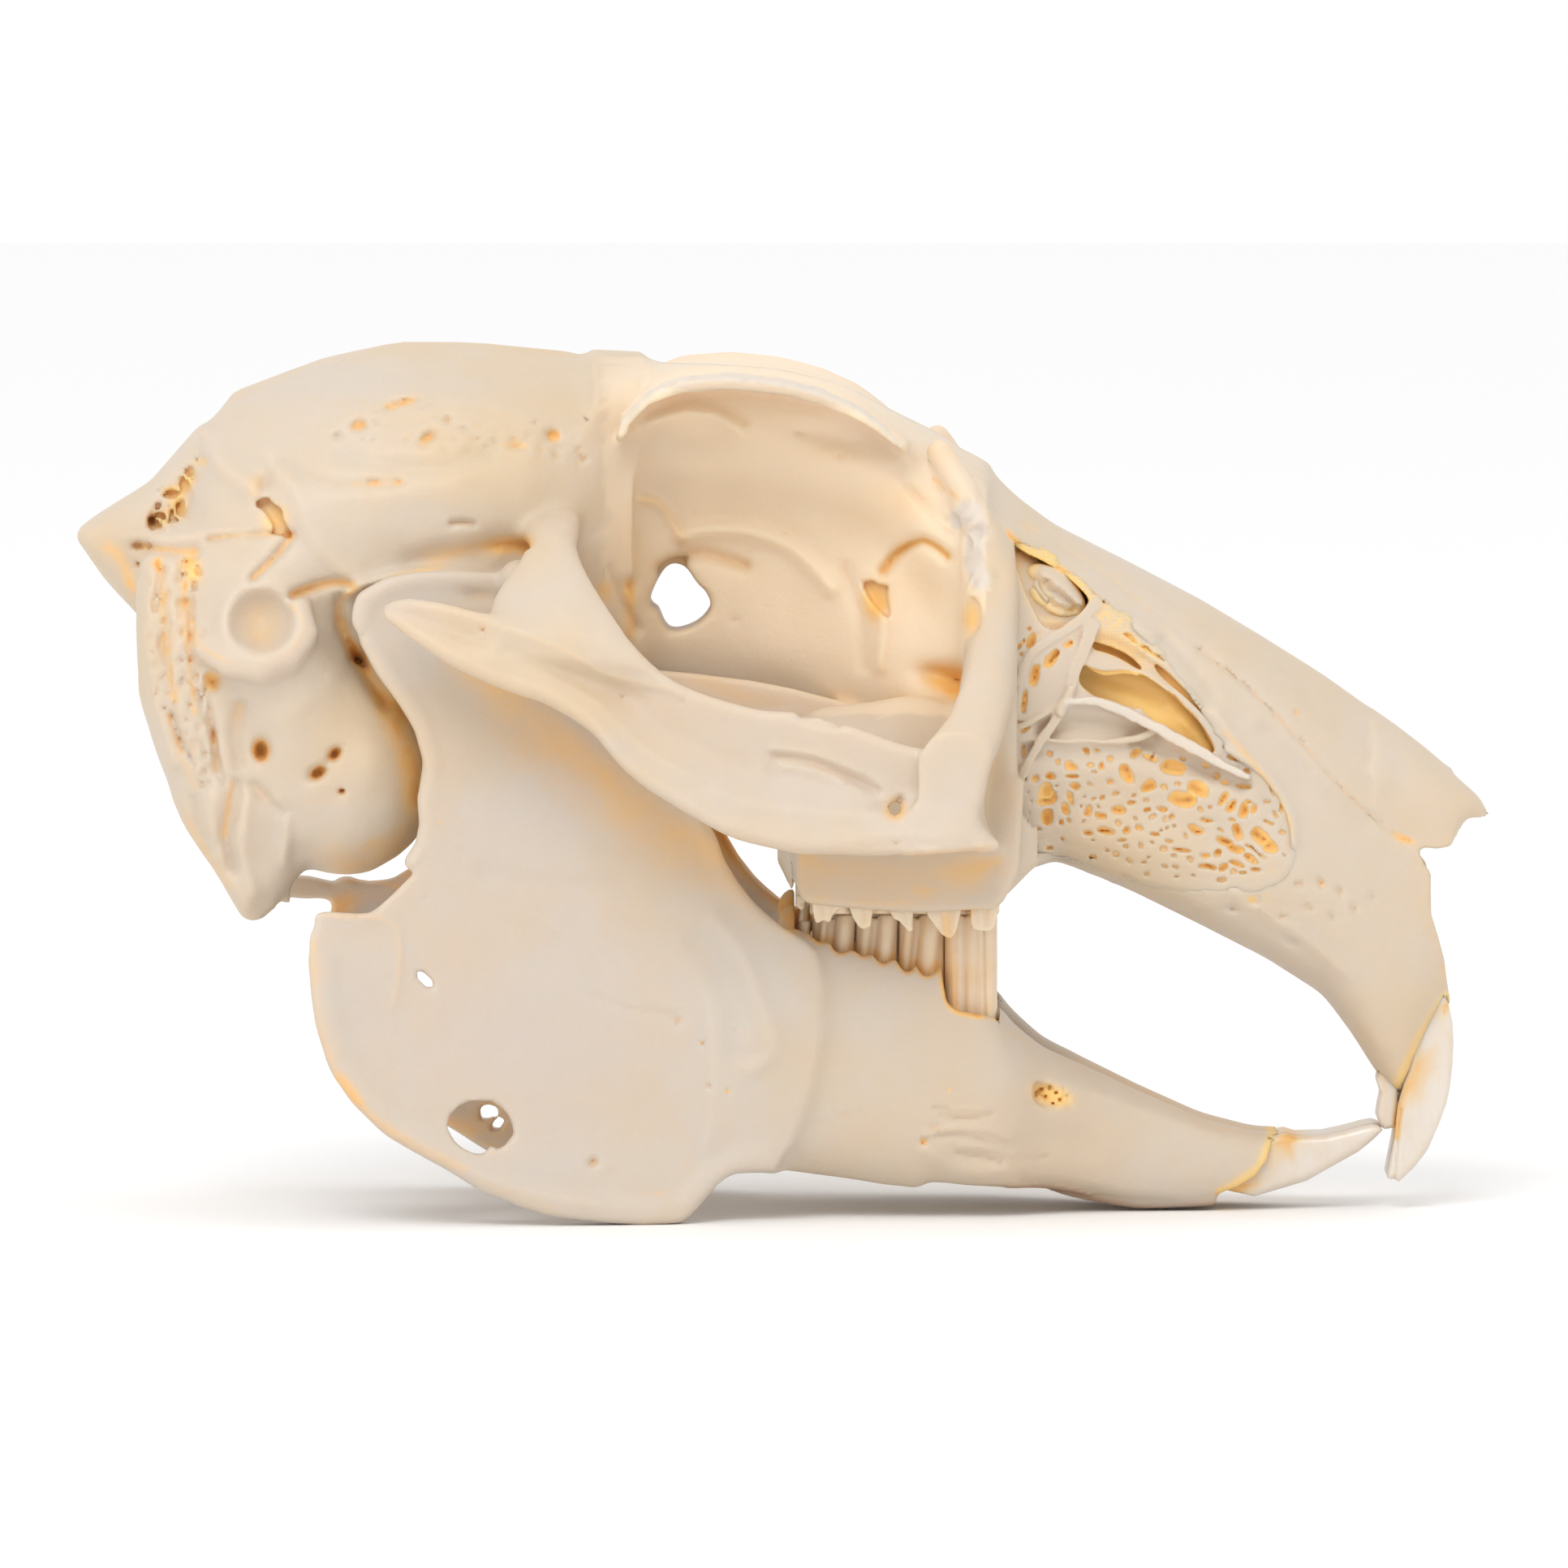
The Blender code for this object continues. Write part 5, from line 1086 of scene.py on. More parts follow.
BODY = [(1592, 1396, 1430, 1462, 1.45, 2.2, 2.2, 1.6), (1570, 1394, 1432, 1470, 1.65, 2.2, 2.2, 1.8), (1545, 1394, 1435, 1477, 1.8, 2.3, 2.2, 1.96),
        (1480, 1378, 1432, 1487, 2.1, 2.3, 2.2, 2.25), (1400, 1343, 1420, 1489, 2.45, 2.3, 2.2, 2.6),
        (1330, 1310, 1400, 1477, 3.0, 2.3, 2.2, 3.15), (1285, 1291, 1385, 1469, 3.1, 2.4, 2.2, 4.3),
        (1240, 1254, 1370, 1469, 3.25, 2.8, 2.3, 5.95), (1216, 1214, 1360, 1469, 3.3, 3.4, 2.4, 6.3), (1180, 1188, 1350, 1468, 3.3, 4.0, 2.4, 6.5),
        (1100, 1168, 1340, 1460, 3.4, 4.0, 2.5, 6.6), (1020, 1146, 1320, 1448, 3.5, 4.0, 2.5, 6.8),
        (980, 1140, 1310, 1443, 3.4, 3.4, 2.5, 7.3), (940, 1176, 1300, 1438, 1.8, 2.4, 2.2, 9.2), (885, 1240, 1300, 1400, 0.8, 2, 2, 10.6)]
# rim of the lower tooth row, dipping at every column
SCALLOP = [(985, 1148), (998, 1151), (1004, 1158), (1011, 1162), (1018, 1160), (1022, 1161), (1027, 1170), (1034, 1175),
           (1043, 1173), (1050, 1170), (1056, 1174), (1064, 1179), (1072, 1176), (1077, 1178), (1082, 1185), (1089, 1188),
           (1098, 1184), (1103, 1180), (1108, 1190), (1116, 1199), (1124, 1196), (1128, 1189), (1135, 1200), (1143, 1204),
           (1152, 1198), (1159, 1190), (1161, 1205), (1166, 1233), (1172, 1240), (1182, 1246), (1200, 1249), (1218, 1252),
           (1230, 1255), (1233, 1226), (1240, 1222), (1260, 1222), (1260, 1000), (985, 1000)]
JAW_END = [(1589, 1380), (1587, 1397), (1566, 1411), (1561, 1429), (1546, 1449), (1525, 1462), (1500, 1471), (1496, 1500),
           (1660, 1500), (1660, 1380)]
RAMUS_HOLE = [(551, 1385), (554, 1374), (565, 1362), (579, 1356), (604, 1356), (617, 1364), (626, 1374), (632, 1389),
              (633, 1397), (622, 1411), (613, 1416), (610, 1414), (604, 1410), (602, 1415), (594, 1422), (583, 1421),
              (569, 1414), (560, 1406), (556, 1399), (551, 1390)]
SMALL_HOLE = [(513, 1197), (520, 1197), (533, 1208), (533, 1217), (524, 1215), (515, 1206)]
FAR_HOLES = [[other(*q, 14.2) for q in ((592, 1362), (598, 1356), (608, 1357), (617, 1363), (612, 1370), (604, 1375), (594, 1376))],
             [other(*q, 14.2) for q in ((606, 1383), (611, 1374), (619, 1370), (623, 1376), (617, 1387), (609, 1389))],
             [other(*q, 14.2) for q in ((508, 1190), (522, 1190), (540, 1206), (538, 1224), (524, 1224), (508, 1208))]]

RAMUS_RELIEF = [
    ('l', 15, 0.22, (880, 1135), (912, 1173), (937, 1237), (950, 1269), (950, 1294), (928, 1314)),
    ('l', 20, -0.25, (860, 1160), (890, 1200), (905, 1250), (905, 1290)),
    ('l', 7, -0.14, (733, 1224), (769, 1242), (819, 1249), (836, 1258)), ('s', 836, 1258, 6, 5, 0, -0.12),
    ('l', 5, 0.10, (400, 1128), (458, 1130), (483, 1139), (492, 1160), (490, 1210), (483, 1239)),
    ('s', 450, 1150, 34, 16, 0, -0.12), ('s', 731, 1432, 6.5, 5.5, -30, -0.6), ('s', 753, 1446, 2.2, 2.2, 0, -0.3),
    ('s', 865, 1285, 2.6, 2.6, 0, -0.3), ('s', 873, 1338, 3, 2.6, 0, -0.25), ('s', 897, 1345, 3, 2.6, 0, -0.35),
    ('s', 907, 1270, 2.4, 2.4, 0, -0.22), ('s', 543, 1013, 2.2, 2.2, 0, -0.25), ('s', 524, 1107, 2.2, 2.2, 0, -0.2),
    ('s', 590, 733, 27, 9, 8, -0.4), ('s', 620, 735, 10, 8, 0, -0.2), ('s', 720, 1070, 50, 36, 20, 0.10), ('l', 16, -0.14, (600, 1075), (700, 1090), (760, 1085)),
    ('s', 760, 1180, 70, 50, 30, -0.12), ('l', 6, 0.06, (640, 1120), (720, 1160), (760, 1200)),
    ('s', 620, 1390, 40, 30, 0, -0.05), ('s', 700, 1395, 60, 40, 0, -0.08), ('l', 9, 0.1, (500, 1398), (560, 1432), (640, 1466), (740, 1484)),
    ('s', 885, 1425, 30, 18, -30, -0.12), ('s', 938, 1290, 40, 26, 20, 0.1), ('s', 930, 1300, 30, 12, -20, -0.14)]
BODY_RELIEF = [
    ('s', 1170, 1343, 2.2, 2.2, 0, -0.3), ('s', 1138, 1407, 5.5, 3.5, -15, -0.55), ('s', 1151, 1390, 5, 3, 0, -0.3),
    ('l', 3, -0.2, (1159, 1374), (1180, 1379), (1203, 1378), (1222, 1372)), ('l', 3, -0.16, (1155, 1401), (1187, 1400), (1215, 1407)),
    ('l', 4, 0.16, (1140, 1396), (1175, 1390), (1215, 1392), (1245, 1402)), ('l', 4, 0.14, (1180, 1412), (1215, 1414), (1250, 1422)),
    ('l', 3.4, -0.2, (1179, 1421), (1205, 1426), (1234, 1433)), ('l', 2.6, -0.16, (1258, 1425), (1275, 1428), (1294, 1424)),
    ('l', 3, -0.14, (1150, 1366), (1166, 1367)), ('l', 3, 0.1, (1162, 1362), (1190, 1366), (1215, 1364)), ('s', 1040, 1376, 8, 5, 0, -0.14),
    ('l', 22, -0.18, (1165, 1440), (1230, 1420), (1290, 1405), (1340, 1410)), ('l', 14, 0.14, (1140, 1418), (1180, 1440), (1240, 1444)),
    ('l', 15, -0.75, (1150, 1467), (1234, 1474), (1321, 1482), (1361, 1489), (1420, 1497), (1500, 1494), (1560, 1482)),
    ('l', 7, -0.3, (1260, 1455), (1321, 1462), (1377, 1475), (1440, 1482)),
    ('l', 2.4, 0.22, (1240, 1462), (1290, 1460), (1330, 1468), (1361, 1480), (1410, 1485)), ('l', 2, -0.2, (1300, 1468), (1345, 1477)),
    ('l', 10, 0.12, (1300, 1330), (1400, 1365), (1500, 1400)), ('s', 1373, 1363, 14, 10, 0, -0.05)]
CRIBLE = [(1283, 1342, 4, 3.4), (1288, 1352, 4.4, 3.6), (1294, 1340, 3.6, 3.6), (1301, 1347, 4, 3.4), (1306, 1356, 4.6, 3.6),
          (1313, 1352, 3.2, 4.4), (1316, 1362, 3.2, 2.8), (1277, 1348, 3, 4), (1298, 1360, 3, 2.4), (1309, 1344, 2.4, 2.4)]


def grown(mp, mm):
    out = Map(mp.u0, mp.u0 + mp.step * (mp.nu - 2), mp.v0, mp.v0 + mp.step * (mp.nv - 2), mp.step)
    out.m = mp.m - mm / GRID
    return out


def emboss(F, items, box, face, a1=21.0, grain=0.0, seed=31):
    """Relief on the outer side only of a sheet whose middle is given."""
    mp = line_map(items, (box[0] - 4, box[1] + 4, box[2] - 4, box[3] + 4))
    lo = face.m.min() if isinstance(face, Map) else face
    sl = F.uvbox(box[0], box[1], box[2], box[3], max(lo - 0.5, 0), a1, 0.5)
    U, V = F.uv(sl)
    _, a, _ = F.xyz(sl)
    mid = face(U, V) if isinstance(face, Map) else face
    d = -mp(U, V)
    if grain:
        d = d + grain * F.noise(sl, 0.7, seed)
    F.f[sl] += (d * np.clip((a - mid) / 0.3 + 0.5, 0, 1)).astype(np.float32)


def lower_incisor_maps():
    shape = polygon_map(LOWER_INCISOR, 50, 1.0)
    mid = Map(1380, 1760, 1330, 1540, 10.0)
    mid.m = np.broadcast_to(1.42 + np.maximum(0, 1600 - mid.u) * 0.0065, mid.m.shape).astype(np.float32)
    return shape, mid


LOWER_INCISOR = [(1434, 1392), (1502, 1406), (1550, 1404), (1583, 1396), (1596, 1400), (1631, 1399), (1658, 1393), (1680, 1387),
                 (1691, 1385), (1699, 1387), (1704, 1392), (1692, 1404), (1674, 1419), (1638, 1439), (1610, 1455),
                 (1576, 1465), (1546, 1474), (1500, 1464), (1430, 1442)]
UPPER_INCISOR = [(1742, 1172), (1764, 1200), (1779, 1222), (1785, 1238), (1790, 1260), (1791, 1285), (1790, 1310), (1787, 1338),
                 (1783, 1358), (1774, 1383), (1759, 1417), (1743, 1438), (1727, 1453), (1723, 1456), (1719, 1453), (1713, 1453),
                 (1709, 1451), (1709, 1446), (1713, 1425), (1717, 1405), (1719, 1388), (1722, 1362), (1734, 1320), (1738, 1280),
                 (1736, 1250), (1722, 1226), (1700, 1196)]
PEG = [(1700, 1284), (1722, 1284), (1723, 1330), (1722, 1362), (1719, 1389), (1706, 1391.5), (1701, 1387.5), (1696, 1376),
       (1698, 1362), (1701, 1348), (1696, 1333), (1697, 1326), (1700, 1321), (1700, 1300)]


def shifted(mp, d):
    out = Map(mp.u0, mp.u0 + mp.step * (mp.nu - 2), mp.v0, mp.v0 + mp.step * (mp.nv - 2), mp.step)
    out.m = mp.m + d
    return out


def jaw_field(s):
    J = Field((-30.4, 0.0, -0.2), (31.6, 17.0, 39.2), H_JAW)
    box = (280, 1120, 640, 1580)
    outer = through([(u, v, o) for u, v, o, t in SHEET], box=box)
    outer.m = outer.m + (15.2 - (outer.u - 400) * 0.0078)
    thick = through([(u, v, t) for u, v, o, t in SHEET], box=box)
    inner = shifted(outer, -np.clip(thick.m, 0.6, 2.0))
    middle = shifted(outer, -np.clip(thick.m, 0.6, 2.0) * 0.5)
    outline = polygon_map(chaikin(JAW_TOP + (NEAR_ANGLE if s < 0 else FAR_ANGLE), 1))
    J.add(*J.plate(outline, outer, inner, 0.26))

    def on(u, v, inset=0.5):
        return pa(u, v, float(outer(np.array([u]), np.array([v]))[0]) - inset)
    low = [(936, 1424), (900, 1428), (872, 1446), (846, 1478), (832, 1489), (790, 1491), (751, 1489), (684, 1481), (640, 1466),
           (597, 1449), (562, 1428), (528, 1409), (486, 1386), (447, 1349), (421, 1312), (406, 1264), (400, 1230), (397, 1186)]
    J.add(*J.tube([on(u, v, 0.62) for u, v in low], [0.7] * 4 + [0.72] * 6 + [0.66] * 4 + [0.6] * 4), 0.6)
    back = [(456, 790), (474, 822), (500, 858), (522, 894), (533, 936), (525 if s < 0 else 530, 984), (527, 1016), (522, 1042), (509, 1062)]
    J.add(*J.tube([on(u, v, 0.5) for u, v in back], 0.5), 0.4)
    J.add(*J.tube([on(u, v, 0.45) for u, v in ((446, 764), (452, 740), (478, 724), (510, 717), (556, 714), (612, 718), (652, 722))],
                  (0.5, 0.55, 0.5, 0.45, 0.45, 0.5, 0.6)), 0.35)
    J.add(*J.tube([on(u, v, 0.5) for u, v in ((700, 760), (760, 855), (832, 970), (870, 1032), (882, 1064), (898, 1092), (920, 1120),
                                              (944, 1142))], 0.5), 0.35)
    J.add(*J.xloft(BODY, 0.45), 1.5)
    J.add(*J.ellipsoid(pa(978, 1140, 6.6), (0.9, 1.3, 1.15)), 0.5)
    head = pa(640, 716, 13.2)
    J.add(*J.ellipsoid(head, (1.2, 1.35, 1.2)), 0.4)
    J.add(*J.tube([head - (0, 0.2, 0.4), on(668, 850, 0.55)], (0.9, 0.5)), 0.5)
    # sockets and the end of the bone at the front teeth
    J.cut(*J.plate(polygon_map(SCALLOP, 50, 1.0), 14.0, 2.0, 0.05), 0.12)
    J.cut(*J.plate([(979, 1050), (1231, 1050), (1231, 1336), (979, 1336)], 8.36, 4.48, 0.1), 0.1)
    shape, mid = lower_incisor_maps()
    J.cut(*J.plate(grown(shape, -0.03), shifted(mid, 1.23), shifted(mid, -1.23), 0.5), 0.03)
    end = polygon_map(JAW_END, 50, 1.0)
    sl = J.uvbox(1480, 1700, 1370, 1510, 0, 6.5, 0.5)
    J.cut(sl, end(*J.uv(sl)) * GRID, 0.16)
    if s < 0:
        J.cut(*J.plate(polygon_map(RAMUS_HOLE, 50, 1.0), 17.0, 11.0, 0.02), 0.1)
        J.cut(*J.plate(polygon_map(SMALL_HOLE, 50, 1.0), 17.0, 11.0, 0.02), 0.08)
    else:
        for hole in FAR_HOLES:
            J.cut(*J.plate(polygon_map(hole, 50, 1.0), 17.0, 11.0, 0.02), 0.08)
    c, q = math.cos(math.radians(15)), math.sin(math.radians(15))
    J.cut(*J.ellipsoid(pa(1297, 1350, 7.3), ((1.36 * c, 0, -1.36 * q), (0, 0.85, 0), (0.78 * q, 0, 0.78 * c))), 0.12)
    emboss(J, RAMUS_RELIEF, (400, 1000, 690, 1520), middle, grain=0.012)
    emboss(J, BODY_RELIEF, (1010, 1580, 1320, 1510), 3.4, 12.0, grain=0.012)
    for u, v, ru, rv in CRIBLE:
        J.cut(*J.ellipsoid(pa(u, v, 6.5), (ru * GRID, 0.6, rv * GRID)), 0.06)
    J.f = np.maximum(J.f, (0.15 - J.a)[None, :, None])
    return J, middle


# ==================================================== openwork of the upper jaw
def cell(x, y, w, h, deg=0):
    return 1220 + x / 3.92, 880 + y / 3.92, w / 7.84, h / 7.84, deg


def cell2(x, y, w, h, deg=0):
    return 1140 + x / 3.136, 620 + y / 3.136, w / 6.272, h / 6.272, deg


CELLS = [cell(*q) for q in (
    (262, 372, 66, 84), (268, 420, 74, 56), (300, 400, 40, 60), (262, 503, 60, 70), (215, 305, 35, 38), (293, 307, 58, 36), (167, 310, 22, 36),
    (400, 245, 65, 50, 20), (398, 302, 56, 26, 15), (407, 358, 38, 36), (385, 410, 26, 60, -20), (360, 460, 42, 58), (335, 527, 26, 30),
    (548, 240, 34, 58), (590, 200, 40, 40), (660, 285, 56, 92, -28), (765, 350, 74, 58, -30), (580, 318, 38, 34), (710, 190, 52, 60, 20), (772, 215, 62, 46, 25),
    (885, 265, 128, 78, 8), (1000, 360, 118, 76, 22), (930, 410, 134, 76, 12), (1122, 408, 36, 76, 38), (1160, 440, 44, 82, 24),
    (1232, 466, 56, 72, 10), (1284, 458, 26, 52, 25), (1258, 430, 36, 20, 10), (1045, 505, 62, 26, 5), (998, 552, 96, 42, 8), (1195, 568, 52, 66, -10),
    (1310, 590, 120, 62, 30), (1350, 632, 84, 64, 20), (1130, 612, 90, 52, 24), (1180, 650, 92, 46, 28), (1285, 660, 110, 20, 32), (1240, 640, 40, 16, 30),
    (1035, 672, 50, 34, -10), (1095, 672, 44, 40, 20), (930, 648, 90, 30, 12), (1043, 738, 80, 32, 15), (1120, 745, 60, 34, -10), (1190, 728, 76, 26, 12),
    (1262, 700, 84, 26, 18), (1282, 748, 48, 28, -10), (615, 460, 76, 44), (533, 488, 46, 40), (480, 466, 44, 62, 20), (552, 565, 86, 34), (658, 558, 40, 44),
    (725, 540, 48, 38), (545, 405, 26, 26), (605, 380, 30, 24), (690, 430, 36, 26), (830, 465, 62, 24, 5), (155, 170, 24, 86, 4), (72, 288, 26, 38), (66, 332, 36, 44),
    (80, 236, 18, 22), (88, 483, 13, 13), (92, 440, 22, 40), (122, 400, 24, 40), (180, 380, 12, 20), (205, 415, 10, 14), (190, 470, 12, 16),
    (1182, 218, 60, 28, 0), (1150, 155, 56, 30, 0), (1247, 282, 54, 26, 30), (800, 580, 50, 22, 10), (870, 610, 40, 18, 10), (640, 610, 50, 18), (470, 580, 40, 20),
    (1110, 800, 60, 22), (1375, 480, 50, 16, 60), (1215, 770, 40, 18), (760, 470, 30, 22), (880, 500, 34, 20), (1340, 520, 60, 16, 20),
    (1130, 330, 40, 26), (1230, 350, 90, 22, 8), (455, 190, 30, 24), (515, 165, 40, 22), (330, 225, 28, 34))]
CELLS += [cell2(*q) for q in (
    (500, 600, 40, 84, 30), (478, 610, 24, 50, 10), (425, 665, 44, 92, 18), (443, 640, 20, 40, 30), (380, 765, 22, 80, 12), (376, 800, 20, 26), (360, 552, 26, 38, 30), (402, 490, 14, 18),
    (378, 532, 18, 26), (415, 535, 40, 70, 10), (350, 655, 22, 46, 10), (344, 712, 24, 30), (340, 735, 16, 20), (428, 560, 20, 30), (372, 590, 20, 14), (345, 625, 18, 20), (550, 545, 34, 20, -30),
    (445, 500, 12, 20), (352, 440, 14, 18), (330, 860, 26, 16), (350, 850, 20, 12), (560, 700, 22, 60, 12), (372, 850, 30, 14, -20), (860, 560, 60, 14, 35), (905, 590, 60, 18, 38),
    (960, 612, 60, 18, 35), (800, 520, 60, 14, 28), (1165, 870, 50, 22, 40), (1240, 930, 46, 16, 45), (690, 385, 20, 14), (395, 870, 60, 18, -30), (300, 190, 10, 24), (310, 1040, 18, 30), (322, 1180, 12, 14),
    (305, 1080, 16, 26), (340, 1130, 14, 22), (1375, 1180, 14, 40, 0), (1340, 1105, 14, 50, -15))]
WINDOWS = [
    # the three-cornered one above
    [(1240, 657), (1246, 668), (1262, 681), (1283, 690), (1309, 706), (1330, 724), (1342, 738), (1340, 748), (1331, 762),
     (1318, 772), (1299, 778), (1282, 770), (1272, 748), (1262, 728), (1254, 706), (1247, 688)],
    # the long one
    [(1328, 826), (1333, 818), (1344, 824), (1360, 828), (1382, 826), (1395, 826), (1408, 831), (1427, 843), (1445, 857), (1462, 872), (1480, 892),
     (1494, 918), (1497, 928), (1490, 931), (1484, 930), (1468, 920), (1456, 908), (1443, 900), (1424, 893), (1410, 880), (1404, 872), (1395, 875),
     (1390, 868), (1385, 874), (1376, 869), (1370, 863), (1363, 866), (1345, 857), (1334, 847), (1329, 838)],
    # the slit over it
    [(1345, 790), (1352, 792), (1372, 798), (1392, 808), (1410, 826), (1400, 824), (1382, 812), (1362, 804), (1346, 800)],
    [(1420, 815), (1436, 826), (1452, 842), (1478, 868), (1500, 888), (1512, 906), (1500, 900), (1482, 880), (1460, 858), (1440, 842), (1426, 828)]]
LOW_BAR = [(1238, 912), (1262, 911), (1290, 911), (1319, 913), (1350, 913), (1375, 913), (1395, 911), (1412, 905), (1424, 899)]
STRUT = [(1346, 772), (1337, 796), (1331, 812), (1322, 834), (1317, 856), (1309, 872), (1296, 894), (1282, 914), (1270, 934),
         (1258, 956), (1248, 974), (1241, 984)]
STRUT_B = [(1350, 745), (1338, 758), (1322, 770), (1304, 782), (1288, 792), (1272, 806), (1262, 822), (1254, 840)]
STRUT_C = [(1240, 902), (1254, 897), (1268, 891), (1282, 883), (1296, 874), (1308, 866)]
BLADE = [(1316, 866), (1330, 864), (1346, 864), (1362, 868), (1378, 874), (1394, 881), (1411, 890), (1428, 898), (1443, 907), (1460, 916),
         (1478, 926), (1494, 935), (1510, 944), (1524, 951), (1537, 957)]
SWAY = [(1556, 952), (1566, 968), (1578, 990), (1585, 1008), (1583, 1030), (1574, 1048), (1560, 1060)]


def snout_face(F):
    """Depth of the plain outer face of the snout, by position along x and z."""
    sl, d = F.xloft(SNOUT, 0.35)
    a = F.a[sl[1]]
    inside = d < 0
    last = inside.shape[1] - 1 - np.argmax(inside[:, ::-1], 1)
    i, k = np.indices(last.shape)
    nxt = np.minimum(last + 1, inside.shape[1] - 1)
    d0, d1 = d[i, last, k], d[i, nxt, k]
    t = np.where(d1 > d0, -d0 / np.maximum(d1 - d0, 1e-4), 0)
    depth = a[last] + np.clip(t, 0, 1) * F.h
    depth = np.where(inside.any(1), depth, 0.0).astype(np.float32)
    full_d = np.zeros((len(F.x), len(F.z)), np.float32)
    full_d[sl[0], sl[2]] = depth
    return full_d


def depth_at(F, D, x, z):
    fx = np.clip((x - F.x[0]) / F.h, 0, len(F.x) - 1.001)
    fz = np.clip((z - F.z[0]) / F.h, 0, len(F.z) - 1.001)
    i, k = fx.astype(int), fz.astype(int)
    fx, fz = (fx - i)[:, None].astype(np.float32), (fz - k)[None, :].astype(np.float32)
    g = D[np.ix_(i, k)] * (1 - fx) + D[np.ix_(np.minimum(i + 1, len(F.x) - 1), k)] * fx
    g2 = D[np.ix_(i, k + 1)] * (1 - fx) + D[np.ix_(np.minimum(i + 1, len(F.x) - 1), k + 1)] * fx
    return g * (1 - fz) + g2 * fz


def ellipse_map(items, box, step=1.0, soft=1.0):
    """Least signed distance (in units) to a set of ellipses."""
    mp = Map(*box, step, 60.0)
    for cu, cv, ru, rv, deg in items:
        r = max(ru, rv) + 26
        i0, i1 = max(int((cu - r - mp.u0) / step), 0), min(int((cu + r - mp.u0) / step) + 1, mp.nu)
        j0, j1 = max(int((cv - r - mp.v0) / step), 0), min(int((cv + r - mp.v0) / step) + 1, mp.nv)
        if i1 <= i0 or j1 <= j0:
            continue
        c, s = math.cos(math.radians(deg)), math.sin(math.radians(deg))
        du, dv = mp.u[i0:i1] - cu, mp.v[:, j0:j1] - cv
        p, q = (du * c + dv * s) / ru, (-du * s + dv * c) / rv
        g = (np.abs(p) ** 2.3 + np.abs(q) ** 2.3) ** (1 / 2.3) + 1e-3
        n = np.sqrt((p / ru) ** 2 + (q / rv) ** 2) / g + 1e-3
        mp.m[i0:i1, j0:j1] = np.minimum(mp.m[i0:i1, j0:j1], (g - 1) / np.maximum(n, 1 / max(ru, rv)))
    return mp


def stroke_map(pts, radii, box, step=1.0):
    """Signed distance to a thick line in the drawing."""
    mp = Map(*box, step, 60.0)
    p = curve([(*q, r) for q, r in zip(pts, np.broadcast_to(radii, len(pts)))], 5 * len(pts))
    for (a, b, r0), (c, d, r1) in zip(p[:-1], p[1:]):
        e = max((c - a) ** 2 + (d - b) ** 2, 1e-6)
        t = np.clip(((mp.u - a) * (c - a) + (mp.v - b) * (d - b)) / e, 0, 1)
        q = np.sqrt((mp.u - a - t * (c - a)) ** 2 + (mp.v - b - t * (d - b)) ** 2) - (r0 + (r1 - r0) * t)
        mp.m = np.minimum(mp.m, q.astype(np.float32))
    return mp


NET_BOX = (1205, 1625, 630, 1125)


def small_cells(count, seed, r0, r1, box, keep):
    """Scattered cells that leave walls between them."""
    rng = np.random.RandomState(seed)
    out = []
    for _ in range(count * 30):
        u, v = rng.uniform(box[0], box[1]), rng.uniform(box[2], box[3])
        ru = rng.uniform(r0, r1)
        rv = ru * rng.uniform(0.5, 0.95)
        if keep(u, v) and all((u - q[0]) ** 2 + (v - q[1]) ** 2 > (max(ru, rv) + max(q[2], q[3]) + 2.2) ** 2 for q in out):
            out.append((u, v, ru, rv, rng.uniform(-20, 50)))
            if len(out) >= count:
                break
    return out


SINK = [('l', 40, 0.45, (1290, 1000), (1360, 985), (1440, 1000), (1520, 1030)), ('l', 16, 0.75, (1290, 900), (1330, 893), (1390, 900), (1420, 904)),
        ('l', 12, 0.55, (1400, 912), (1440, 925), (1490, 948), (1530, 966)), ('l', 14, 0.45, (1270, 925), (1330, 928), (1390, 925), (1430, 930), (1490, 955)),
        ('s', 1560, 1000, 24, 40, 0, 0.2), ('l', 14, 0.6, (1345, 790), (1372, 796), (1402, 814)), ('l', 10, 0.3, (1420, 820), (1460, 850), (1500, 890)),
        ('s', 1258, 790, 20, 60, 0, 0.15)]


def sunk(u, v):
    """How far the openwork lies under the plain face of the snout."""
    inner = np.clip(-polygon_map(chaikin(NET, 1), 50, 1.0)(u, v) / 16, 0, 1)
    return 0.02 + (0.12 + line_map(SINK, NET_BOX)(u, v)) * inner


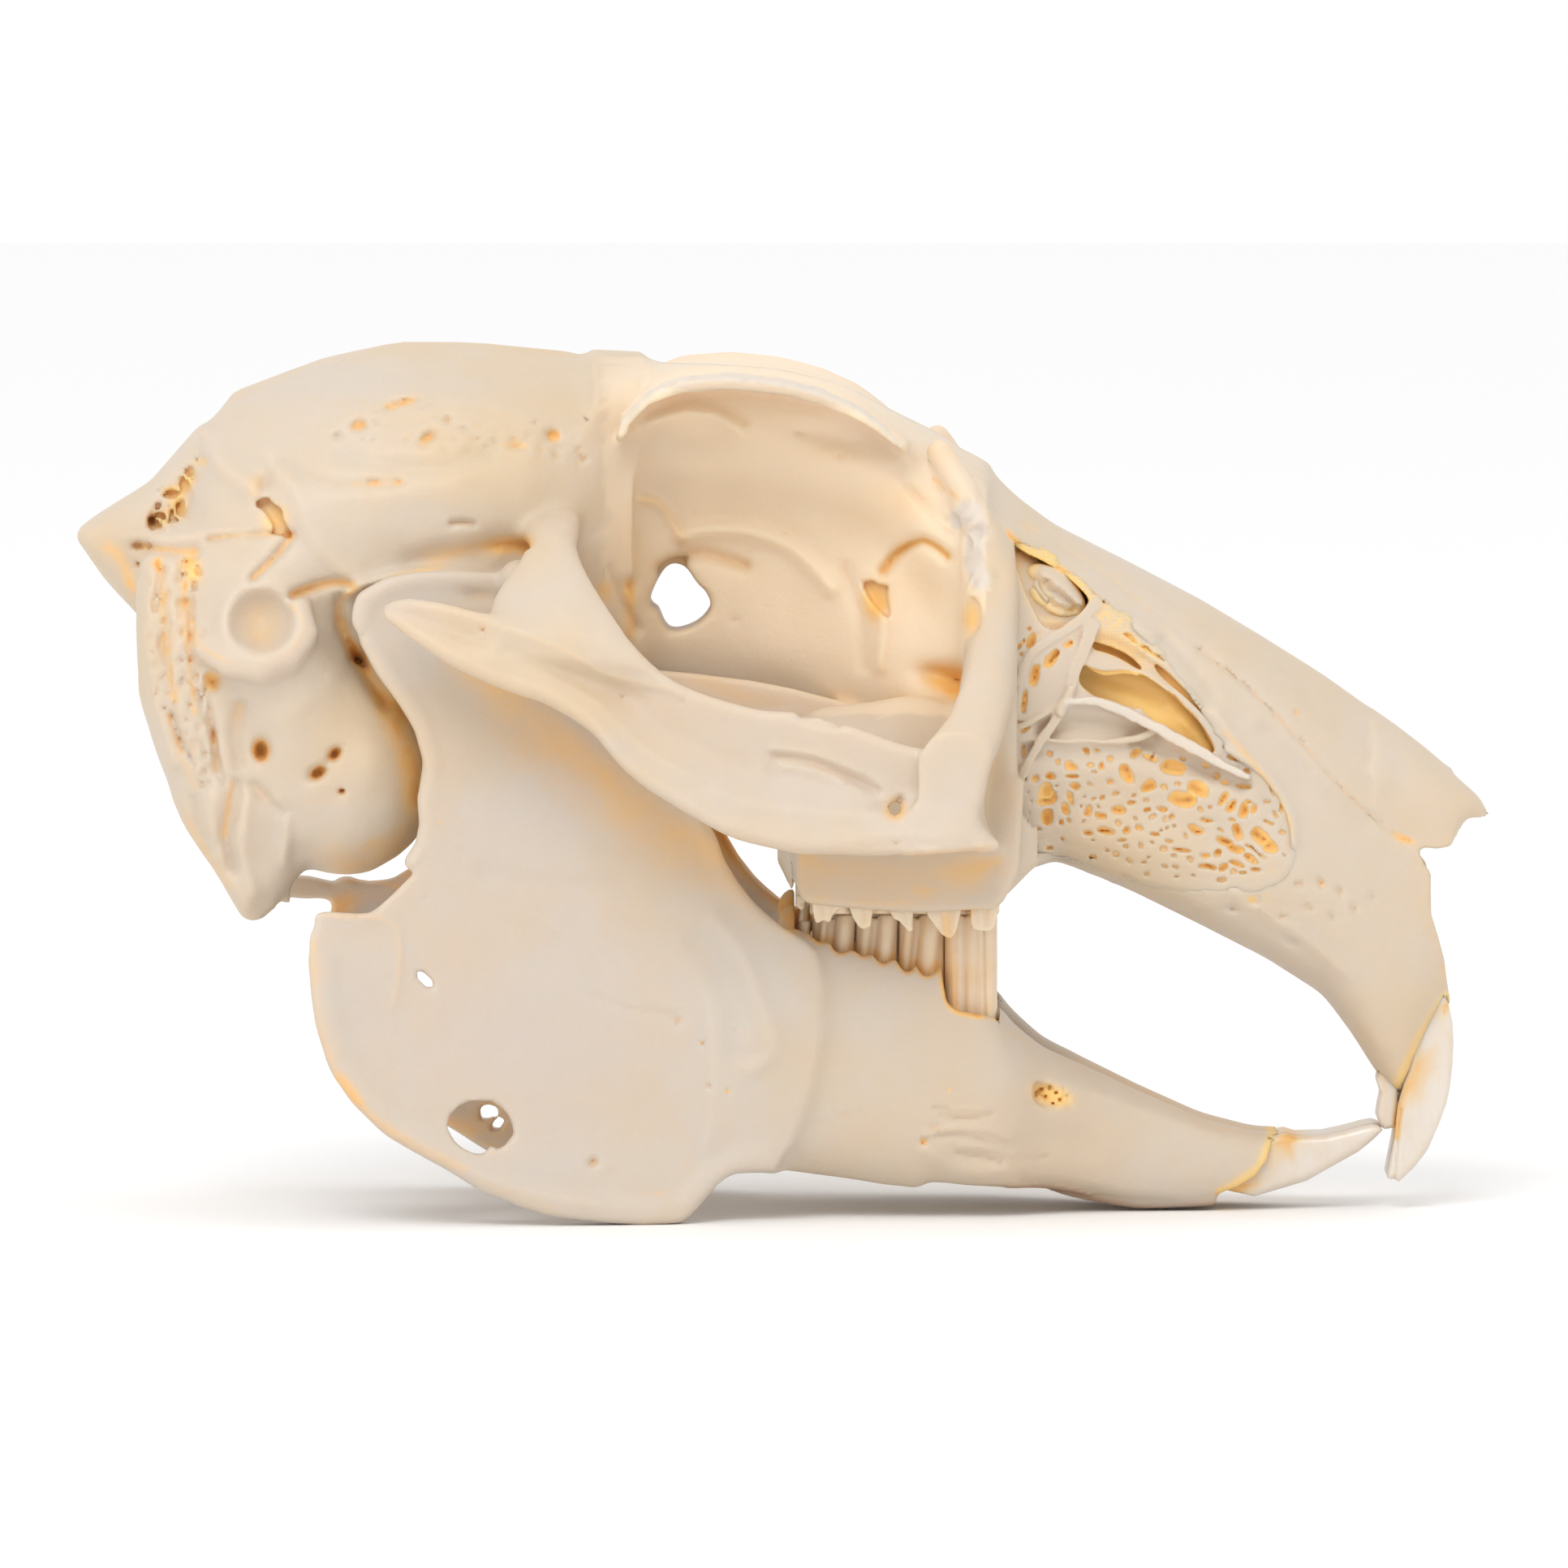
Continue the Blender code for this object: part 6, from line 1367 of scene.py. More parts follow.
def net_field(F, D):
    """The openwork itself, on a finer grid: a thick sheet with bowls and windows."""
    N = Field((11.2, 3.4, 16.6), (29.6, 11.4, 39.2), H_NET)
    Dn = depth_at(F, D, N.x, N.z)
    gx, gz = np.gradient(blur2(Dn, 6), N.h)
    cosn = (1 / np.sqrt(1 + gx ** 2 + gz ** 2)).astype(np.float32)
    sl = (slice(0, len(N.x)), slice(0, len(N.a)), slice(0, len(N.z)))
    U, V = N.uv(sl)
    e = (Dn[:, None, :] - N.a[None, :, None]) * cosn[:, None, :]
    net = polygon_map(chaikin(NET, 1), 50, 1.0)
    nd = net(U, V)
    n1, n2 = N.noise(sl, 0.55, 91), N.noise(sl, 0.5, 92)
    Uw, Vw = U + 2.2 * n1, V + 2.2 * n2
    holes = ellipse_map(CELLS, NET_BOX)
    extra = small_cells(60, 77, 2.0, 4.6, (1262, 1585, 925, 1082),
                        lambda u, v: holes(np.array([u]), np.array([v]))[0] > 5.0 and net(np.array([u]), np.array([v]))[0] < -6)
    wins = [polygon_map(chaikin(w, 1), 50, 1.0) for w in WINDOWS]
    hv = holes(Uw, Vw)
    fv = ellipse_map(extra, NET_BOX)(Uw, Vw)
    sk = sunk(U, V)
    edge = np.maximum(nd, 0) * GRID
    body = np.maximum(sk - e, e - sk - 1.8)
    # bowls, the wider the deeper
    deep = 0.14 + 0.075 * np.clip(-hv, 0, 9) + 0.06 * n2
    body = smax(body, -np.maximum(hv * GRID, e - sk - deep), 0.10)
    body = smax(body, -np.maximum(fv * GRID, e - sk - 0.22), 0.12)
    # the three-cornered window is floored by a curled scroll, with a gutter along its upper edge
    curl = line_map([('l', 6, 1.0, (1258, 672), (1285, 686), (1312, 703), (1334, 728), (1338, 744)),
                     ('l', 6, -0.42, (1290, 738), (1278, 722), (1283, 708), (1298, 708), (1312, 722), (1314, 738), (1303, 741)),
                     ('l', 5, 0.25, (1294, 718), (1298, 728)), ('l', 7, 0.28, (1272, 732), (1290, 754), (1318, 752)), ('s', 1300, 766, 24, 8, 10, -0.2)], NET_BOX)(U, V)
    body = smax(body, -np.maximum(wins[0](U, V) * GRID, e - 0.95 - curl), 0.12)
    # the long window and the slits over it
    body = smax(body, -wins[1](U + 0.8 * n1, V + 0.8 * n2) * GRID, 0.14)
    body = smax(body, -np.maximum(wins[2](U, V) * GRID, e - sk - 1.1), 0.12)
    body = smax(body, -np.maximum(wins[3](U, V) * GRID, e - sk - 0.7), 0.12)
    # bars
    for pts, radii, depth, half in ((STRUT, [9.5, 8, 7.0, 6.6, 6.6, 6.4, 5.8, 5.4, 5.4, 6, 6.6, 7], 0.10, 0.40),
                                    (STRUT_B, [7.5, 6.6, 6.2, 5.6, 5.2, 5, 5, 5], 0.12, 0.34),
                                    (STRUT_C, [4, 3.6, 3.4, 3.4, 3.4, 3.2], 0.22, 0.26),
                                    (LOW_BAR, [3.0, 2.8, 2.6, 2.6, 3.0, 4.0, 4.6, 5.0, 4.0], 0.42, 0.26)):
        sm = stroke_map(pts, radii, NET_BOX)(U + 0.8 * n1, V + 0.8 * n2) * GRID
        r = np.asarray(radii).mean() * GRID
        g = np.sqrt(np.maximum(sm + r, 0) ** 2 + (e - depth) ** 2 * (r / half) ** 2) - r
        body = smin(body, g, 0.18)
    # the ragged blade standing out over the lower openwork
    sm = stroke_map(BLADE, [2.5, 4.5, 5.5, 6, 6.5, 6.5, 6.5, 6.5, 7, 7.5, 7, 6.5, 5.5, 4.5, 3], NET_BOX)(U, V) * GRID
    rag = 0.5 * N.noise(sl, 0.42, 93) + 0.35 * N.noise(sl, 0.22, 94)
    g = np.sqrt(np.maximum(sm + 0.3, 0) ** 2 + np.maximum(np.abs(e - 0.12) - 0.32, 0) ** 2) - 0.3 + rag * 0.07
    body = smin(body, g, 0.16)
    # inner shelf over the long window
    shelf = polygon_map(chaikin([(1343, 803), (1362, 808), (1382, 815), (1400, 826), (1406, 834), (1390, 830), (1378, 830), (1362, 833),
                                 (1348, 828), (1340, 822)], 1), 50, 1.0)(U, V) * GRID
    body = smin(body, np.maximum(shelf, np.abs(e - 0.75) - 0.3), 0.15)
    # stop at the frame, dipping a little under it
    body = np.maximum(body, edge - 0.32)
    body = np.where(nd > 0, np.maximum(body, 0.03 - e), body)
    lim = np.where(sm < 0.8, -0.35 - e, 0.0 - e)
    body = np.maximum(body, lim)
    N.f[sl] = np.clip(body, -3, 3)
    for ax in range(3):
        for end in (0, -1):
            cut = [slice(None)] * 3
            cut[ax] = end
            N.f[tuple(cut)] = 1.0
    return N, net


def blur2(arr, r):
    out = arr.astype(np.float32)
    for ax in (0, 1):
        p = np.cumsum(np.pad(out, [(r + 1, r) if q == ax else (0, 0) for q in range(2)], mode="edge"), axis=ax, dtype=np.float64)
        n = out.shape[ax]
        hi, lo = [slice(None)] * 2, [slice(None)] * 2
        hi[ax], lo[ax] = slice(2 * r + 1, 2 * r + 1 + n), slice(0, n)
        out = ((p[tuple(hi)] - p[tuple(lo)]) / (2 * r + 1)).astype(np.float32)
    return out


def open_snout(F, D):
    """Take the plain wall away where the openwork sits, and fill the nose with its scrolls."""
    net = polygon_map(chaikin(NET, 1), 50, 1.0)
    sl = F.uvbox(1225, 1610, 640, 1110, 4.5, 11.0, 0.5)
    U, V = F.uv(sl)
    x, a, z = F.xyz(sl)
    e = D[sl[0], None, sl[2]] - a
    low = np.clip((V - 1010) / 50, 0, 1)
    d = np.maximum(net(U, V) * GRID + 0.05, np.maximum(e - (2.5 - 0.5 * low), -0.9 - e))
    F.cut(sl, d, 0.12)
    # scrolls inside
    F.add(*F.xloft([(1215, 690, 830, 1010, 6.6, 2.2, 2.4), (1280, 700, 840, 1030, 6.5, 2.2, 2.4), (1360, 735, 870, 1040, 6.3, 2.6, 2.4),
                    (1440, 775, 900, 1060, 6.0, 2.6, 2.4), (1520, 825, 945, 1085, 5.3, 2.4, 2.4), (1600, 880, 985, 1100, 3.6, 2.2, 2.2),
                    (1660, 915, 1010, 1100, 2.4, 2.2, 2.2)]), 0.3)
    F.add(*F.ellipsoid(pa(1297, 733, 6.0), ((1.6, 0, -1.5), (0, 2.0, 0), (0.9, 0, 1.0))), 0.5)
    press(F, [('l', 5, -0.5, (1262, 712), (1290, 726), (1318, 742), (1322, 752), (1300, 746), (1282, 728), (1290, 716)), ('l', 5, 0.3, (1284, 706), (1306, 722), (1330, 744)),
              ('l', 7, -0.3, (1275, 750), (1300, 764), (1325, 764)),
              ('l', 10, -0.4, (1330, 880), (1400, 905), (1460, 930)), ('l', 8, 0.3, (1440, 870), (1470, 900), (1490, 925)), ('l', 8, -0.25, (1340, 830), (1400, 850), (1450, 880))],
          (1225, 1600, 650, 1100), 3.0, 8.4, grain=0.05, seed=61)


# ===================================================================== teeth
LOWER_CHEEK = ((1168, 1228), (1110, 1161), (1057, 1103), (1004, 1050), (982, 997))
UPPER_CHEEK = ((1194, 1229), (1150, 1188), (1102, 1144), (1052, 1096), (1000, 1046), (980, 994))
SHARDS = {0: [(1196, 1112), (1196, 1136), (1199, 1144), (1208, 1147), (1220, 1147), (1225, 1143), (1228, 1130), (1229, 1112)],
          1: [(1144, 1112), (1142, 1127), (1153, 1142), (1160, 1151), (1166, 1155), (1172, 1156), (1178, 1148), (1184, 1124), (1186, 1112)],
          2: [(1096, 1112), (1095, 1121), (1101, 1132), (1108, 1135), (1118, 1146), (1121, 1148), (1125, 1146), (1126, 1130), (1128, 1112)],
          3: [(1046, 1110), (1046, 1118), (1051, 1131), (1058, 1142), (1064, 1145), (1072, 1141), (1075, 1130), (1078, 1112)],
          4: [(1001, 1110), (1001, 1121), (1004, 1135), (1007, 1138), (1014, 1134), (1021, 1136), (1027, 1130), (1032, 1119), (1034, 1110)],
          5: [(981, 1104), (982, 1116), (987, 1122), (992, 1118), (994, 1104)]}


def column(T, uc, ru, a0, a1, v0, v1, lean=0.0, e=2.8, vref=1180):
    """Upright prism with a rounded section."""
    sl = (slice(0, len(T.x)), slice(0, len(T.a)), slice(0, len(T.z)))
    U, V = T.uv(sl)
    _, a, _ = T.xyz(sl)
    ac, ra = (a0 + a1) / 2, (a1 - a0) / 2
    p = np.abs(U - uc - (vref - V) * lean) / ru + 1e-4
    q = np.abs(a - ac) / ra + 1e-4
    g = (p ** e + q ** e) ** (1 / e)
    d = (g - 1) * min(ru * GRID, ra)
    return sl, smax(d, np.maximum(v0 - V, V - v1) * GRID, 0.12)


def upper_cheek(T, k):
    ua, ub = UPPER_CHEEK[k]
    um, w = (ua + ub) / 2, (ub - ua) / 2
    a0, a1 = (6.35, 10.85) if k not in (0, 5) else ((6.8, 10.5) if k == 0 else (7.5, 9.7))
    if k == 5:
        T.add(*column(T, um, w, a0, a1, 990, 1116))
    else:
        T.add(*column(T, um, w + 2.4, a0 + 0.2, a1 - 0.45, 990, 1126, 0.0, 5.0))
        T.add(*column(T, ua + w * 0.62, w * 0.62, a0, a1 - 0.1, 990, 1118))
        T.add(*column(T, ub - w * 0.58, w * 0.58, a0 + 0.1, a1, 990, 1120), 0.12)
        T.cut(*T.tube([pa(um, 985, a0 - 0.1), pa(um, 1130, a0 - 0.1)], 0.3), 0.1)
    top = a1 + (0.05 if k else 0.3)
    lean = Map(900, 1300, 1080, 1180, 10.0)
    lean.m = (top - np.clip(lean.v - 1112, 0, 60) * GRID * 0.16 + 0 * lean.u).astype(np.float32)
    thick = 0.75 if k else 1.3
    inner = shifted(lean, -thick)
    inner.m = inner.m + np.clip(lean.v - 1118, 0, 60) * GRID * 0.22 * np.ones_like(lean.u)
    inner.m = np.minimum(inner.m, lean.m - 0.2).astype(np.float32)
    T.add(*T.plate(polygon_map(SHARDS[k], 50, 1.0), lean, inner, 0.09), 0.12)
    tip = np.array(SHARDS[k])[:, 1].max()
    press(T, [('l', 2.2, 0.06, (um - 6, 1114), (um - 2, tip - 4)), ('l', 3, -0.09, (um + 4, 1114), (um + 3, tip - 8)),
              ('l', 2.4, -0.06, (um - 11, 1114), (um - 8, tip - 12))], (ua - 8, ub + 8, 1095, 1165), a1 - 1.0, 12)


def lower_cheek(T, k):
    ua, ub = LOWER_CHEEK[k]
    w = ub - ua
    if k == 0:
        T.add(*column(T, (ua + ub) / 2 - 1.8, w / 2 + 1.8, 4.6, 8.0, 1128, 1330, 0.0, 6.0))
        for uc, ru, a1 in ((ua + 9, 13, 8.12), (ua + 29, 14, 8.04), (ub - 13, 13.0, 8.12)):
            T.add(*column(T, uc, ru, 4.6, a1, 1128, 1330, 0.0, 2.6), 0.14)
        press(T, [('l', 2, -0.10, (ua + 21, 1125), (ua + 20, 1260)), ('l', 1.6, -0.06, (ua + 34, 1125), (ua + 33, 1260)), ('l', 1.6, -0.08, (ua + 44, 1125), (ua + 45, 1260)),
                  ('l', 1.2, -0.04, (ua + 10, 1125), (ua + 10, 1240))], (ua - 8, ub + 8, 1110, 1280), 6.8, 9)
    elif k == 4:
        T.add(*column(T, (ua + ub) / 2, w / 2, 5.3, 7.5, 1134, 1330, 0.05))
    else:
        nar, wid = {1: ((1116.5, 9.0), (1142.5, 16.0)), 2: ((1064, 9.5), (1088.5, 13.5)), 3: ((1011, 7.5), (1036, 14.0))}[k]
        T.add(*column(T, (ua + ub) / 2, w / 2 + 2.8, 4.8, 7.6, 1132, 1330, 0.0, 6.0))
        T.add(*column(T, nar[0], nar[1] + 1.0, 4.9, 7.9, 1130, 1330, 0.1, 2.4), 0.1)
        T.add(*column(T, wid[0], wid[1] + 0.5, 4.6, 8.2, 1127, 1330, 0.1, 2.3), 0.1)


def upper_incisor(T):
    T.add(*T.plate(polygon_map(UPPER_INCISOR, 50, 1.0), 2.66, 0.15, 0.42))
    T.cut(*T.tube([pa(u, v, 1.0) for u, v in ((1766, 1196), (1782, 1220), (1789, 1240), (1794, 1262), (1795, 1285), (1794, 1312), (1790, 1342),
                                              (1785, 1364), (1775, 1389), (1759, 1423), (1742, 1444), (1728, 1456))], 0.24), 0.2)
    emboss(T, [('l', 1.8, -0.16, (1726, 1366), (1724, 1388), (1721, 1420), (1718, 1458))], (1690, 1800, 1340, 1470), 2.2, 4)


def peg_incisor(T):
    T.add(*T.plate(polygon_map(PEG, 50, 1.0), 1.9, 0.42, 0.3))


def lower_incisor(T):
    shape, mid = lower_incisor_maps()
    T.add(*T.plate(shape, shifted(mid, 1.26), shifted(mid, -1.26), 0.5))


TEETH = [("upper_incisor", upper_incisor, "incisor", (1690, 1800, 1160, 1466), (0.0, 3.2), 5200),
         ("peg_incisor", peg_incisor, "incisor", (1688, 1732, 1270, 1400), (0.0, 2.4), 2200),
         ("lower_incisor", lower_incisor, "incisor", (1420, 1714, 1378, 1486), (0.0, 4.4), 5200)]
for k in range(6):
    ua, ub = UPPER_CHEEK[k]
    TEETH.append(("upper_cheek_%%s_%d" % (k + 1), (lambda T, k=k: upper_cheek(T, k)), "cheek_tooth",
                  (ua - 14, ub + 10, 980, 1164), (5.8, 11.6), 3800))
for k in range(5):
    ua, ub = LOWER_CHEEK[k]
    TEETH.append(("lower_cheek_%%s_%d" % (k + 1), (lambda T, k=k: lower_cheek(T, k)), "cheek_tooth",
                  (ua - 22, ub + 14, 1118, 1338), (4.1, 8.8), 3800))


# ================================================================= materials
def ramp(nt, stops, fac):
    r = nt.nodes.new("ShaderNodeValToRGB")
    el = r.color_ramp.elements
    el[0].position, el[0].color = stops[0][0], (*stops[0][1], 1)
    el[1].position, el[1].color = stops[-1][0], (*stops[-1][1], 1)
    for p, c in stops[1:-1]:
        e = el.new(p)
        e.color = (*c, 1)
    nt.links.new(fac, r.inputs["Fac"])
    return r.outputs["Color"]


def noise_tex(nt, vec, scale, detail=3.0, rough=0.55):
    n = nt.nodes.new("ShaderNodeTexNoise")
    n.inputs["Scale"].default_value = scale
    n.inputs["Detail"].default_value = detail
    n.inputs["Roughness"].default_value = rough
    nt.links.new(vec, n.inputs["Vector"])
    return n.outputs["Fac"]


def maths(nt, op, a, b=None, c=None, clamp=False):
    n = nt.nodes.new("ShaderNodeMath")
    n.operation = op
    n.use_clamp = clamp
    for i, x in enumerate((a, b, c)):
        if x is None:
            continue
        if isinstance(x, (int, float)):
            n.inputs[i].default_value = x
        else:
            nt.links.new(x, n.inputs[i])
    return n.outputs[0]


def span(nt, x, lo, hi):
    n = nt.nodes.new("ShaderNodeMapRange")
    n.interpolation_type = 'SMOOTHSTEP'
    n.inputs["From Min"].default_value = lo
    n.inputs["From Max"].default_value = hi
    nt.links.new(x, n.inputs["Value"])
    return n.outputs["Result"]


def blend_colour(nt, fac, a, b, mode='MIX'):
    n = nt.nodes.new("ShaderNodeMix")
    n.data_type = 'RGBA'
    n.blend_type = mode
    if isinstance(fac, (int, float)):
        n.inputs[0].default_value = fac
    else:
        nt.links.new(fac, n.inputs[0])
    for sock, x in ((n.inputs[6], a), (n.inputs[7], b)):
        if isinstance(x, tuple):
            sock.default_value = (*x, 1)
        else:
            nt.links.new(x, sock)
    return n.outputs[2]


def attr(nt, name):
    n = nt.nodes.new("ShaderNodeAttribute")
    n.attribute_name = name
    return n.outputs["Fac"]


def srgb(r, g, b):
    return tuple(((c / 255 + 0.055) / 1.055) ** 2.4 if c > 10.3 else c / 255 / 12.92 for c in (r, g, b))


def bone_material(name, light, warm):
    mat = bpy.data.materials.new(name)
    mat.use_nodes = True
    nt = mat.node_tree
    bsdf = nt.nodes["Principled BSDF"]
    co = nt.nodes.new("ShaderNodeTexCoord").outputs["Object"]
    big = noise_tex(nt, co, 90, 3)
    mid = noise_tex(nt, co, 420, 4)
    fine = noise_tex(nt, co, 2600, 4, 0.6)
    grain = noise_tex(nt, co, 6500, 3, 0.6)
    base = blend_colour(nt, span(nt, big, 0.35, 0.68), light, warm)
    base = blend_colour(nt, maths(nt, 'MULTIPLY', span(nt, mid, 0.45, 0.75), 0.35), base, srgb(204, 184, 160))
    # painted light: colour made brighter and warmer in wide hollows and in the orbit, standing for light that gathers
    # in thin bone
    base = blend_colour(nt, attr(nt, "shade"), base, srgb(242, 221, 192))
    # hollows hold warmer, browner colour: partly old grease, partly painted shade and bounced light
    cav = attr(nt, "hollow")
    tint = maths(nt, 'MULTIPLY_ADD', fine, 0.25, maths(nt, 'ADD', cav, -0.12))
    base = blend_colour(nt, span(nt, tint, 0.12, 0.80), base, srgb(226, 190, 142))
    base = blend_colour(nt, span(nt, tint, 0.55, 1.1), base, srgb(236, 180, 108))
    # old grease, yellow to orange; the same paint also carries painted shade under the cheek arch and on the shaded
    # side of the ear bulla
    st = maths(nt, 'MULTIPLY', attr(nt, "stain_and_shade"), maths(nt, 'MULTIPLY_ADD', mid, 1.1, 0.42))
    base = blend_colour(nt, span(nt, st, 0.05, 0.85), base, srgb(228, 184, 122))
    base = blend_colour(nt, span(nt, st, 0.6, 1.2), base, srgb(222, 156, 76))
    # golden colour: grease along the incisor joints, and painted light shining through thin bone into pits and openings
    base = blend_colour(nt, span(nt, attr(nt, "gold"), 0.0, 1.0), base, srgb(240, 198, 122))
    # painted glow: surfaces deep inside the snout behind the openwork made bright golden, for light that shines through
    # the thin bone
    base = blend_colour(nt, attr(nt, "glow"), base, srgb(255, 218, 142))
    # chalky rims, and paler, cooler patches
    base = blend_colour(nt, maths(nt, 'MULTIPLY', attr(nt, "cool"), 0.85), base, srgb(196, 187, 178))
    base = blend_colour(nt, span(nt, attr(nt, "chalk"), 0.1, 0.8), base, srgb(210, 199, 186))
    # darker brown: dark spots in the broken cells of the occiput, and painted shade on the underside of the jaw's front
    base = blend_colour(nt, span(nt, attr(nt, "dark_spots_and_shade"), 0.1, 0.9), base, srgb(140, 84, 40))
    nt.links.new(base, bsdf.inputs["Base Color"])
    rgh = maths(nt, 'MULTIPLY_ADD', mid, 0.18, 0.40)
    rgh = maths(nt, 'ADD', rgh, maths(nt, 'MULTIPLY', attr(nt, "chalk"), 0.3), clamp=True)
    nt.links.new(rgh, bsdf.inputs["Roughness"])
    bsdf.inputs["IOR"].default_value = 1.5
    bsdf.inputs["Specular IOR Level"].default_value = 0.35
    bsdf.inputs["Subsurface Weight"].default_value = 0.35
    bsdf.inputs["Subsurface Radius"].default_value = (1.0, 0.58, 0.30)
    bsdf.inputs["Subsurface Scale"].default_value = 0.0016
    hgt = maths(nt, 'MULTIPLY_ADD', fine, 0.6, maths(nt, 'MULTIPLY', grain, 0.4))
    hgt = maths(nt, 'MULTIPLY_ADD', mid, 2.2, hgt)
    bump = nt.nodes.new("ShaderNodeBump")
    bump.inputs["Strength"].default_value = 0.3
    bump.inputs["Distance"].default_value = 0.00012
    nt.links.new(hgt, bump.inputs["Height"])
    nt.links.new(bump.outputs["Normal"], bsdf.inputs["Normal"])
    return mat


def tooth_material(name, light, warm, root, gloss):
    """Hard, slightly clear material with fine streaks along the tooth."""
    mat = bpy.data.materials.new(name)
    mat.use_nodes = True
    nt = mat.node_tree
    bsdf = nt.nodes["Principled BSDF"]
    co = nt.nodes.new("ShaderNodeTexCoord").outputs["Object"]
    mp = nt.nodes.new("ShaderNodeMapping")
    mp.inputs["Scale"].default_value = (1.0, 1.0, 0.12)
    nt.links.new(co, mp.inputs["Vector"])
    streak = noise_tex(nt, mp.outputs["Vector"], 3000, 3)
    cloud = noise_tex(nt, co, 600, 3)
    base = blend_colour(nt, span(nt, cloud, 0.3, 0.7), light, warm)
    base = blend_colour(nt, maths(nt, 'MULTIPLY', span(nt, streak, 0.5, 0.8), 0.4), base, root)
    st = maths(nt, 'MULTIPLY', attr(nt, "stain_and_shade"), maths(nt, 'MULTIPLY_ADD', cloud, 1.0, 0.5))
    base = blend_colour(nt, span(nt, st, 0.05, 0.8), base, root)
    base = blend_colour(nt, span(nt, st, 0.55, 1.2), base, srgb(218, 164, 88))
    nt.links.new(base, bsdf.inputs["Base Color"])
    nt.links.new(maths(nt, 'MULTIPLY_ADD', streak, 0.14, gloss), bsdf.inputs["Roughness"])
    bsdf.inputs["IOR"].default_value = 1.6
    bsdf.inputs["Specular IOR Level"].default_value = 0.5
    bsdf.inputs["Subsurface Weight"].default_value = 0.3
    bsdf.inputs["Subsurface Radius"].default_value = (1.0, 0.7, 0.45)
    bsdf.inputs["Subsurface Scale"].default_value = 0.0014
    bump = nt.nodes.new("ShaderNodeBump")
    bump.inputs["Strength"].default_value = 0.12
    bump.inputs["Distance"].default_value = 0.00006
    nt.links.new(streak, bump.inputs["Height"])
    nt.links.new(bump.outputs["Normal"], bsdf.inputs["Normal"])
    return mat


# ==================================================================== colour
STAIN_AND_SHADE_SIDE = [
    ('l', 10, .8, (129, 672), (150, 690), (163, 728)), ('s', 195, 640, 20, 18, 0, .8), ('s', 221, 626, 16, 18, 0, .8), ('s', 212, 606, 16, 10, 0, .7),
    ('s', 233, 592, 12, 20, 20, .7), ('s', 250, 569, 12, 8, 0, .5), ('s', 236, 704, 15, 24, 0, 1.0), ('s', 194, 695, 5, 9, 0, .8), ('l', 6, .7, (172, 672), (205, 677), (240, 680)),
    ('s', 316, 598, 16, 26, 20, .5), ('l', 4, .9, (361, 659), (340, 685), (312, 712)), ('l', 5, .5, (258, 664), (292, 660), (330, 658)),
    ('l', 6, .8, (360, 733), (390, 722), (420, 717), (438, 725), (423, 737), (417, 752), (423, 776), (436, 802)),
    ('l', 12, .95, (434, 798), (452, 830), (470, 862), (488, 886)), ('l', 20, .5, (480, 880), (503, 930), (512, 985)), ('s', 261, 839, 9, 13, 0, 1.1),
    ('l', 8, .5, (196, 690), (204, 780), (214, 860)), ('l', 6, .5, (226, 720), (232, 800), (240, 880)), ('l', 5, .45, (206, 880), (222, 930), (240, 970)),
    ('s', 322, 924, 14, 18, 0, 1.1), ('s', 412, 929, 11, 8, 0, .9), ('s', 391, 953, 13, 8, -35, .9), ('s', 421, 975, 5, 5, 0, .8), ('l', 6, .7, (285, 965), (280, 1000), (276, 1030)),
    ('l', 8, .45, (229, 1010), (251, 1045), (283, 1093)), ('s', 324, 786, 30, 26, 0, .35), ('l', 5, .5, (237, 767), (246, 794), (282, 815), (318, 818), (360, 800), (376, 770), (360, 746)),
    ('l', 6, .95, (480, 501), (494, 497), (508, 493)), ('s', 442, 525, 12, 7, -12, .95), ('s', 465, 506, 5, 3, 0, .6), ('s', 526, 541, 14, 6, -32, .95), ('s', 500, 535, 9, 7, 0, .4),
    ('s', 452, 551, 6, 9, 30, .35), ('s', 552, 518, 4, 5, 0, .6), ('s', 634, 549, 20, 7, 8, .7), ('s', 682, 537, 9, 9, 0, 1.2), ('s', 685, 562, 4, 4, 0, .8), ('s', 659, 568, 10, 5, 0, .5),
    ('s', 719, 565, 5, 4, 0, .6), ('s', 461, 595, 11, 4, -8, .8), ('s', 491, 595, 6, 3, 0, .7), ('s', 436, 595, 8, 4, 0, .5), ('l', 8, .25, (379, 588), (417, 600), (455, 598), (490, 594)),
    ('s', 461, 449, 3, 2, 0, .6), ('l', 9, .22, (635, 440), (640, 470)), ('s', 568, 505, 12, 8, 0, .2), ('l', 4, .3, (600, 512), (625, 512)), ('s', 500, 580, 40, 14, 0, .2),
    ('l', 16, .55, (530, 690), (570, 678), (605, 672), (645, 668)), ('s', 625, 672, 26, 12, -8, .8), ('s', 650, 676, 12, 14, 0, .6), ('l', 4, .6, (478, 712), (500, 706), (540, 702)),
    ('l', 9, .5, (500, 738), (560, 734), (612, 740)), ('s', 596, 730, 22, 8, 8, .6), ('l', 5, .5, (556, 645), (569, 643), (583, 646)), ('s', 345, 640, 22, 20, 0, .35),
    *[('s', q[0], q[1], q[2] * 1.3, q[3] * 1.2, q[4], .42) for q in MASTOID_PITS], *[('s', q[0], q[1], q[2] * 1.3, q[3] * 1.3, q[4], .5) for q in ROOF_PITS],
    # the last four marks of the next line are painted shade on the lower, shaded side of the ear bulla
    ('s', 742, 728, 18, 15, 0, .75), ('l', 8, .7, (774, 722), (776, 780)), ('s', 725, 690, 16, 30, 0, .35), ('s', 400, 985, 60, 12, -10, .25), ('s', 462, 1040, 24, 12, -30, .45), ('l', 26, .55, (478, 860), (505, 930), (515, 1000), (480, 1060), (420, 1080)), ('s', 400, 1050, 60, 30, -10, .3)]
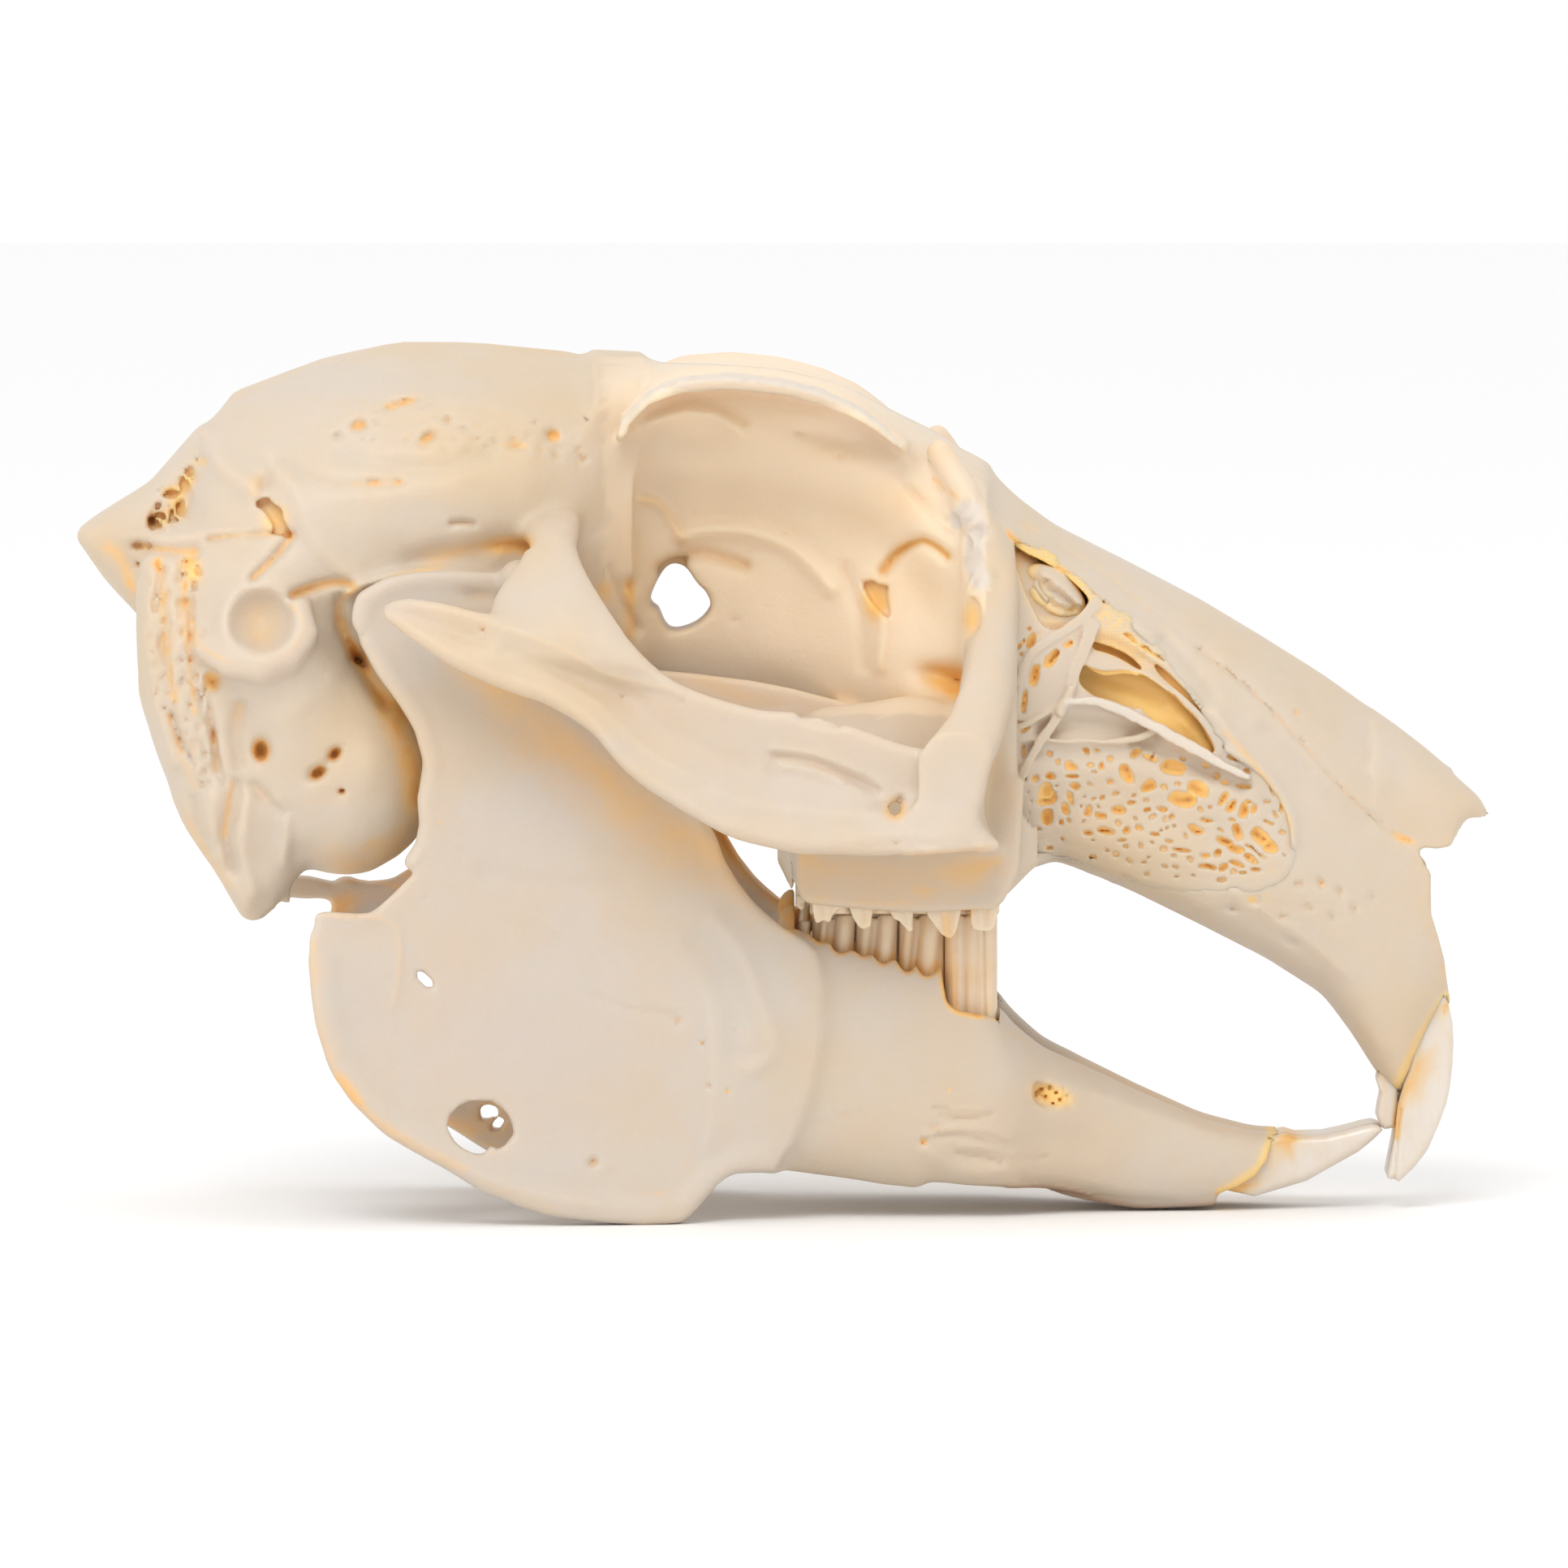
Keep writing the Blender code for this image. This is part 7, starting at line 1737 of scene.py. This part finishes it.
STAIN_ORBIT = [
    ('s', 770, 690, 44, 90, 0, .3), ('s', 742, 728, 18, 15, 0, .7), ('l', 9, .7, (775, 720), (777, 782)), ('s', 880, 848, 80, 22, 6, .45), ('s', 856, 849, 9, 7, 0, .9),
    ('s', 940, 866, 50, 12, 4, .4), ('l', 9, .45, (793, 616), (813, 620), (830, 646), (843, 666)), ('l', 12, .42, (811, 697), (846, 683), (873, 681), (918, 696)),
    ('l', 5, 1.1, (1088, 703), (1105, 682), (1131, 667), (1148, 670), (1168, 685)), ('s', 1078, 740, 18, 26, 0, 1.1), ('s', 1165, 838, 34, 22, 10, 1.1), ('s', 1180, 850, 18, 18, 0, .8),
    ('s', 1060, 640, 70, 50, 0, .25), ('s', 1130, 720, 60, 70, 0, .3), ('s', 1197, 762, 14, 26, 4, .85), ('s', 1120, 610, 60, 30, 20, .35), ('s', 1160, 560, 40, 20, 20, .3),
    ('s', 1000, 760, 80, 60, 0, .18), ('s', 800, 560, 40, 20, 0, .15), ('s', 1010, 560, 60, 16, 8, .25), ('l', 4, .6, (1150, 590), (1175, 610), (1192, 625)), ('s', 870, 740, 12, 24, 0, .5)]
STAIN_ARCH = [
    ('s', 1102, 1000, 18, 14, 0, .9), ('s', 1108, 988, 10, 8, 0, .5), ('s', 595, 775, 3.4, 3.4, 0, .9), ('s', 767, 857, 2.6, 2.6, 0, .7), ('s', 841, 865, 2.6, 2, 0, .6), ('s', 892, 889, 3, 2, 0, .8),
    ('l', 3.4, .3, (619, 773), (692, 799), (738, 826), (765, 836), (838, 852)), ('l', 8, .25, (955, 930), (1045, 956), (1100, 985)), ('l', 9, .5, (1110, 1056), (1160, 1053), (1214, 1046)),
    ('s', 1103, 1040, 8, 4, 0, .5), ('s', 868, 967, 12, 7, 0, .2), ('s', 724, 865, 30, 8, 20, .12), ('s', 1230, 1000, 14, 30, 0, .1), ('s', 990, 880, 12, 3, 0, .3), ('s', 1030, 890, 8, 3, 0, .3)]
STAIN_AND_SHADE_SNOUT = [
    ('l', 3, .45, (1476, 800), (1537, 848), (1591, 902), (1640, 958), (1675, 993), (1707, 1021), (1741, 1038)), ('s', 1728, 1034, 16, 8, 20, .8),
    ('l', 5, 1.1, (1242, 656), (1262, 677), (1290, 692), (1316, 708), (1340, 738)), ('l', 3, .4, (1330, 680), (1400, 738), (1462, 800)), ('s', 1597, 878, 4.5, 4.5, 0, .8),
    ('l', 5, .9, (1784, 1236), (1773, 1248), (1762, 1261), (1757, 1290), (1750, 1320), (1742, 1343), (1728, 1356), (1718, 1362)), ('s', 1755, 1228, 18, 16, 0, .35), ('l', 5, .5, (1655, 1256), (1680, 1298), (1700, 1325)),
    ('s', 1776, 1200, 10, 34, 0, .4), ('l', 5, .6, (1508, 900), (1540, 935), (1575, 985), (1589, 1020), (1584, 1048)), ('s', 1568, 1072, 6, 7, 0, .5), ('s', 1588, 1078, 8, 9, 0, .35), ('s', 1610, 1092, 6, 9, 0, .3),
    ('s', 1542, 1108, 8, 5, 20, .8), ('s', 1566, 1108, 16, 7, 30, .5), ('s', 1600, 1130, 10, 6, 30, .3), ('s', 1628, 1090, 5, 9, -30, .45), ('s', 1650, 1100, 4, 8, -30, .3), ('s', 1545, 800, 10, 5, 30, .2),
    # the broad strokes at v 1062 and v 1095 on the next line are painted shade that the cheek arch casts on the wall
    # below it
    ('s', 1250, 690, 14, 50, 10, .3), ('s', 1270, 650, 22, 8, 40, .35), ('s', 1430, 1100, 60, 12, 15, .15), ('s', 1198, 1122, 14, 5, 0, .9), ('l', 7, .3, (1000, 1108), (1070, 1114), (1180, 1112)), ('l', 26, .65, (990, 1062), (1100, 1072), (1220, 1066)), ('l', 16, .3, (990, 1095), (1100, 1100), (1220, 1095)),
    ('s', 1141, 1097, 3, 5, 20, .8), ('s', 1160, 1084, 8, 3, 0, .5), ('s', 1800, 1000, 30, 10, 20, .2), ('l', 4, .3, (1290, 1060), (1330, 1070), (1380, 1096))]
DARK_SPOTS = [('s', 187, 640, 7, 11, 0, 1.0), ('s', 214, 630, 4, 9, 0, .4), ('s', 171, 672, 7, 4, 0, .5), ('s', 682, 537, 4, 5, 0, .3)]
GOLD = [('s', 338, 640, 22, 26, 30, .9), ('s', 195, 643, 14, 15, 0, .5), ('s', 220, 628, 12, 16, 0, .75), ('s', 210, 606, 13, 9, 0, .8), ('s', 231, 592, 10, 19, 20, .8), ('s', 250, 569, 11, 7, 20, .6),
        ('s', 240, 706, 11, 15, -15, .9), ('s', 232, 692, 12, 9, 0, .7), ('s', 1078, 738, 20, 26, 0, .9), ('s', 1197, 760, 13, 24, 4, .9), ('s', 1165, 838, 32, 18, 10, .8), ('s', 322, 925, 9, 13, 0, .9),
        ('s', 392, 952, 11, 7, -35, .9), ('s', 412, 929, 10, 6, -50, .8), ('s', 261, 839, 9, 13, 0, .8), ('s', 682, 537, 8, 8, 20, .9), ('s', 442, 524, 11, 7, -12, .6), ('s', 526, 540, 12, 5, -32, .6),
        ('s', 625, 676, 24, 9, -8, .6), ('s', 321, 770, 34, 28, 0, .18)]
GOLD_SNOUT = [('s', 1542, 1108, 9, 5, 20, .8), ('s', 1575, 1076, 8, 5, 20, .7), ('s', 1600, 1090, 7, 4, 20, .6), ('s', 1628, 1088, 5, 9, -30, .7), ('s', 1580, 1130, 8, 4, 25, .5),
              ('s', 1612, 1118, 7, 4, 35, .5), ('s', 1650, 1098, 4, 9, -25, .5), ('s', 1668, 1120, 4, 8, -20, .4), ('s', 1597, 878, 4, 4, 0, .7), ('s', 1103, 1000, 14, 13, 0, .9)]
GOLD_JOINT = [('l', 10, .9, (1781, 1228), (1765, 1253), (1748, 1283), (1736, 1308), (1722, 1338), (1716, 1354))]
TOOTH_JOINT = [('l', 8, 1.0, (1786, 1236), (1772, 1256), (1756, 1292), (1738, 1332), (1724, 1366), (1720, 1400)),
               ('l', 15, 1.1, (1592, 1398), (1574, 1418), (1556, 1440), (1535, 1458), (1505, 1474))]
GOLD_JAW_JOINT = [('l', 10, .9, (1570, 1392), (1562, 1415), (1552, 1438), (1528, 1456), (1500, 1472))]
GOLD_JAW = [('s', 1297, 1350, 30, 16, 15, 1.3), ('s', 1138, 1407, 7, 5, -15, .7), ('s', 1170, 1343, 3, 3, 0, .8), ('s', 731, 1432, 7, 6, 0, .7), ('s', 865, 1285, 3, 3, 0, .7), ('s', 897, 1345, 4, 3, 0, .7)]
JAW_STAIN_AND_SHADE = [
    ('s', 975, 1128, 26, 24, 0, .8), ('l', 13, .4, (384, 1165), (389, 1230), (394, 1268), (410, 1317), (438, 1356)), ('l', 11, .55, (420, 1330), (455, 1374), (500, 1405), (545, 1428), (570, 1440)), ('l', 7, .3, (590, 1455), (680, 1490)),
    ('l', 6, .8, (1589, 1394), (1567, 1410), (1562, 1429), (1547, 1449), (1526, 1462), (1500, 1470)), ('s', 1583, 1409, 15, 12, 0, .7), ('s', 1297, 1350, 27, 14, 15, .8), ('s', 1284, 1344, 12, 8, 0, .5),
    ('l', 5, .9, *SCALLOP[1:26]), ('l', 6, 1.2, (1160, 1188), (1163, 1215), (1169, 1236), (1182, 1247), (1205, 1251)), ('l', 5, .6, (1205, 1251), (1230, 1256)),
    ('l', 5, .4, (400, 1128), (458, 1130), (483, 1139), (492, 1160), (490, 1210), (483, 1239)), ('s', 815, 1470, 22, 5, -8, .45), ('s', 1138, 1407, 7, 5, 0, .9), ('s', 1151, 1390, 7, 4, 0, .6),
    ('l', 3, .35, (1159, 1374), (1180, 1379), (1203, 1378), (1222, 1372)), ('l', 3, .3, (1179, 1421), (1205, 1426), (1234, 1433)), ('s', 1170, 1343, 3, 3, 0, .9), ('s', 865, 1285, 3.4, 3.4, 0, .9),
    ('s', 873, 1338, 4, 3.4, 0, .5), ('s', 897, 1345, 4, 3.4, 0, .9), ('s', 907, 1270, 3, 3, 0, .7), ('s', 731, 1432, 7, 7, 0, .7), ('s', 753, 1446, 3, 3, 0, .7), ('s', 1040, 1376, 9, 6, 0, .4),
    ('l', 5, .3, (733, 1224), (769, 1242), (819, 1249), (836, 1258)), ('s', 836, 1258, 6, 6, 0, .4), ('s', 543, 1013, 2.4, 2.4, 0, .8), ('s', 524, 1107, 2.2, 2.2, 0, .6), ('s', 410, 1150, 30, 18, 0, .25),
    ('l', 10, .3, (445, 790), (489, 860), (524, 936)), ('s', 980, 1140, 20, 20, 0, .5), ('s', 885, 1330, 20, 12, 0, .15), ('s', 600, 1400, 50, 14, 20, .15), ('s', 594, 735, 22, 7, 0, .4),
    ('l', 10, .3, (1240, 1270), (1300, 1300), (1400, 1345), (1500, 1388), (1580, 1400)),
    # painted shadow of the cheek arch on the ramus below it
    ('l', 34, .6, (560, 800), (620, 850), (680, 900), (740, 950), (800, 1000), (880, 1050), (960, 1075), (1000, 1085)), ('l', 40, .3, (620, 900), (720, 990), (820, 1060), (920, 1110))]
FAR_JAW_STAIN_AND_SHADE = JAW_STAIN_AND_SHADE + [('s', 600, 1420, 60, 44, 10, .8), ('l', 16, .5, (850, 985), (880, 1030), (905, 1085), (945, 1130), (985, 1155)), ('l', 16, .4, (420, 1150), (470, 1140), (514, 1100)),
                            ('s', 404, 1165, 22, 18, 0, .9), ('s', 500, 1110, 30, 20, 0, .4)]
JAW_COOL = [('s', 640, 1290, 190, 130, 15, .9), ('s', 440, 1240, 40, 60, 0, .5), ('s', 700, 1440, 60, 20, 0, .4), ('s', 620, 1060, 80, 80, 0, .3), ('s', 930, 1210, 40, 60, 0, .3)]
COOL = [('s', 480, 740, 60, 20, 0, .6), ('s', 640, 740, 50, 50, 0, .5), ('s', 1000, 980, 160, 40, 8, .5), ('s', 760, 920, 40, 14, 30, .6), ('s', 560, 640, 160, 30, 0, .4), ('s', 1760, 1130, 20, 60, 0, .3),
        ('s', 480, 470, 200, 24, 0, .45), ('s', 1600, 840, 160, 40, 35, .35), ('s', 380, 990, 60, 30, 0, .2)]


def painted(p, layers):
    """Strength of paint at points, each layer (strokes, box, nearest, farthest from the middle plane)."""
    u, v = drawing_of(p)
    a = np.abs(p[:, 1])
    out = np.zeros(len(p))
    for items, box, a0, a1 in layers:
        mp = line_map(items, box, 1.5)
        inside = (u > box[0]) & (u < box[1]) & (v > box[2]) & (v < box[3])
        out = np.maximum(out, mp(u, v) * window(a, a0, a1, 0.6) * inside)
    return out


def normals_of(me):
    n = np.empty(len(me.vertices) * 3, np.float32)
    me.vertices.foreach_get("normal", n)
    return n.reshape(-1, 3)


def place(name, me, mat, nodes):
    ob = bpy.data.objects.new(name, me)
    bpy.context.scene.collection.objects.link(ob)
    me.materials.clear()
    me.materials.append(mat)
    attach(ob, "root")
    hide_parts(*nodes)
    return ob


def hollowness(me, occ, origin, h, amount=1.0):
    """How shut in every point is, from two soft averages of the solid."""
    p, n = points_of(me), normals_of(me)
    small, large = blur(occ, 0.55 / h), blur(occ, 2.4 / h)
    return ((sample(small, origin, h, p + n * 0.25) - 0.30) * 1.6
            + (sample(large, origin, h, p + n * 0.8) - 0.42) * 0.9) * amount


# ==================================================================== pieces
BONE = bone_material("bone_of_cranium", srgb(203, 188, 170), srgb(204, 183, 154))
JAW = bone_material("bone_of_jaw", srgb(200, 189, 176), srgb(202, 184, 161))
INCISOR = tooth_material("enamel_of_incisors", srgb(214, 205, 194), srgb(210, 197, 182), srgb(216, 188, 146), 0.24)
CHEEK = tooth_material("enamel_of_cheek_teeth", srgb(226, 207, 180), srgb(222, 196, 162), srgb(232, 186, 126), 0.3)

# ------------------------------------------------------------------- cranium
F, D = cranium_field()
rough(F, [WING_RIM], 14, 10.5, 15, 0.45, 0.18, 21)
rough(F, [KNOB], 22, 8, 13.5, 0.5, 0.3, 22)
full = np.concatenate([F.f[:, :0:-1], F.f], 1)
origin = (F.x[0], -F.a[-1], F.z[0])
occ = (full < 0).astype(np.float32)
verts, quads = skin(full, origin, F.h)
verts, quads = biggest(verts, quads)
print("cranium quads", len(quads))
me = thin(mesh_of("cranium_skin", verts, quads), "cranium_bone", 195000)
p = points_of(me)
u, v = drawing_of(p)
a = np.abs(p[:, 1])
attribute(me, "hollow", hollowness(me, occ, origin, F.h))
net_map = polygon_map(chaikin(NET, 1), 50, 1.0)
fx = np.clip(((p[:, 0] - F.x[0]) / F.h), 0, len(F.x) - 1).astype(int)
fz = np.clip(((p[:, 2] - F.z[0]) / F.h), 0, len(F.z) - 1).astype(int)
under = D[fx, fz] - a
inner = np.clip((under - 0.5) / 1.2, 0, 1) * (net_map(u, v) < 10) * (u > 1225)
stain_and_shade = painted(p, [(STAIN_AND_SHADE_SIDE, (90, 800, 430, 1130), 3.5, 15.9), (STAIN_ORBIT, (700, 1225, 480, 900), 0.8, 14.6),
                    (STAIN_ARCH, (470, 1240, 740, 1070), 16.6, 21.5), (STAIN_AND_SHADE_SNOUT, (985, 1840, 600, 1400), 2.5, 12.4)])
attribute(me, "stain_and_shade", stain_and_shade * 0.85)
attribute(me, "gold", painted(p, [(GOLD, (90, 1240, 480, 1110), 1.0, 15.9), (GOLD_SNOUT, (1060, 1720, 840, 1160), 4.0, 21.5),
                             (GOLD_JOINT, (1700, 1810, 1200, 1440), 0.3, 12.0)]) * 0.75)
# painted glow on the surfaces behind the openwork, by how far they lie under the snout's outer face
attribute(me, "glow", inner)
# painted light: wide hollows and the orbit, down-facing parts most, get brighter, warmer colour through the shade
# attribute
wide = sample(blur(occ, 5.2 / F.h), origin, F.h, p + normals_of(me) * 1.2)
painted_orbit_light = painted(p, [([('s', 960, 640, 250, 210, 0, 1.3), ('s', 1120, 760, 130, 140, 0, 1.2), ('s', 900, 480, 190, 60, 0, .8)], (745, 1215, 440, 880), 0.5, 13.6)]) * (a < 13.6)
facing = np.clip(0.5 - normals_of(me)[:, 2] * 0.6, 0.2, 1)
attribute(me, "shade", np.maximum(np.clip((wide - 0.36) / 0.22, 0, 1) * 0.8, np.clip(painted_orbit_light, 0, 1) * (0.55 + 0.45 * facing)))
attribute(me, "chalk", painted(p, [([('l', 9, 1.0, *WING_RIM)], (740, 1140, 440, 570), 11.2, 15.2), ([('l', 15, 1.1, *KNOB)], (1150, 1240, 600, 740), 8.6, 14)]))
attribute(me, "dark_spots_and_shade", painted(p, [(DARK_SPOTS, (150, 700, 500, 700), 3.0, 15.9)]))
attribute(me, "cool", painted(p, [(COOL, (200, 1840, 420, 1100), 0.5, 21.5)]))
place("cranium_bone", me, BONE, ["cranium"])

# ------------------------------------------------------------------ openwork
N, net_map = net_field(F, D)
verts, quads = skin(N.f, (N.x[0], N.a[0], N.z[0]), N.h)
verts, quads = biggest(verts, quads, 0.01)
print("openwork quads", len(quads))
for side, s in (("right", -1), ("left", 1)):
    vv = verts * (1, s, 1)
    qq = quads if s > 0 else quads[:, ::-1]
    me = thin(mesh_of("openwork_skin", vv, qq), "facial_openwork_" + side, 125000)
    p = points_of(me)
    u, v = drawing_of(p)
    e = (D[np.clip(((p[:, 0] - F.x[0]) / F.h), 0, len(F.x) - 1).astype(int), np.clip(((p[:, 2] - F.z[0]) / F.h), 0, len(F.z) - 1).astype(int)]
         - np.abs(p[:, 1]))
    ny = normals_of(me)[:, 1] * s
    occ_n = (N.f < 0).astype(np.float32)
    q = p * (1, s, 1)
    soft = blur(occ_n, 0.5 / N.h)
    hol = (sample(soft, (N.x[0], N.a[0], N.z[0]), N.h, q + normals_of(me) * (1, s, 1) * 0.2) - 0.34) * 1.1
    attribute(me, "hollow", hol)
    over = e - sunk(u, v)
    tri = polygon_map(chaikin(WINDOWS[0], 1), 50, 1.0)(u, v) < 0
    gutter = line_map([('l', 9, 1.0, (1250, 666), (1285, 686), (1312, 703), (1334, 728), (1340, 746)), ('s', 1300, 768, 30, 9, 10, 0.4)], NET_BOX)(u, v)
    # painted light: surfaces lying deeper than the openwork sheet, and the gutter along the three-cornered window, made
    # golden
    attribute(me, "gold", np.where(tri, np.clip(gutter, 0, 1) * np.clip((e - 0.4) / 0.5, 0, 1), np.clip((over - 0.06) / 0.2, 0, 1) * 0.85))
    attribute(me, "stain_and_shade", np.where(tri, 0.25, 0.0) + painted(p, [(STAIN_AND_SHADE_SNOUT, (1200, 1640, 600, 1120), 2.5, 12.4)]) * 0.6)
    attribute(me, "chalk", painted(p, [([('l', 7, 1.0, *BLADE)], NET_BOX, 7.2, 12)]) * (e < 0.3))
    attribute(me, "dark_spots_and_shade", painted(p, [([('s', 1420, 932, 3, 8, 30, .8)], NET_BOX, 3, 12)]))
    attribute(me, "cool", np.zeros(len(p)))
    place("facial_openwork_" + side, me, BONE, ["cranium"])

# ----------------------------------------------------------------- mandibles
for side, s in (("right", -1), ("left", 1)):
    J, middle = jaw_field(s)
    verts, quads = skin(J.f, (J.x[0], J.a[0], J.z[0]), J.h)
    verts, quads = biggest(verts, quads)
    vv = verts * (1, s, 1)
    qq = quads if s > 0 else quads[:, ::-1]
    print("jaw quads", len(quads))
    me = thin(mesh_of("mandible_skin", vv, qq), "mandible_bone_" + side, 110000)
    p = points_of(me)
    occ = (J.f < 0).astype(np.float32)
    q, n = p * (1, s, 1), normals_of(me) * (1, s, 1)
    small, large = blur(occ, 0.55 / J.h), blur(occ, 2.4 / J.h)
    org = (J.x[0], J.a[0], J.z[0])
    attribute(me, "hollow", (sample(small, org, J.h, q + n * 0.25) - 0.30) * 1.4 + (sample(large, org, J.h, q + n * 0.8) - 0.42) * 0.6)
    attribute(me, "stain_and_shade", painted(p, [(JAW_STAIN_AND_SHADE if s < 0 else FAR_JAW_STAIN_AND_SHADE, (300, 1640, 690, 1520), 0.0, 17.0)]) * 0.8)
    attribute(me, "chalk", np.zeros(len(p)))
    attribute(me, "gold", painted(p, [(GOLD_JAW, (700, 1340, 1270, 1450), 2.0, 17.0), (GOLD_JAW_JOINT, (1500, 1630, 1370, 1490), 0.3, 12.0)]) * 0.8)
    # painted shade: the underside at the front of the jaw, which faces down away from the light, made dark brown
    attribute(me, "dark_spots_and_shade", painted(p, [([('l', 11, .5, (1200, 1468), (1280, 1464), (1321, 1469), (1361, 1482), (1420, 1490), (1500, 1486), (1545, 1476))],
                                       (1150, 1600, 1440, 1520), 0.0, 9.0)]))
    attribute(me, "cool", painted(p, [(JAW_COOL, (380, 1100, 900, 1520), 10.0, 17.0)]))
    place("mandible_bone_" + side, me, JAW, ["mandible_" + side])

# --------------------------------------------------------------------- teeth
TOOTH_STAIN = [('l', 5, .8, (1784, 1238), (1773, 1250), (1763, 1262), (1759, 1290), (1752, 1320), (1744, 1344), (1730, 1362), (1722, 1386)), ('l', 4, .6, (1700, 1324), (1708, 1342), (1720, 1362), (1721, 1388)),
               ('l', 5, .5, (1590, 1399), (1569, 1412), (1563, 1430), (1548, 1450), (1527, 1464)), ('l', 2, .3, (1722, 1390), (1719, 1452)),
               ('l', 8, .8, *[(q[0], q[1] - 2) for q in SCALLOP[1:26]]), ('l', 9, .6, (1166, 1130), (1170, 1190), (1174, 1236)), ('l', 4, .5, (1195, 1130), (1195, 1244)), ('l', 7, .5, (1174, 1244), (1228, 1250)),
               ('s', 1195, 1124, 12, 6, 0, .5)]
for stem, build, kind, (u0, u1, v0, v1), (a0, a1), count in TEETH:
    c = np.array([at(uu, vv, aa) for uu in (u0, u1) for vv in (v0, v1) for aa in (a0, a1)])
    T = Field((c[:, 0].min(), a0 - 0.3 if a0 > 0.3 else -0.2, c[:, 2].min()), (c[:, 0].max(), a1 + 0.3, c[:, 2].max()), 0.08)
    build(T)
    for ax in range(3):
        for end in (0, -1):
            cut = [slice(None)] * 3
            cut[ax] = end
            T.f[tuple(cut)] = 1.0
    verts, quads = skin(T.f, (T.x[0], T.a[0], T.z[0]), T.h)
    verts, quads = biggest(verts, quads)
    for side, s in (("right", -1), ("left", 1)):
        name = stem % side if "%s" in stem else stem + "_" + side
        me = thin(mesh_of(name + "_skin", verts * (1, s, 1), quads if s > 0 else quads[:, ::-1]), name + "_visual", count)
        p = points_of(me)
        attribute(me, "stain_and_shade", painted(p, [(TOOTH_STAIN, (980, 1800, 1080, 1480), 0.0, 12.0), (TOOTH_JOINT, (1490, 1800, 1200, 1480), 0.0, 12.0)]))
        place(name + "_visual", me, INCISOR if kind == "incisor" else CHEEK, [name])


# ============================================================ stage and light
def stage():
    bpy.ops.mesh.primitive_plane_add(size=3.0, location=(0, 0, 0))
    floor = bpy.context.object
    floor.name = "floor"
    mat = bpy.data.materials.new("floor")
    mat.use_nodes = True
    bsdf = mat.node_tree.nodes["Principled BSDF"]
    bsdf.inputs["Base Color"].default_value = (0.96, 0.96, 0.96, 1)
    bsdf.inputs["Roughness"].default_value = 0.8
    bsdf.inputs["Specular IOR Level"].default_value = 0.1
    floor.data.materials.append(mat)


def area(name, loc, aim, size, power, colour=(1, 1, 1)):
    from mathutils import Vector
    li = bpy.data.lights.new(name, 'AREA')
    li.shape = 'DISK'
    li.size = size
    li.energy = power
    li.color = colour
    ob = bpy.data.objects.new(name, li)
    bpy.context.scene.collection.objects.link(ob)
    ob.location = loc
    ob.rotation_euler = (Vector(aim) - Vector(loc)).to_track_quat('-Z', 'Y').to_euler()
    return ob


def light_and_camera():
    from mathutils import Matrix, Vector
    world = bpy.data.worlds.new("studio")
    bpy.context.scene.world = world
    world.use_nodes = True
    nt = world.node_tree
    bg = nt.nodes["Background"]
    bg.inputs["Color"].default_value = (1, 1, 1, 1)
    bg.inputs["Strength"].default_value = 1.0
    area("front_box", (-0.14, -0.55, 0.50), (0, 0, 0.022), 0.38, 2.2)
    sc = bpy.context.scene
    sc.view_settings.view_transform = 'Standard'
    cam = bpy.data.cameras.new("camera")
    cam.sensor_width = 36.0
    cam.lens = 36.0 * (DIST / GRID) / 1932.0
    cam.clip_start, cam.clip_end = 0.01, 10.0
    ob = bpy.data.objects.new("camera", cam)
    sc.collection.objects.link(ob)
    fwd = Vector((0, CP, -SP))
    up = Vector((0, SP, CP))
    right = fwd.cross(up)
    target = Vector((SHX, 0, MIDZ + SHZ))
    eye = (target - DIST * fwd) * 0.001
    m = Matrix((right, up, -fwd)).transposed().to_4x4()
    m.translation = eye
    ob.matrix_world = m
    sc.camera = ob


stage()
light_and_camera()
